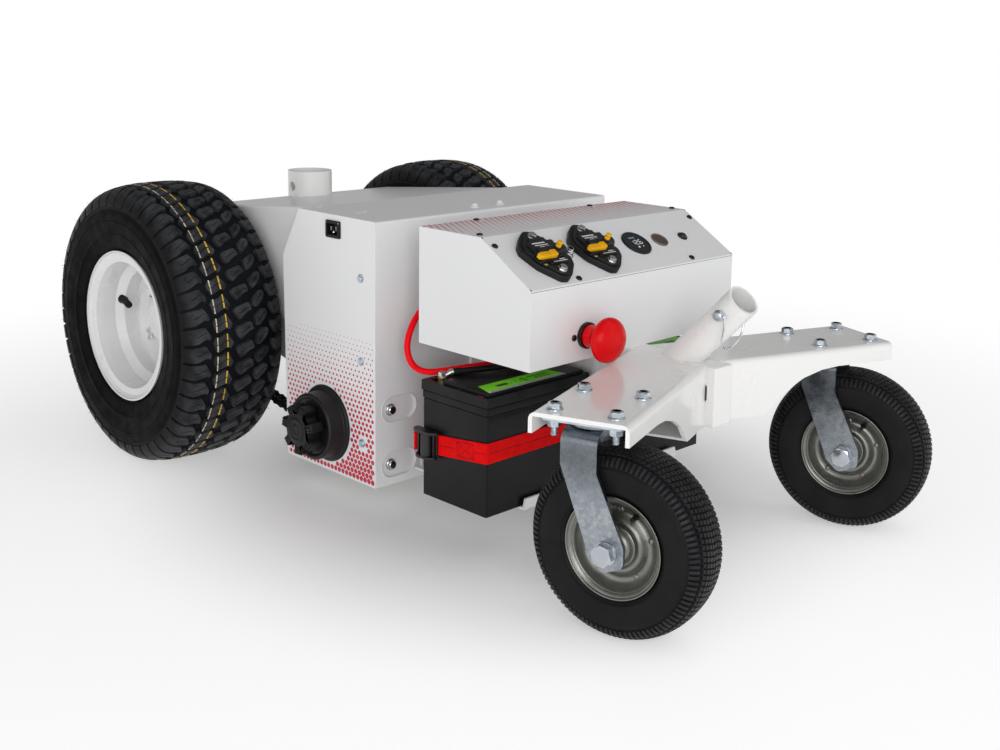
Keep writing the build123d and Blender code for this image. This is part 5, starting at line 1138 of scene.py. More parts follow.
def caster_bolt(which):
    fr = caster_frame(which)
    b = Build()
    lathe(b, fr, [(0, -48), (7.95, -48), (7.95, 64.4), (7.0, 65.4), (0, 65.4)], 32)
    g = Frame(fr.o, fr.ex, -fr.ey, -fr.ez)      # outwards on the head's side
    lathe(b, g, [(8.0, 48.5), (13.6, 48.5), (13.9, 49.0), (13.6, 50.9), (8.0, 51.0)], 40)
    hexagon(b, g, 24.0, 50.9, 61.9, turn=0.3, crown=1.3)
    lathe(b, g, [(0, 61.8), (9.2, 61.8), (9.2, 62.0), (8.8, 62.0), (8.8, 61.85), (0, 61.85)], 36)
    lathe(b, fr, [(8.0, 48.5), (13.6, 48.5), (13.9, 49.0), (13.6, 50.9), (8.0, 51.0)], 40)
    hexagon(b, fr, 24.0, 50.9, 62.4, turn=0.12, crown=1.3)
    thread(b, fr, 7.85, 62.2, 65.2, 2.0)
    for z in (-1, 1):
        lathe(b, fr, [(8.1, z * 39.6), (11.4, z * 39.6), (11.4, z * 43.4), (8.1, z * 43.4), (8.1, z * 39.6)], 28)
    node = "caster_%s_axle" % which
    b.make(node + "_bolt", ["bolt_big"], which + "_swivel", (node,), angle=34)


for w_ in ("left", "right"):
    caster_tyre(w_)
    caster_rim(w_)
    caster_bolt(w_)


def arm_frame(side, u, v, z):
    c, s = math.cos(math.radians(20)), math.sin(math.radians(20))
    x, y = -u * c + v * s, -333.0 - u * s - v * c
    return Frame((x if side < 0 else -x, y, z), (1, 0, 0), (0, 1, 0), (0, 0, 1))


def arm_bolts():
    b = Build()
    rnd = random.Random(11)
    for side in (-1, 1):
        for du in (-44.0, 44.0):
            for dv in (-37.5, 37.5):
                f = arm_frame(side, 262.0 + du, dv, 0.0)
                t = rnd.uniform(0, 1)
                lathe(b, f, [(4.1, 269.35), (10.0, 269.35), (10.2, 269.7), (10.0, 270.7), (9.0, 270.95), (4.1, 270.95)], 36)
                lathe(b, f, [(3.9, 271.0), (8.6, 271.0), (8.7, 271.3), (8.2, 272.0), (3.9, 272.3)], 36)
                hexagon(b, f, 14.6, 272.0, 278.2, turn=t, crown=0.8)
                lathe(b, f, [(0, 278.15), (5.4, 278.15), (5.4, 278.4), (5.0, 278.4), (5.0, 278.2), (0, 278.2)], 30)
                lathe(b, f, [(4.0, 250.0), (4.0, 271.0)], 20)
                g = Frame(f(0, 0, 259.3), (1, 0, 0), (0, -1, 0), (0, 0, -1))
                lathe(b, g, [(4.1, 0.0), (8.6, 0.0), (8.6, 1.4), (4.1, 1.4)], 30)
                hexagon(b, g, 14.6, 1.3, 9.4, turn=t + 0.4, crown=0.8)
                thread(b, g, 3.95, 9.0, 20.1, 1.25, n=14)
    b.make("caster_bolts_detailed", ["bolt"], "chassis", ("caster_bolts",), angle=34)


arm_bolts()


# ---------------------------------------------------------------- screws and bolts of the covers
BREAKERS = [(-144.0, 56.0), (-48.5, 56.0)]


def button_head(b, fr, r, h, mat, socket_mat):
    """Round head with a hexagon socket."""
    lathe(b, fr, [(r, 0), (r, 0.25 * h), (r * 0.93, 0.55 * h), (r * 0.76, 0.86 * h), (r * 0.52, h), (r * 0.44, h)], 28, mat)
    n = 28
    a0 = [fr(r * 0.44 * math.cos(2 * math.pi * i / n), r * 0.44 * math.sin(2 * math.pi * i / n), h) for i in range(n)]
    a1 = [fr(r * 0.40 * math.cos(2 * math.pi * i / n), r * 0.40 * math.sin(2 * math.pi * i / n), h * 0.45) for i in range(n)]
    base = b.add(a0 + a1, [])
    for i in range(n):
        j = (i + 1) % n
        b.f.append((base + i, base + j, base + n + j, base + n + i))
        b.m.append(socket_mat)
    b.f.append(tuple(base + n + i for i in range(n)))
    b.m.append(socket_mat)


def cover_hardware():
    b = Build()
    # mats: 0 zinc, 1 black, 2 white, 3 silver, 4 dark
    for x, z in ((-207.0, 158.0), (-206.5, 77.0), (207.0, 158.0), (206.5, 77.0)):
        f = front_frame(x, z, 5.5)
        lathe(b, f, [(4.3, 0), (8.4, 0), (8.5, 0.4), (8.4, 1.4), (4.2, 1.5)], 32, 0)
        lathe(b, f, [(4.0, 1.5), (7.4, 1.5), (7.4, 2.0), (6.6, 2.6), (4.0, 2.7)], 32, 3)
        hexagon(b, f, 11.6, 2.6, 7.0, 3, turn=0.2)
        lathe(b, f, [(4.9, 7.0), (4.9, 7.3), (3.6, 7.9), (0, 8.0)], 24, 1)
        lathe(b, f, [(4.0, -18), (4.0, 1.5)], 16, 0)
    for s in (-1, 1):
        for y, z in ((31.9, 347.2), (30.0, 108.8), (31.9, 228.0)):
            f = Frame((s * 237.5, y, z), (0, s, 0), (0, 0, 1), (s, 0, 0))
            lathe(b, f, [(3.0, -8), (3.0, 0), (6.4, 0), (6.5, 0.3), (6.3, 0.9), (3.1, 1.0)], 28, 0)
            hexagon(b, f, 8.6, 0.9, 3.2, 0, turn=0.5, crown=0.4)
            lathe(b, f, [(2.2, 3.2), (2.0, 3.0), (0, 2.9)], 16, 1)
    for x, y in ((-25.5, 28.6), (28.4, 30.4)):
        f = top_frame(x, y, 430.2)
        lathe(b, f, [(3.0, -6), (3.0, 0.02), (8.0, 0.02), (8.1, 0.4), (7.8, 1.1), (5.6, 1.25)], 32, 2)
        hexagon(b, f, 9.6, 1.2, 3.4, 2, turn=0.35, crown=0.4)
        lathe(b, f, [(4.6, 3.2), (4.5, 4.2), (3.6, 5.4), (2.0, 6.0), (0, 6.2)], 24, 2)
    for x in (-45, 45):
        for z in (190, 270):
            f = front_frame(x, z, -6.0)
            lathe(b, f, [(4.1, 0), (8.6, 0), (8.6, 1.3), (4.1, 1.3)], 28, 0)
            hexagon(b, f, 12.6, 1.3, 5.5, 0)
    for x, y in ((-112.1, -68.0), (122.8, -70.0), (203.0, -165.9), (-199.0, -167.4)):
        button_head(b, top_frame(x, y, 429.9), 4.5, 2.4, 1, 4)
    for x, s in ((-202.8, 19.9), (-117.1, 100.6), (203.5, 19.0), (121.7, 100.4)):
        button_head(b, slope_frame(x, s), 4.5, 2.4, 1, 4)
    for bx, bs in BREAKERS:
        for d in (-33, 33):
            f = slope_frame(bx, bs + d, 11.0)
            lathe(b, f, [(2.8, 0), (6.4, 0), (6.5, 0.3), (6.3, 1.0), (2.8, 1.1)], 28, 3)
            hexagon(b, f, 9.6, 1.0, 5.0, 3, turn=0.25 + d * 0.01, crown=0.5)
            lathe(b, f, [(3.4, 5.0), (3.2, 4.7), (0, 4.6)], 20, 3)
    b.make("cover_hardware", ["zinc", "black_bolt", "white", "bare_steel", "rubber"], "chassis", ("cover_screws",), angle=34)


cover_hardware()


# ---------------------------------------------------------------- printed dots, a plain growing screen
def dot(b, fr, x, y, r, n=12, h=0.16):
    if r < 0.35:
        return
    prism(b, fr, ngon(n, r, 0.2), 0.0, h, 0.0, 0, bottom=False)


def panel_print():
    b = Build()
    fr = Frame((-237.5, 0, 0), (0, 1, 0), (0, 0, 1), (-1, 0, 0))
    pitch = 8.6
    row = 0
    z = 56.0
    while z < 262:
        y = 6.5 + (pitch / 2 if row % 2 else 0.0)
        while y < 214:
            rear = 212.5 + (z - 49) * (218.8 - 212.5) / (356.9 - 49) - 6.0
            if y < rear:
                d = math.hypot(y * 0.30, (z - 49.0) * 1.0)
                u = max(0.0, 1.0 - d / 215.0)
                r = 0.6 + 3.55 * u ** 0.9 if d < 215 else 0.0
                c = math.hypot(y - 115.0, z - 119.4)
                ok = c > 57.5 + r
                for by, bz in ((31.9, 347.2), (30.0, 108.8), (31.9, 228.0)):
                    ok = ok and math.hypot(y - by, z - bz) > 7.2 + r
                if ok:
                    dot(b, fr.at(y, z), 0, 0, r)
            y += pitch
        z += pitch * 0.866
        row += 1
    b.make("print_side_panel_dots", ["red_ink"], "chassis", (), angle=60)
    b = Build()
    pitch = 9.4
    row = 0
    y = -67.0
    while y > -176:
        x = -207.0 + (pitch / 2 if row % 2 else 0.0)
        while x < 208:
            u = max(0.0, 1.0 - (-67.0 - y) / 100.0)
            r = 0.6 + 2.3 * u ** 1.2 if u > 0 else 0.0
            ok = True
            for sx, sy in ((-112.1, -68.0), (122.8, -70.0), (203.0, -165.9), (-199.0, -167.4)):
                ok = ok and math.hypot(x - sx, y - sy) > 5.6 + r
            if ok:
                dot(b, top_frame(x, y, 429.9), 0, 0, r, 10, 0.14)
            x += pitch
        y -= pitch * 0.866
        row += 1
    b.make("print_box_top_dots", ["red_ink"], "chassis", (), angle=60)


panel_print()


# ---------------------------------------------------------------- breakers
OUTLINE = [(3, 48), (13, 42), (31, 25), (37, 12), (29, -18), (8, -46), (-3, -48), (-13, -42),
           (-31, -25), (-37, -12), (-29, 18), (-8, 46)]


def breaker_detail():
    b = Build()      # 0 body, 1 white print, 2 brass, 3 dark
    for bx, bs in BREAKERS:
        f = slope_frame(bx, bs)
        out = [(x, -s) for x, s in OUTLINE]
        prism(b, f, rounded(out, 3.2, 3), 0.02, 8.5, 1.1, 0, seg=3)
        inner = [(x * 0.86, y * 0.9) for x, y in out]
        groove = [(x * 0.885, y * 0.918) for x, y in out]
        prism(b, f, rounded(groove, 2.2, 3), 8.3, 9.0, 0.0, 3)
        prism(b, f, rounded(inner, 2.2, 3), 8.4, 11.0, 0.6, 0, seg=3)
        prism(b, f, rounded(box2(46, 33.5, 0, 3.2), 3.2, 4), 10.8, 15.0, 0.8, 0, seg=3)
        # step plates at both ends of the block
        prism(b, f, rounded(box2(30, 9, 1, 24), 2, 3), 10.8, 12.6, 0.5, 0)
        prism(b, f, rounded(box2(34, 10, 4, -18.6), 2, 3), 10.8, 13.2, 0.5, 0)
        # barrel that carries the trip button and the lever
        g = Frame(f(0, -1, 13.0), (0, -SLN[1], SLN[0]), (0, SLN[0], SLN[1]), (1, 0, 0))
        lathe(b, g, [(0, -20.2), (6.4, -20.2), (7.2, -19.6), (7.5, -18.6), (7.5, -4), (8.0, -3.6), (8.0, 26.0), (7.4, 27.2), (5.6, 28.0), (0, 28.0)], 40, 0)
        for k in range(-1, 5):
            lathe(b, g, [(7.98, 4.0 * k + 5.2), (8.2, 4.0 * k + 5.5), (8.2, 4.0 * k + 6.3), (7.98, 4.0 * k + 6.6)], 40, 0)
        # lever bed: two cheeks
        for d in (-6.6, 6.6):
            prism(b, f, rounded(box2(34, 1.6, -13.5, -12 + d), 0.6, 2), 12.0, 17.6, 0.4, 0)
        # collar round the trip button
        h = f.at(13.0, -2.0)
        lathe(b, h, [(4.3, 19.0), (6.4, 19.0), (6.6, 19.4), (6.6, 21.6), (6.2, 22.2), (4.4, 22.2), (4.3, 21.6), (4.3, 12.0)], 30, 0)
        # printed bars, and short ticks in place of lettering
        for x0, x1, y0, y1 in ((-17, 6, 14.4, 16.6), (-15, 9, 10.6, 12.2)):
            prism(b, f, box2(x1 - x0, y1 - y0, (x0 + x1) / 2, (y0 + y1) / 2), 14.98, 15.12, 0, 1, bottom=False)
        for k in range(4):
            prism(b, f, box2(2.6, 1.8, -6 + 4.4 * k, 8.2), 14.98, 15.12, 0, 1, bottom=False)
        for x0, x1, y0, y1 in ((-8, 17, -17.4, -16.0), (-6, 19, -20.6, -19.2)):
            prism(b, f, box2(x1 - x0, y1 - y0, (x0 + x1) / 2, (y0 + y1) / 2), 13.18, 13.32, 0, 1, bottom=False)
        # small brass adjusting screw in its well
        h = f.at(-20.5, -20.0)
        lathe(b, h, [(5.4, 10.9), (5.4, 12.2), (4.4, 12.4), (4.0, 12.0), (4.0, 11.2)], 28, 0)
        lathe(b, h, [(3.9, 11.2), (3.9, 12.3), (3.3, 12.7), (0, 12.8)], 24, 2)
        prism(b, h, box2(6.4, 0.9), 12.75, 12.95, 0, 3, bottom=False)
        lathe(b, f.at(-26, 9), [(2.2, 10.9), (2.2, 11.7), (1.5, 12.1), (0, 12.2)], 16, 0)
        # rear terminals inside the box
        prism(b, f, rounded(box2(31, 41), 2, 2), -22.0, 0.5, 0, 0)
    b.make("breaker_bodies_detailed", ["plastic", "grey_print", "brass", "rubber"], "chassis", ("breaker_bodies",), angle=34)
    for (bx, bs), side in zip(BREAKERS, ("left", "right")):
        b = Build()
        f = slope_frame(bx - 22.0, bs + 14.0)
        # lever: a waisted bar with a thumb pad and grip ribs
        shape = [(-9.2, 6.0), (-4, 7.4), (8, 6.9), (21.5, 6.6), (22.8, 4.6), (22.8, -0.6), (21.5, -2.2), (8, -2.6), (-4, -2.6), (-9.2, -1.0), (-10.4, 2.4)]
        prism(b, f, rounded([(x + 1.5, y) for x, y in shape], 1.6, 3), 15.9, 21.6, 1.3, 0, seg=3)
        prism(b, f, rounded(box2(10.5, 10.6, 17.6, 2.0), 2.2, 4), 15.9, 23.4, 1.4, 0, seg=3)
        for k in range(3):
            prism(b, f, rounded(box2(0.9, 8.0, 15.0 + 2.6 * k, 2.0), 0.3, 2), 23.2, 23.75, 0.2, 0)
        b.make("breaker_%s_lever_detailed" % side, ["yellow"], side + "_lever", ("breaker_%s_lever" % side,), angle=40)
        b = Build()
        f = slope_frame(bx + 13.0, bs + 2.0)
        lathe(b, f, [(0, 14.4), (3.9, 14.4), (3.9, 25.4), (3.65, 25.7), (3.65, 26.2), (3.9, 26.5), (3.9, 28.6), (3.4, 29.6), (2.2, 30.05), (0, 30.1)], 32)
        b.make("breaker_%s_button_detailed" % side, ["yellow"], side + "_trip", ("breaker_%s_button" % side,), angle=40)


breaker_detail()


# ---------------------------------------------------------------- gauge, sounder, lamp, aerial connector
SEG = {"1": "bc", "2": "abged", "6": "afedcg", "8": "abcdefg", "4": "fgbc", "7": "abc"}


def digit(b, fr, ch, x, y, w, h, t, mat):
    P = {"a": (x, y + h / 2, w - 0.7, t), "g": (x, y, w - 0.7, t), "d": (x, y - h / 2, w - 0.7, t),
         "f": (x - w / 2, y + h / 4, t, h / 2 - 0.7), "b": (x + w / 2, y + h / 4, t, h / 2 - 0.7),
         "e": (x - w / 2, y - h / 4, t, h / 2 - 0.7), "c": (x + w / 2, y - h / 4, t, h / 2 - 0.7)}
    for s in SEG[ch]:
        px, py, pw, ph = P[s]
        c = 0.42 * min(pw, ph)
        if pw > ph:
            poly = [(px - pw / 2, py), (px - pw / 2 + c, py - ph / 2), (px + pw / 2 - c, py - ph / 2), (px + pw / 2, py),
                    (px + pw / 2 - c, py + ph / 2), (px - pw / 2 + c, py + ph / 2)]
        else:
            poly = [(px, py - ph / 2), (px + pw / 2, py - ph / 2 + c), (px + pw / 2, py + ph / 2 - c), (px, py + ph / 2),
                    (px - pw / 2, py + ph / 2 - c), (px - pw / 2, py - ph / 2 + c)]
        prism(b, fr, poly, 2.2, 2.34, 0, mat, bottom=False)


M["lcd"] = material("display_digit", (0.62, 0.70, 0.74), 0.35, second=(0.52, 0.60, 0.64), vary_scale=300, grain=(900, 0.04),
                    emit=((0.75, 0.86, 0.92), 0.25))
M["lcd_blue"] = material("display_bar", (0.20, 0.34, 0.42), 0.35, second=(0.16, 0.28, 0.36), vary_scale=300, grain=(900, 0.04))
M["glass_black"] = material("display_face", (0.008, 0.009, 0.011), 0.10, second=(0.005, 0.006, 0.008), vary_scale=60,
                            grain=(200, 0.02), rough_vary=0.04, spec=0.5)
M["bronze"] = material("grille_bronze", (0.30, 0.235, 0.20), 0.38, metallic=0.9, second=(0.20, 0.155, 0.13), vary_scale=300,
                       grain=(900, 0.15))


def panel_instruments():
    b = Build()
    f = slope_frame(43.0, 55.5)
    lathe(b, f, [(20.8, -24), (20.8, 0.05), (23.3, 0.05), (23.5, 0.5), (23.4, 1.7), (22.8, 2.6), (21.8, 3.0), (20.7, 2.95), (20.1, 2.5), (20.0, 2.15)], 64, 0)
    lathe(b, f, [(20.0, 2.15), (0, 2.15)], 64, 1)
    lathe(b, f, [(20.8, -24), (0, -24)], 64, 0)
    for i, ch in enumerate("126"):
        digit(b, f, ch, -7.6 + 7.2 * i + (0.8 if i == 2 else 0), 0.6, 4.6, 8.6, 1.05, 2)
    prism(b, f, box2(1.1, 1.1, 3.4, -3.6), 2.2, 2.34, 0, 2, bottom=False)
    prism(b, f, box2(12, 2.6, -2, 10.5), 2.2, 2.32, 0, 3, bottom=False)
    prism(b, f.at(-3, -9.0), ngon(14, 1.7), 2.2, 2.34, 0, 2, bottom=False)
    prism(b, f.at(6.5, -8.4), ngon(14, 1.1), 2.2, 2.34, 0, 2, bottom=False)
    b.make("volt_gauge_detailed", ["plastic", "glass_black", "lcd", "lcd_blue"], "chassis", ("volt_gauge",), angle=34)
    b = Build()      # 0 plastic, 1 bronze, 2 silver, 3 dark, 4 glass
    f = slope_frame(94.2, 56.0)
    lathe(b, f, [(11.3, -14), (11.3, 0.05), (13.4, 0.05), (13.5, 0.5), (13.3, 1.7), (12.6, 2.2), (11.6, 2.2), (11.2, 1.6)], 48, 1)
    # domed woven grille: crossed wires over a dark ground
    lathe(b, f, [(11.2, 1.2), (0, 1.3)], 48, 3)
    for k in range(-6, 7):
        c = 1.75 * k
        L = math.sqrt(max(0.0, 11.3 ** 2 - c * c))
        for turn in (0, 1):
            pts = []
            for i in range(13):
                u = -L + 2 * L * i / 12
                z = 1.55 + 0.16 * math.sin(math.pi * u / 1.75 + k * math.pi + turn * math.pi)
                pts.append(f(u, c, z) if turn == 0 else f(c, u, z))
            sweep(b, pts, 0.34, 5, 1, caps=False)
    lathe(b, f, [(11.3, -14), (0, -14)], 48, 0)
    f = slope_frame(147.2, 56.0)
    lathe(b, f, [(5.8, -12), (5.8, 0.05), (7.9, 0.05), (8.0, 0.4), (7.7, 1.5), (6.9, 2.0), (6.1, 2.0), (5.8, 2.3)], 40, 0)
    lathe(b, f, [(5.8, 1.8), (5.6, 3.0), (4.6, 4.2), (2.6, 4.9), (0, 5.0)], 40, 4)
    lathe(b, f, [(5.8, -12), (0, -12)], 40, 0)
    f = slope_frame(-98.5, 55.0)
    lathe(b, f, [(3.1, -9), (3.1, 0.05), (8.6, 0.05), (8.8, 0.4), (8.5, 1.2), (5.0, 1.4)], 36, 2)
    hexagon(b, f, 13.6, 1.2, 4.6, 2, turn=0.2, crown=0.5)
    lathe(b, f, [(5.4, 4.4), (5.8, 5.0), (5.8, 9.0), (5.4, 9.5), (5.0, 9.8), (5.0, 11.6), (4.6, 12.0), (3.4, 12.0)], 36, 2)
    for k in range(20):
        a = 2 * math.pi * k / 20
        prism(b, f.at(5.75 * math.cos(a), 5.75 * math.sin(a), 0, a), rounded(box2(0.7, 0.9), 0.25, 2), 5.2, 8.8, 0.2, 2)
    lathe(b, f, [(3.4, 12.0), (3.3, 9.6), (1.4, 9.6), (1.3, 11.4), (0, 11.5)], 32, 3)
    lathe(b, f, [(3.1, -9), (0, -9)], 24, 2)
    b.make("panel_indicators_detailed", ["plastic", "bronze", "bare_steel", "rubber", "glass_black"], "chassis", ("panel_indicators",),
           angle=34)
    # thin joint under the lid's front edge, and the key screw beside the stop button
    b = Build()
    f = front_frame(0, 371.15, -274.8)
    prism(b, f, box2(422.6, 0.55), -0.4, 0.03, 0, 0)
    button_head(b, front_frame(-130.4, 301.2, -274.8), 4.4, 2.2, 1, 0)
    b.make("box_joint_and_screw", ["rubber", "black_bolt"], "chassis", ())


panel_instruments()


# ---------------------------------------------------------------- stop button
def stop_button():
    b = Build()
    f = front_frame(-107.0, 301.5, -274.8)
    lathe(b, f, [(14.4, -3), (14.4, 0.02), (17.5, 0.02), (17.6, 0.4), (17.6, 4.5), (17.2, 5.3), (16.5, 5.5), (15.9, 5.2), (15.85, 0.9), (11.5, 0.9), (11.45, -20)], 64, 0)
    for k in range(20):
        a = 2 * math.pi * k / 20
        prism(b, f.at(17.2 * math.cos(a), 17.2 * math.sin(a), 0, a), rounded(box2(0.7, 2.0), 0.3, 2), 0.6, 3.6, 0.2, 0)
    lathe(b, f, [(14.4, -3), (20.4, -3), (20.4, -2), (14.4, -2)], 48, 0)
    prism(b, f, rounded(box2(42, 42), 3, 3), -46.8, -2.1, 0.6, 0)
    b.make("estop_switch_detailed", ["plastic"], "chassis", ("estop_switch",), angle=34)
    b = Build()
    prof = smooth_profile([(11.0, 6.1), (13.6, 6.05), (15.1, 6.5), (15.35, 8.0), (15.3, 12.0), (15.4, 16.0), (16.4, 20.2), (19.2, 24.8), (23.4, 28.8), (27.0, 31.8),
                           (29.2, 34.4), (29.8, 37.4), (29.5, 40.4), (28.0, 43.9), (24.8, 47.6), (19.8, 50.9), (13.4, 53.2), (6.8, 54.3), (0.0, 54.6)], 4)
    lathe(b, f, [(0, -15), (11.0, -15)] + prof, 80, 0)
    b.make("estop_button_detailed", ["red"], "stop_button", ("estop_button",), angle=50)


stop_button()


# ---------------------------------------------------------------- clutch housing and hand knob
def clutch():
    b = Build()
    f = Frame((-237.5, 115.0, 119.4), (0, -1, 0), (0, 0, 1), (-1, 0, 0))
    prof = smooth_profile([(36, 0.05), (55.6, 0.05), (56, 0.8), (55.8, 2.0), (54.6, 3.6), (51.6, 4.4), (50.2, 5.2), (49.6, 6.6)], 3)[:-1]
    lathe(b, f, prof + [(49.4, 8.0), (48.8, 25.6)] + smooth_profile([(48.8, 26.4), (48.4, 27.6), (47.2, 28.9), (45.6, 29.5), (43.8, 29.2), (42.2, 28.0),
                                                           (41.2, 26.6), (39.8, 26.0)], 3) + [(30, 26.0), (29, 25.2), (10.2, 25.2), (10.2, 20.0), (36, 20.0), (36, 0.05)], 96, 0)
    b.make("motor_drum_detailed", ["plastic"], "chassis", ("motor_drum",), angle=30)
    b = Build()
    f = Frame((-269.0, 115.0, 119.4), (0, -1, 0), (0, 0, 1), (-1, 0, 0))
    n = 7 * 26
    out = []
    for i in range(n):
        a = 2 * math.pi * i / n
        k = (a * 7 / (2 * math.pi) + 0.5) % 1.0 - 0.5
        w = max(0.0, min(1.0, (0.33 - abs(k)) / 0.13))
        w = w * w * (3 - 2 * w)
        r = 26.4 + 10.6 * w
        if abs(k) < 0.30:
            r -= 0.5 * (0.5 + 0.5 * math.cos(2 * math.pi * k / 0.145)) * (1 if abs(k) < 0.2 else 0)
        out.append((r * math.cos(a + 0.28), r * math.sin(a + 0.28)))
    prism(b, f, out, 0.0, 21.0, 2.6, 0, seg=5)
    # finger blocks with grooves on the lobes, raised centre with a ring
    for k in range(7):
        a = 2 * math.pi * k / 7 + 0.28
        g = f.at(29.5 * math.cos(a), 29.5 * math.sin(a), 0, a)
        for d in (-4.6, 0.0, 4.6):
            prism(b, g, rounded(box2(11.0, 2.6, 0.4, d), 0.9, 3), 19.8, 21.9, 0.8, 0, seg=3)
    lathe(b, f, smooth_profile([(22.6, 20.6), (21.4, 21.2), (19.4, 21.6), (17.6, 22.2), (16.6, 23.0), (15.2, 23.3), (13.6, 23.1), (12.8, 22.5), (11.8, 22.2),
                                (9.2, 22.2), (8.3, 22.5), (7.4, 23.0), (6.4, 23.1), (5.6, 22.6), (4.4, 22.2), (0.0, 22.1)], 3), 72, 0)
    lathe(b, f, [(9.8, -14), (9.8, 0.2), (24, 0.2)], 40, 0)
    lathe(b, f, [(9.8, -14), (0, -14)], 40, 0)
    b.make("clutch_knob_detailed", ["knob"], "knob", ("clutch_knob",), angle=34)


clutch()


# ---------------------------------------------------------------- charger inlet
def charger():
    b = Build()
    f = left_frame(93.7, 409.5, -237.5)

    def ringed(o, i, h0, h1, mat):
        n = len(o)
        vs = [f(x, y, h0) for x, y in o] + [f(x, y, h1) for x, y in o] + [f(x, y, h1) for x, y in i] + [f(x, y, h0) for x, y in i]
        fs = []
        for k in range(n):
            j = (k + 1) % n
            fs += [(k, j, n + j, n + k), (n + k, n + j, 2 * n + j, 2 * n + k), (2 * n + k, 2 * n + j, 3 * n + j, 3 * n + k)]
        b.add(vs, fs, mat)

    o = rounded(box2(33, 25), 2.4, 4)
    ringed(o, rounded(box2(26, 18), 1.6, 4), 0.02, 2.2, 0)
    ringed(rounded(box2(31.4, 23.4), 2.0, 4), rounded(box2(24.4, 16.4), 1.2, 4), 2.1, 3.0, 0)
    ringed(rounded(box2(27, 19), 1.2, 4), rounded(box2(24.0, 16.0), 1.0, 4), -12.0, 2.4, 0)
    prism(b, f, rounded(box2(26.8, 18.8), 1.2, 3), -22.0, -8.0, 0, 0)
    for x, y, w, h in ((-5.8, 1.0, 1.5, 6.2), (5.8, 1.0, 1.5, 6.2)):
        prism(b, f, rounded(box2(w, h, x, y), 0.4, 2), -8.2, 0.6, 0.4, 1)
    lathe(b, f.at(0, -4.2), [(0, -8.2), (2.0, -8.2), (2.0, 0.2), (1.4, 0.9), (0, 1.0)], 20, 1)
    for x in (-14.6, 14.6):
        lathe(b, f.at(x, 9.8), [(0.9, 2.9), (0.9, 3.1), (0, 3.15)], 12, 1)
    b.make("charger_inlet_detailed", ["plastic", "bare_steel"], "chassis", ("charger_inlet",), angle=34)


charger()


# ---------------------------------------------------------------- batteries
BX0, BX1, BY0, BY1 = 32.4, 227.4, -215.7, -86.6
M["label_green"] = material("label_green", (0.16, 0.80, 0.012), 0.34, second=(0.30, 0.90, 0.03), vary_scale=26, grain=(300, 0.03), spec=0.12)
M["label_grey"] = material("label_grey", (0.66, 0.70, 0.66), 0.34, second=(0.56, 0.60, 0.56), vary_scale=60, grain=(300, 0.03))
M["label_dark"] = material("label_marks", (0.02, 0.035, 0.012), 0.36, second=(0.015, 0.025, 0.01), vary_scale=90, grain=(300, 0.03))
M["stitch"] = material("stitch_black", (0.015, 0.006, 0.006), 0.7, second=(0.010, 0.005, 0.005), vary_scale=300, grain=(1500, 0.2), spec=0.2)
M["web"] = material("webbing_red", (0.80, 0.004, 0.005), 0.62, second=(0.66, 0.003, 0.004), vary_scale=60, grain=(900, 0.10),
                    wave=(620.0, 0.25, "X"), spec=0.06)
M["buckle"] = material("buckle_black", (0.008, 0.008, 0.009), 0.30, second=(0.005, 0.005, 0.006), vary_scale=60, grain=(900, 0.05), spec=0.5)


def flip(poly, s):
    return ccw([(s * x, y) for x, y in poly])


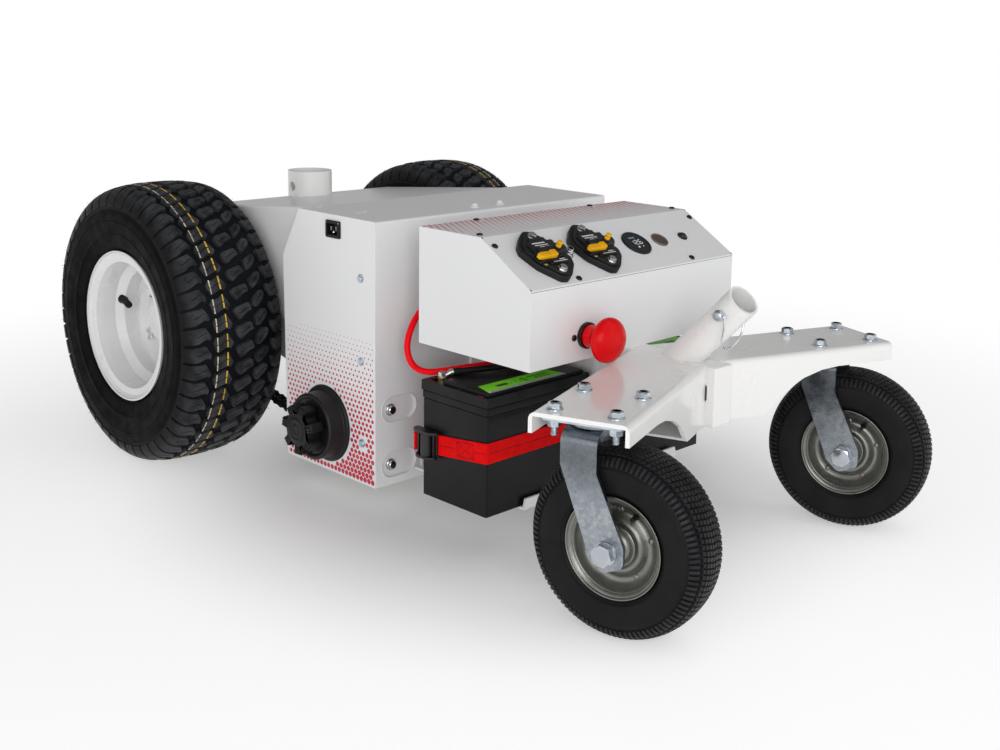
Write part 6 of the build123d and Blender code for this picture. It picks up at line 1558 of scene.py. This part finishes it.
def battery_detail(side, s):
    b = Build()      # 0 case, 1 dark groove, 2 green, 3 grey, 4 marks, 5 red
    xc, yc, w, d = s * (BX0 + BX1) / 2, (BY0 + BY1) / 2, BX1 - BX0, BY1 - BY0
    f = top_frame(xc, yc, 0.0)
    prism(b, f, rounded(box2(w - 3.4, d - 3.4), 2.8, 4), 64.3, 200.2, 0.9, 0, seg=3)
    prism(b, f, rounded(box2(w - 6.0, d - 6.0), 2.0, 3), 200.0, 212.0, 0.0, 1)
    prism(b, f, rounded(box2(w - 1.6, d - 1.6), 2.6, 4), 201.3, 210.9, 0.6, 0, seg=3)
    # ribs under the lid, on the long faces
    for k in range(30):
        x = -w / 2 + 9 + 6.1 * k
        for y in (-1, 1):
            prism(b, f, rounded(box2(2.6, 1.0, x, y * (d / 2 - 1.35)), 0.3, 2), 193.2, 197.4, 0.25, 0)
    g = top_frame(0, 0, 0.0)
    # lid in strips round the two terminal pockets
    for x0, x1, y0, y1 in ((BX0, BX1, BY0, -121.6), (BX0, BX1, -95.6, BY1), (BX0, 40.4, -121.6, -95.6), (60.4, 199.4, -121.6, -95.6),
                           (219.4, BX1, -121.6, -95.6)):
        prism(b, g, flip([(x0, y0), (x1, y0), (x1, y1), (x0, y1)], s), 211.9, 225.2, 0.0, 0)
    # rounded top edge of the lid
    e = rounded(box2(w - 1.7, d - 1.7), 1.8, 4)
    sweep(b, [f(x, y, 224.75) for x, y in e + e[:1]], 0.84, 10, 0, caps=False)
    e = rounded(box2(w - 1.4, d - 1.4), 1.8, 4)
    sweep(b, [f(x, y, 212.5) for x, y in e + e[:1]], 0.68, 8, 0, caps=False)
    # raised middle
    mid = [(38.9, -210.7), (220.9, -210.7), (220.9, -122.4), (198.6, -122.4), (198.6, -95.8), (61.2, -95.8), (61.2, -122.4), (38.9, -122.4)]
    prism(b, g, rounded(flip(mid, s), 2.2, 3), 225.0, 230.3, 0.9, 0, seg=3)
    # filler plug ring and two small recesses
    for x, y, r in ((187.6, -152.7, 10.0), (72.0, -152.7, 10.0)):
        h = top_frame(s * x, y, 230.28)
        lathe(b, h, [(r, -0.5), (r, 0.0), (r - 0.5, 0.22), (r - 1.2, 0.24), (r - 1.6, -0.1), (r - 1.6, -0.4)], 36, 0)
        lathe(b, h, [(r - 2.0, -0.3), (r - 2.0, 0.16), (r - 2.6, 0.22), (0, 0.22)], 36, 0)
    for x in (93.1, 166.0):
        h = front_frame(s * x, 219.5, BY0)
        lathe(b, h, [(5.4, -3.0), (5.4, -0.15), (5.0, 0.0), (4.0, 0.0), (3.6, -0.4), (0, -0.5)], 24, 0)
    if True:
        # label: green field, grey strip with short marks along the front edge, plain bars
        c, tz = -1 if s < 0 else 1, 230.3
        g2 = top_frame(0, 0, tz)
        prism(b, g2, rounded(flip([(74, -203.8), (216.2, -203.8), (207.6, -176.8), (79, -176.8)], s), 1.2, 2), -0.05, 0.14, 0, 2, bottom=False)
        prism(b, g2, flip([(74.0, -209.6), (217.2, -209.6), (216.2, -203.6), (74.4, -203.6)], s), 0.0, 0.2, 0, 3, bottom=False)
        for k in range(34):
            prism(b, g2, flip([(77 + 4.05 * k, -208.6), (79.2 + 4.05 * k, -208.6), (79.2 + 4.05 * k, -205.8 + (k % 3) * 0.5),
                               (77 + 4.05 * k, -205.8 + (k % 3) * 0.5)], s), 0.1, 0.27, 0, 4, bottom=False)
        for x0, x1, y0, y1 in ((92, 128, -188.5, -185.8), (92, 119, -193.8, -191.8), (92, 123, -198.6, -196.8), (136, 139, -199, -184), (168, 188, -195.5, -188.0)):
            prism(b, g2, flip([(x0, y0), (x1, y0), (x1, y1), (x0, y1)], s), 0.08, 0.24, 0, 4, bottom=False)
        for k in range(5):
            h = top_frame(s * (146.0 + 4.2 * k), -193.6, tz)
            prism(b, h, ngon(12, 1.5), 0.05, 0.24, 0, 3 if k % 2 else 4, bottom=False)
    # plain red marks by the plus terminal and the front corner
    for x, y, r in ((209.4, -126.2, 2.2), (224.2, -158.0, 1.6)):
        h = top_frame(s * x, y, 230.3 if x < 220 else 225.2)
        prism(b, h, ngon(14, r), -0.05, 0.16, 0, 5, bottom=False)
    h = top_frame(0, 0, 225.2)
    prism(b, h, flip([(222.4, -204.0), (226.6, -204.0), (224.8, -192.0)], s), -0.05, 0.16, 0, 5, bottom=False)
    b.make("battery_%s_detailed" % side, ["case", "rubber", "label_green", "label_grey", "label_dark", "red_ink"], "chassis",
           ("battery_%s" % side,), angle=30)


battery_detail("left", -1)
battery_detail("right", 1)


def terminals():
    b = Build()      # 0 tin, 1 brass, 2 steel
    for s in (-1, 1):
        for x in (209.4, 50.4):
            f = top_frame(s * x, -108.6, 0.0)
            prism(b, f, rounded(box2(12, 12), 1.2, 3), 214.0, 222.8, 0.5, 0)
            lathe(b, f, [(0, 223.0), (6.0, 223.0), (6.2, 223.3), (6.0, 224.4), (3.2, 224.6)], 28, 1)
            hexagon(b, f, 11.4, 224.4, 227.8, 1, turn=0.4, crown=0.4)
            lathe(b, f, [(3.3, 228.0), (6.3, 228.0), (6.5, 228.4), (6.5, 229.6), (6.2, 230.0), (3.3, 230.1)], 30, 0)
            lathe(b, f, [(3.2, 230.1), (5.6, 230.1), (5.7, 230.4), (5.5, 231.3), (3.2, 231.4)], 28, 1)
            hexagon(b, f, 9.8, 231.3, 237.0, 2, turn=0.15, crown=0.7)
            lathe(b, f, [(3.0, 223.0), (3.0, 231.3)], 16, 2)
    b.make("battery_terminals_detailed", ["tin", "brass", "bare_steel"], "chassis", ("battery_terminals",), angle=34)
    b = Build()      # crimped lugs between the eyes and the cables
    for (ex, ey), end, nxt in (((-50.4, -108.6), (-64.0, -114.5, 235.2), (-92.0, -125.0, 236.5)), ((50.4, -108.6), (64.0, -114.5, 235.2), (84.0, -120.0, 236.0)),
                               ((-209.4, -108.6), (-197.0, -112.5, 235.2), (-178.0, -121.0, 235.6)), ((209.4, -108.6), (209.5, -94.5, 230.6), (211.5, -76.0, 229.8))):
        a, e, q = Vector((ex, ey, 229.1)), Vector(end), Vector(nxt)
        u = (e - a).normalized()
        t = (q - e).normalized()
        sweep(b, [tuple(a + u * 5.0), tuple(a + u * 8.0), tuple(e - t * 1.0), tuple(e + t * 4.0)], 3.9, 14, 0, radii=[2.2, 3.6, 4.6, 4.7])
        sweep(b, [tuple(e + t * 2.5), tuple(e + t * 8.0), tuple(e + t * 15.0)], 4.9, 16, 1, radii=[4.95, 4.95, 4.7])
    b.make("cable_lugs", ["tin", "rubber"], "chassis", (), angle=40)


terminals()


# ---------------------------------------------------------------- straps and buckles
def strap_mid(y):
    return 152.0 - 0.11232 * (y - BY0)


def side_strap_frame(s, y, z, x=228.9):
    c, q = math.cos(math.atan(0.11232)), math.sin(math.atan(0.11232))
    return Frame((s * x, y, z), (0, s * c, -s * q), (0, q, c), (s, 0, 0))


def straps():
    b = Build()      # 0 webbing, 1 stitching
    for s in (-1, 1):
        xc, yc = s * (BX0 + BX1) / 2, (BY0 + BY1) / 2
        hw, hd, rc = (BX1 - BX0) / 2, (BY1 - BY0) / 2, 2.6
        path = []
        cs = [(hw - rc, -hd + rc, -math.pi / 2), (hw - rc, hd - rc, 0.0), (-hw + rc, hd - rc, math.pi / 2), (-hw + rc, -hd + rc, math.pi)]
        for i, (cx, cy, a0) in enumerate(cs):
            for k in range(5):
                a = a0 + k * math.pi / 8
                path.append((cx + rc * math.cos(a), cy + rc * math.sin(a), math.cos(a), math.sin(a)))
            nx_, ny_, na = cs[(i + 1) % 4]
            p0, p1 = path[-1], (nx_ + rc * math.cos(na), ny_ + rc * math.sin(na))
            for k in range(1, 8):
                u = k / 8
                path.append((p0[0] + (p1[0] - p0[0]) * u, p0[1] + (p1[1] - p0[1]) * u, p0[2], p0[3]))
        sec = [(0.3, 0.1), (0.0, 0.5), (0.1, 1.1), (0.7, 1.45), (1.6, 1.5), (2.4, 1.25), (8.0, 1.3), (13.2, 1.32), (14.0, 1.12), (14.8, 1.32),
               (20.0, 1.3), (25.6, 1.25), (26.4, 1.5), (27.3, 1.45), (27.9, 1.1), (28.0, 0.5), (27.7, 0.1)]
        vs = []
        for px, py, nx_, ny_ in path:
            zb = strap_mid(yc + py) - 14.0
            zb = min(max(zb, 123.5), 138.0)
            for wv, t in sec:
                vs.append((xc + px + nx_ * t, yc + py + ny_ * t, zb + wv))
        n, k = len(path), len(sec)
        fs = []
        for i in range(n):
            j = (i + 1) % n
            for a in range(k):
                c = (a + 1) % k
                fs.append((i * k + a, j * k + a, j * k + c, i * k + c))
        b.add(vs, fs, 0)
        # centre stitching on the front and the outer side, cross stitched square beside the buckle
        f = front_frame(xc, 152.0, BY0 - 1.12)
        x = -hw + 6
        while x < hw - 6:
            prism(b, f, rounded(box2(3.4, 0.8, x, 0), 0.3, 2), -0.1, 0.28, 0.1, 1)
            x += 5.2
        for y0, y1 in ((-212, -126),):
            y = y0
            while y < y1:
                f = side_strap_frame(s, y, strap_mid(y), 228.52)
                if not -195 < y < -157:
                    prism(b, f, rounded(box2(3.4, 0.8), 0.3, 2), -0.1, 0.3, 0.1, 1)
                y += 5.2
        f = side_strap_frame(s, -176.2, strap_mid(-176.2), 228.9)
        W, H = 15.8, 9.8
        for k in range(9):
            for yy in (-H, H):
                prism(b, f, rounded(box2(2.7, 0.75, -W + 1.6 + k * (2 * W - 3.2) / 8, yy), 0.3, 2), -0.4, 0.0, 0.1, 1)
        for k in range(6):
            for xx in (-W, W):
                prism(b, f, rounded(box2(0.75, 2.7, xx, -H + 1.6 + k * (2 * H - 3.2) / 5), 0.3, 2), -0.4, 0.0, 0.1, 1)
        for m in (-1, 1):
            for k in range(9):
                u = -0.89 + 1.78 * k / 8
                h = f.at(u * W, m * u * H, 0.0, math.atan2(m * H, W))
                prism(b, h, rounded(box2(3.0, 0.75), 0.3, 2), -0.4, 0.0, 0.1, 1)
    b.make("battery_straps_woven", ["web", "stitch"], "chassis", ("battery_straps",), angle=34)
    b = Build()      # 0 black, 1 webbing tail
    for s in (-1, 1):
        f = Frame((s * 228.9, -105.0, 141.0), (0, s, 0), (0, 0, 1), (s, 0, 0))
        prism(b, f, rounded(box2(36, 37.6), 4, 4), 0.0, 2.6, 0.8, 0, seg=3)
        g = Frame((s * 228.9, -105.0, 141.0), (0, s, 0), (s, 0, 0), (0, 0, -1))
        if s < 0:
            g = Frame((s * 228.9, -105.0, 141.0), (0, s, 0), (s, 0, 0), (0, 0, -1))
        else:
            g = Frame((s * 228.9, -105.0, 141.0), (0, s, 0), (s, 0, 0), (0, 0, -1))
        for z, half in ((17.5, 21.9), (-17.6, 17.9)):
            out = [(-half, 0.6), (half, 0.6), (half, 6.0), (half - 4.5, 11.8), (half - 11, 14.5), (-half + 9, 14.5), (-half + 3.0, 12.4), (-half, 8.0)]
            poly = rounded(out, 2.6, 4)
            prism(b, g, poly, -z - 1.9, -z + 1.9, 0.9, 0, seg=3)
        lathe(b, g.at(1.0, 7.2), [(0, -15.9), (6.6, -15.9), (7.2, -15.2), (7.2, 15.2), (6.6, 15.9), (0, 15.9)], 36, 0)
        prism(b, g, rounded([(1.0, 0.6), (9.0, 3.0), (12.0, 7.6), (9.6, 13.2), (2.0, 14.3), (-5.2, 11.0)], 2.2, 4), -15.2, 15.2, 0.8, 0, seg=3)
        for a in (-15.6, 14.6):
            prism(b, g, rounded([(a - 1.7, 0.6), (a + 1.7, 0.6), (a + 1.7, 7.0), (a - 1.7, 7.0)], 0.8, 3), -16.4, 16.4, 0.5, 0)
        # webbing led round the roller, its free end turned back behind the ledges
        tail = [(-21.9, 0.6), (-17.2, 0.5), (-17.0, 2.4), (-19.4, 4.4), (-19.8, 8.6), (-21.6, 8.8), (-21.4, 4.0)] if s > 0 else \
               [(17.2, 0.5), (21.9, 0.6), (21.4, 4.0), (21.6, 8.8), (19.8, 8.6), (19.4, 4.4), (17.0, 2.4)]
        tail = [(-abs(x), y) for x, y in tail]
        if s < 0:
            tail = [(x, y) for x, y in tail]
        prism(b, g, ccw([(x if s < 0 else x, y) for x, y in tail]), -13.0, 13.0, 0.0, 1)
    b.make("strap_buckles_detailed", ["buckle", "web"], "chassis", ("strap_buckles",), angle=34)


straps()


# ---------------------------------------------------------------- chain
def chain():
    c1, r1, c2, r2 = Vector((115.0, 119.4)), 55.78, Vector((468.5, 222.5)), 91.07
    d = c2 - c1
    phi, al = math.atan2(d.y, d.x), math.acos((r1 - r2) / d.length)
    L = math.sqrt(d.length ** 2 - (r2 - r1) ** 2)
    parts = [L, 2 * al * r2, L, (2 * math.pi - 2 * al) * r1]
    total = sum(parts)
    n = 2 * round(total / 15.875 / 2)
    p = total / n
    nu, nl = phi + al, phi - al

    def at(s):
        s %= total
        if s < parts[0]:
            return c1 + Vector((math.cos(nu), math.sin(nu))) * r1 + (c2 - c1 + Vector((math.cos(nu), math.sin(nu))) * (r2 - r1)) * (s / L)
        s -= parts[0]
        if s < parts[1]:
            a = nu - s / r2
            return c2 + Vector((math.cos(a), math.sin(a))) * r2
        s -= parts[1]
        if s < parts[2]:
            v = Vector((math.cos(nl), math.sin(nl)))
            return c2 + v * r2 + (c1 - c2 + v * (r1 - r2)) * (s / L)
        s -= parts[2]
        a = nl - s / r1
        return c1 + Vector((math.cos(a), math.sin(a))) * r1

    b = Build()
    pts = [at(i * p + 5.0) for i in range(n)]
    for i in range(n):
        a, e = pts[i], pts[(i + 1) % n]
        m, u = (a + e) / 2, (e - a)
        h = u.length / 2
        u.normalize()
        out = []
        for k in range(9):
            t = math.radians(-122 + 244 * k / 8)
            out.append((h + 6.7 * math.cos(t), 6.7 * math.sin(t)))
        out.append((0.0, 4.9))
        for k in range(9):
            t = math.radians(58 + 244 * k / 8)
            out.append((-h + 6.7 * math.cos(t), 6.7 * math.sin(t)))
        out.append((0.0, -4.9))
        f = Frame((0, m.x, m.y), (0, u.x, u.y), (0, -u.y, u.x), (1, 0, 0))
        for x0, x1 in ((((-190.9, -189.6), (-176.4, -175.1)) if i % 2 else ((-189.4, -188.1), (-177.9, -176.6)))):
            prism(b, f, out, x0, x1, 0.0, 0)
        g = Frame((0, a.x, a.y), (0, 1, 0), (0, 0, 1), (1, 0, 0))
        lathe(b, g, [(0, -190.98), (2.5, -190.98), (2.5, -175.02), (0, -175.02)], 10, 0)
        lathe(b, g, [(5.0, -188.1), (5.0, -177.9)], 14, 0)
    b.make("drive_chain_links", ["chain"], "chassis", ("drive_chain",), angle=30)


chain()


# ---------------------------------------------------------------- wheel nuts
def wheel_nuts():
    b = Build()
    for s in (-1, 1):
        for k in range(4):
            a = math.radians(-36.87 + 90 * k)
            f = Frame((s * 290.0, 468.5 + 50.8 * math.cos(a), 222.5 + 50.8 * math.sin(a)), (0, s, 0), (0, 0, 1), (s, 0, 0))
            lathe(b, f, [(6.1, 0.0), (8.0, 0.05), (9.4, 2.6), (9.5, 3.0), (6.1, 3.0)], 32)
            hexagon(b, f, 18.6, 2.9, 12.0, turn=0.3 * k, crown=1.0)
            lathe(b, f, [(6.0, 11.9), (6.0, 11.2), (6.3, 0.0)], 28)
    b.make("wheel_nuts_detailed", ["chrome"], "axle_assembly", ("wheel_nuts",), angle=34)


wheel_nuts()


# ---------------------------------------------------------------- lock pin and bail
def pin():
    PY, PZ = -444.9 + 27.5 * math.sqrt(0.5), 360.5 - 27.5 * math.sqrt(0.5)
    b = Build()
    f = Frame((-31.0, PY, PZ), (0, 1, 0), (0, 0, 1), (1, 0, 0))
    lathe(b, f, smooth_profile([(0.0, 0.0), (3.6, 0.25), (5.8, 1.2), (7.1, 2.8), (7.5, 4.6), (7.3, 6.2), (6.6, 6.95)], 4)
          + [(4.0, 7.0), (4.0, 60.6), (3.4, 62.2), (2.0, 63.0), (0, 63.0)], 40)
    b.make("lock_pin_turned", ["zinc"], "chassis", ("lock_pin",), angle=40)
    b = Build()
    key = [(-27.5, PY + 8.6, PZ), (-27.5, PY + 2, PZ), (-27.5, PY - 9.0, PZ), (-27.45, PY - 10.85, PZ - 3.0), (-27.3, PY - 10.6, PZ - 14), (-25.6, PY - 8.0, PZ - 23),
           (-22.4, PY - 4.4, PZ - 34), (-17.0, PY - 2.0, PZ - 41.5), (-9.0, PY - 0.6, PZ - 45.4), (1.0, PY, PZ - 46.6), (10.0, PY, PZ - 44.4), (19.0, PY, PZ - 39.6),
           (25.4, PY, PZ - 33.0), (29.2, PY, PZ - 25.4), (30.8, PY, PZ - 16), (30.9, PY, PZ - 5.7)]
    P = [Vector(k) for k in key]
    pts = []
    for i in range(len(P) - 1):
        p0, p1 = P[i], P[i + 1]
        a = P[i - 1] if i > 0 else p0 - (p1 - p0)
        c = P[i + 2] if i + 2 < len(P) else p1 + (p1 - p0)
        for j in range(4):
            u = j / 4
            pts.append(tuple(0.5 * ((2 * p0) + (p1 - a) * u + (2 * a - 5 * p0 + 4 * p1 - c) * u * u + (3 * p0 - a - 3 * p1 + c) * u ** 3)))
    pts.append(tuple(P[-1]))
    sweep(b, pts, 1.4, 14, 0)
    # flattened eye on the head's front
    f = Frame((-27.5, PY - 10.9, PZ), (1, 0, 0), (0, 0, 1), (0, -1, 0))
    lathe(b, f, [(0, -1.2), (2.6, -1.2), (3.0, -0.6), (2.6, 0.6), (1.4, 1.25), (0, 1.3)], 24)
    b.make("pin_bail_wire", ["chrome"], "bail", ("pin_bail",), angle=60)


pin()


# ---------------------------------------------------------------- small sheet details
def sheet_details():
    b = Build()      # 0 white, 1 dark
    for px, pz in ((-194.5, 159.5), (-194.5, 78.2), (194.5, 159.5), (194.5, 78.2)):
        f = front_frame(px, pz, 0.0)
        out = []
        for sx in (1, -1):
            for k in range(17):
                a = -math.pi / 2 + math.pi * k / 16 + (0 if sx > 0 else math.pi)
                out.append((sx * 12.5 + 19.35 * math.cos(a), 19.35 * math.sin(a)))
        sweep(b, [f(x, y, -0.15) for x, y in out + out[:1]], 0.62, 8, 0, caps=False)
        sweep(b, [f(x * 0.985, y * 0.975, -5.1) for x, y in out + out[:1]], 0.7, 8, 0, caps=False)
    g = top_frame(0, 0, 430.2)
    for x in (-2.75, -1.25):
        prism(b, g, rounded(box2(0.9, 104, x, 57), 0.3, 2), -0.5, 0.22, 0.15, 0)
    for s in (-1, 1):
        for q in (1.5, 106.2):
            prism(b, slope_frame(s * 210.4, q), rounded(box2(1.9, 3.2), 0.7, 2), -0.6, 0.09, 0, 1, bottom=False)
    b.make("sheet_edges", ["white", "rubber"], "chassis", (), angle=50)


sheet_details()


# ---------------------------------------------------------------- studio
def make_floor():
    bm = bmesh.new()
    n = 64
    rings = [0.0, 0.5, 1.0, 1.6, 2.4, 4.0, 8.0, 20.0, 60.0]
    prev = None
    for r in rings:
        if r == 0.0:
            prev = [bm.verts.new((0, 0, -0.0002))]
            continue
        cur = [bm.verts.new((r * math.cos(2 * math.pi * i / n), r * math.sin(2 * math.pi * i / n), -0.0002)) for i in range(n)]
        for i in range(n):
            j = (i + 1) % n
            if len(prev) == 1:
                bm.faces.new((prev[0], cur[i], cur[j]))
            else:
                bm.faces.new((prev[i], cur[i], cur[j], prev[j]))
        prev = cur
    me = bpy.data.meshes.new("floor")
    bm.to_mesh(me)
    bm.free()
    m = bpy.data.materials.new("floor_pale")
    m.use_nodes = True
    nt = m.node_tree
    nt.nodes.clear()
    out = nd(nt, "ShaderNodeOutputMaterial", 700, 0)
    b = nd(nt, "ShaderNodeBsdfPrincipled", 100, 0)
    b.inputs["Base Color"].default_value = (0.80, 0.80, 0.80, 1)
    b.inputs["Roughness"].default_value = 0.9
    b.inputs["Specular IOR Level"].default_value = 0.1
    b.inputs["Emission Color"].default_value = (1, 1, 1, 1)
    b.inputs["Emission Strength"].default_value = FLOOR_GLOW
    e = nd(nt, "ShaderNodeEmission", 100, -500)
    e.inputs["Color"].default_value = (1, 1, 1, 1)
    e.inputs["Strength"].default_value = 1.0
    tc = nd(nt, "ShaderNodeTexCoord", -700, 0)
    ln = nd(nt, "ShaderNodeVectorMath", -500, 0, operation="LENGTH")
    nt.links.new(tc.outputs["Object"], ln.inputs[0])
    r = nd(nt, "ShaderNodeMapRange", -300, 0, interpolation_type="SMOOTHSTEP")
    r.inputs["From Min"].default_value = 0.55
    r.inputs["From Max"].default_value = 1.7
    nt.links.new(ln.outputs["Value"], r.inputs["Value"])
    # painted shadow: less glow on the floor under the housing, a darker patch where the housing's contact shadow falls
    painted_shadow_centre = nd(nt, "ShaderNodeVectorMath", -500, -250, operation="ADD")
    painted_shadow_centre.inputs[1].default_value = (0.0, 0.07, 0.0)
    nt.links.new(tc.outputs["Object"], painted_shadow_centre.inputs[0])
    painted_shadow_dist = nd(nt, "ShaderNodeVectorMath", -350, -250, operation="LENGTH")
    nt.links.new(painted_shadow_centre.outputs["Vector"], painted_shadow_dist.inputs[0])
    g = nd(nt, "ShaderNodeMapRange", -200, -250, interpolation_type="SMOOTHSTEP")
    g.inputs["From Min"].default_value = 0.20
    g.inputs["From Max"].default_value = 0.62
    g.inputs["To Min"].default_value = 0.10
    g.inputs["To Max"].default_value = FLOOR_GLOW
    nt.links.new(painted_shadow_dist.outputs["Value"], g.inputs["Value"])
    nt.links.new(g.outputs["Result"], b.inputs["Emission Strength"])
    mx = nd(nt, "ShaderNodeMixShader", 450, 0)
    nt.links.new(r.outputs["Result"], mx.inputs["Fac"])
    nt.links.new(b.outputs["BSDF"], mx.inputs[1])
    nt.links.new(e.outputs["Emission"], mx.inputs[2])
    nt.links.new(mx.outputs["Shader"], out.inputs["Surface"])
    me.materials.append(m)
    ob = bpy.data.objects.new("floor", me)
    bpy.context.scene.collection.objects.link(ob)


def area(name, loc, target, size, power, size_y=None, colour=(1, 1, 1)):
    l = bpy.data.lights.new(name, "AREA")
    l.shape = "RECTANGLE"
    l.size, l.size_y = size, size_y or size
    l.energy = power
    l.color = colour
    ob = bpy.data.objects.new(name, l)
    bpy.context.scene.collection.objects.link(ob)
    ob.location = loc
    ob.rotation_euler = (Vector(target) - Vector(loc)).to_track_quat("-Z", "Y").to_euler()


FLOOR_GLOW = 0.50
make_floor()
w = bpy.data.worlds.new("studio")
bpy.context.scene.world = w
w.use_nodes = True
nt = w.node_tree
nt.nodes.clear()
wo = nd(nt, "ShaderNodeOutputWorld", 900, 0)
tc = nd(nt, "ShaderNodeTexCoord", -900, 0)
sx = nd(nt, "ShaderNodeSeparateXYZ", -700, 0)
nt.links.new(tc.outputs["Generated"], sx.inputs["Vector"])


def sky(stops, y):
    rp = nd(nt, "ShaderNodeValToRGB", -400, y)
    els = rp.color_ramp.elements
    els[0].position, els[0].color = stops[0][0], (*[stops[0][1]] * 3, 1)
    els[1].position, els[1].color = stops[-1][0], (*[stops[-1][1]] * 3, 1)
    for p, v in stops[1:-1]:
        els.new(p).color = (v, v, v * 1.01, 1)
    nt.links.new(sx.outputs["Z"], rp.inputs["Fac"])
    return rp.outputs["Color"]


front_sky = sky([(0.0, 0.86), (0.25, 0.80), (0.5, 0.46), (1.0, 0.18)], 200)
rear_sky = sky([(0.0, 0.52), (0.15, 0.40), (0.5, 0.23), (1.0, 0.18)], -100)
dt = nd(nt, "ShaderNodeVectorMath", -700, -300, operation="DOT_PRODUCT")
dt.inputs[1].default_value = (-0.55, -0.83, 0.0)
nt.links.new(tc.outputs["Generated"], dt.inputs[0])
mr = nd(nt, "ShaderNodeMapRange", -400, -350, interpolation_type="SMOOTHSTEP")
mr.inputs["From Min"].default_value = -0.45
mr.inputs["From Max"].default_value = 0.55
nt.links.new(dt.outputs["Value"], mr.inputs["Value"])
mx = nd(nt, "ShaderNodeMix", 0, 0, data_type="RGBA")
nt.links.new(mr.outputs["Result"], mx.inputs["Factor"])
nt.links.new(rear_sky, mx.inputs["A"])
nt.links.new(front_sky, mx.inputs["B"])
bg = nd(nt, "ShaderNodeBackground", 300, 0)
nt.links.new(mx.outputs["Result"], bg.inputs["Color"])
bg2 = nd(nt, "ShaderNodeBackground", 300, -200)
bg2.inputs["Color"].default_value = (1, 1, 1, 1)
lp = nd(nt, "ShaderNodeLightPath", 300, 300)
ms = nd(nt, "ShaderNodeMixShader", 600, 0)
nt.links.new(lp.outputs["Is Camera Ray"], ms.inputs["Fac"])
nt.links.new(bg.outputs["Background"], ms.inputs[1])
nt.links.new(bg2.outputs["Background"], ms.inputs[2])
nt.links.new(ms.outputs["Shader"], wo.inputs["Surface"])
area("key_front_left", (-2.15, -2.6, 1.25), (-0.15, -0.1, 0.25), 1.8, 34.0)
area("side_left", (-2.9, -0.3, 0.9), (-0.2, 0.2, 0.25), 1.4, 5.0)
area("fill_right", (1.3, -2.4, 1.2), (0.2, -0.3, 0.2), 1.4, 3.0)
area("top_front", (0.5, -1.4, 2.4), (0.1, -0.25, 0.3), 2.0, 8.0)
bpy.context.scene.view_settings.view_transform = "Standard"
bpy.context.scene.view_settings.look = "None"
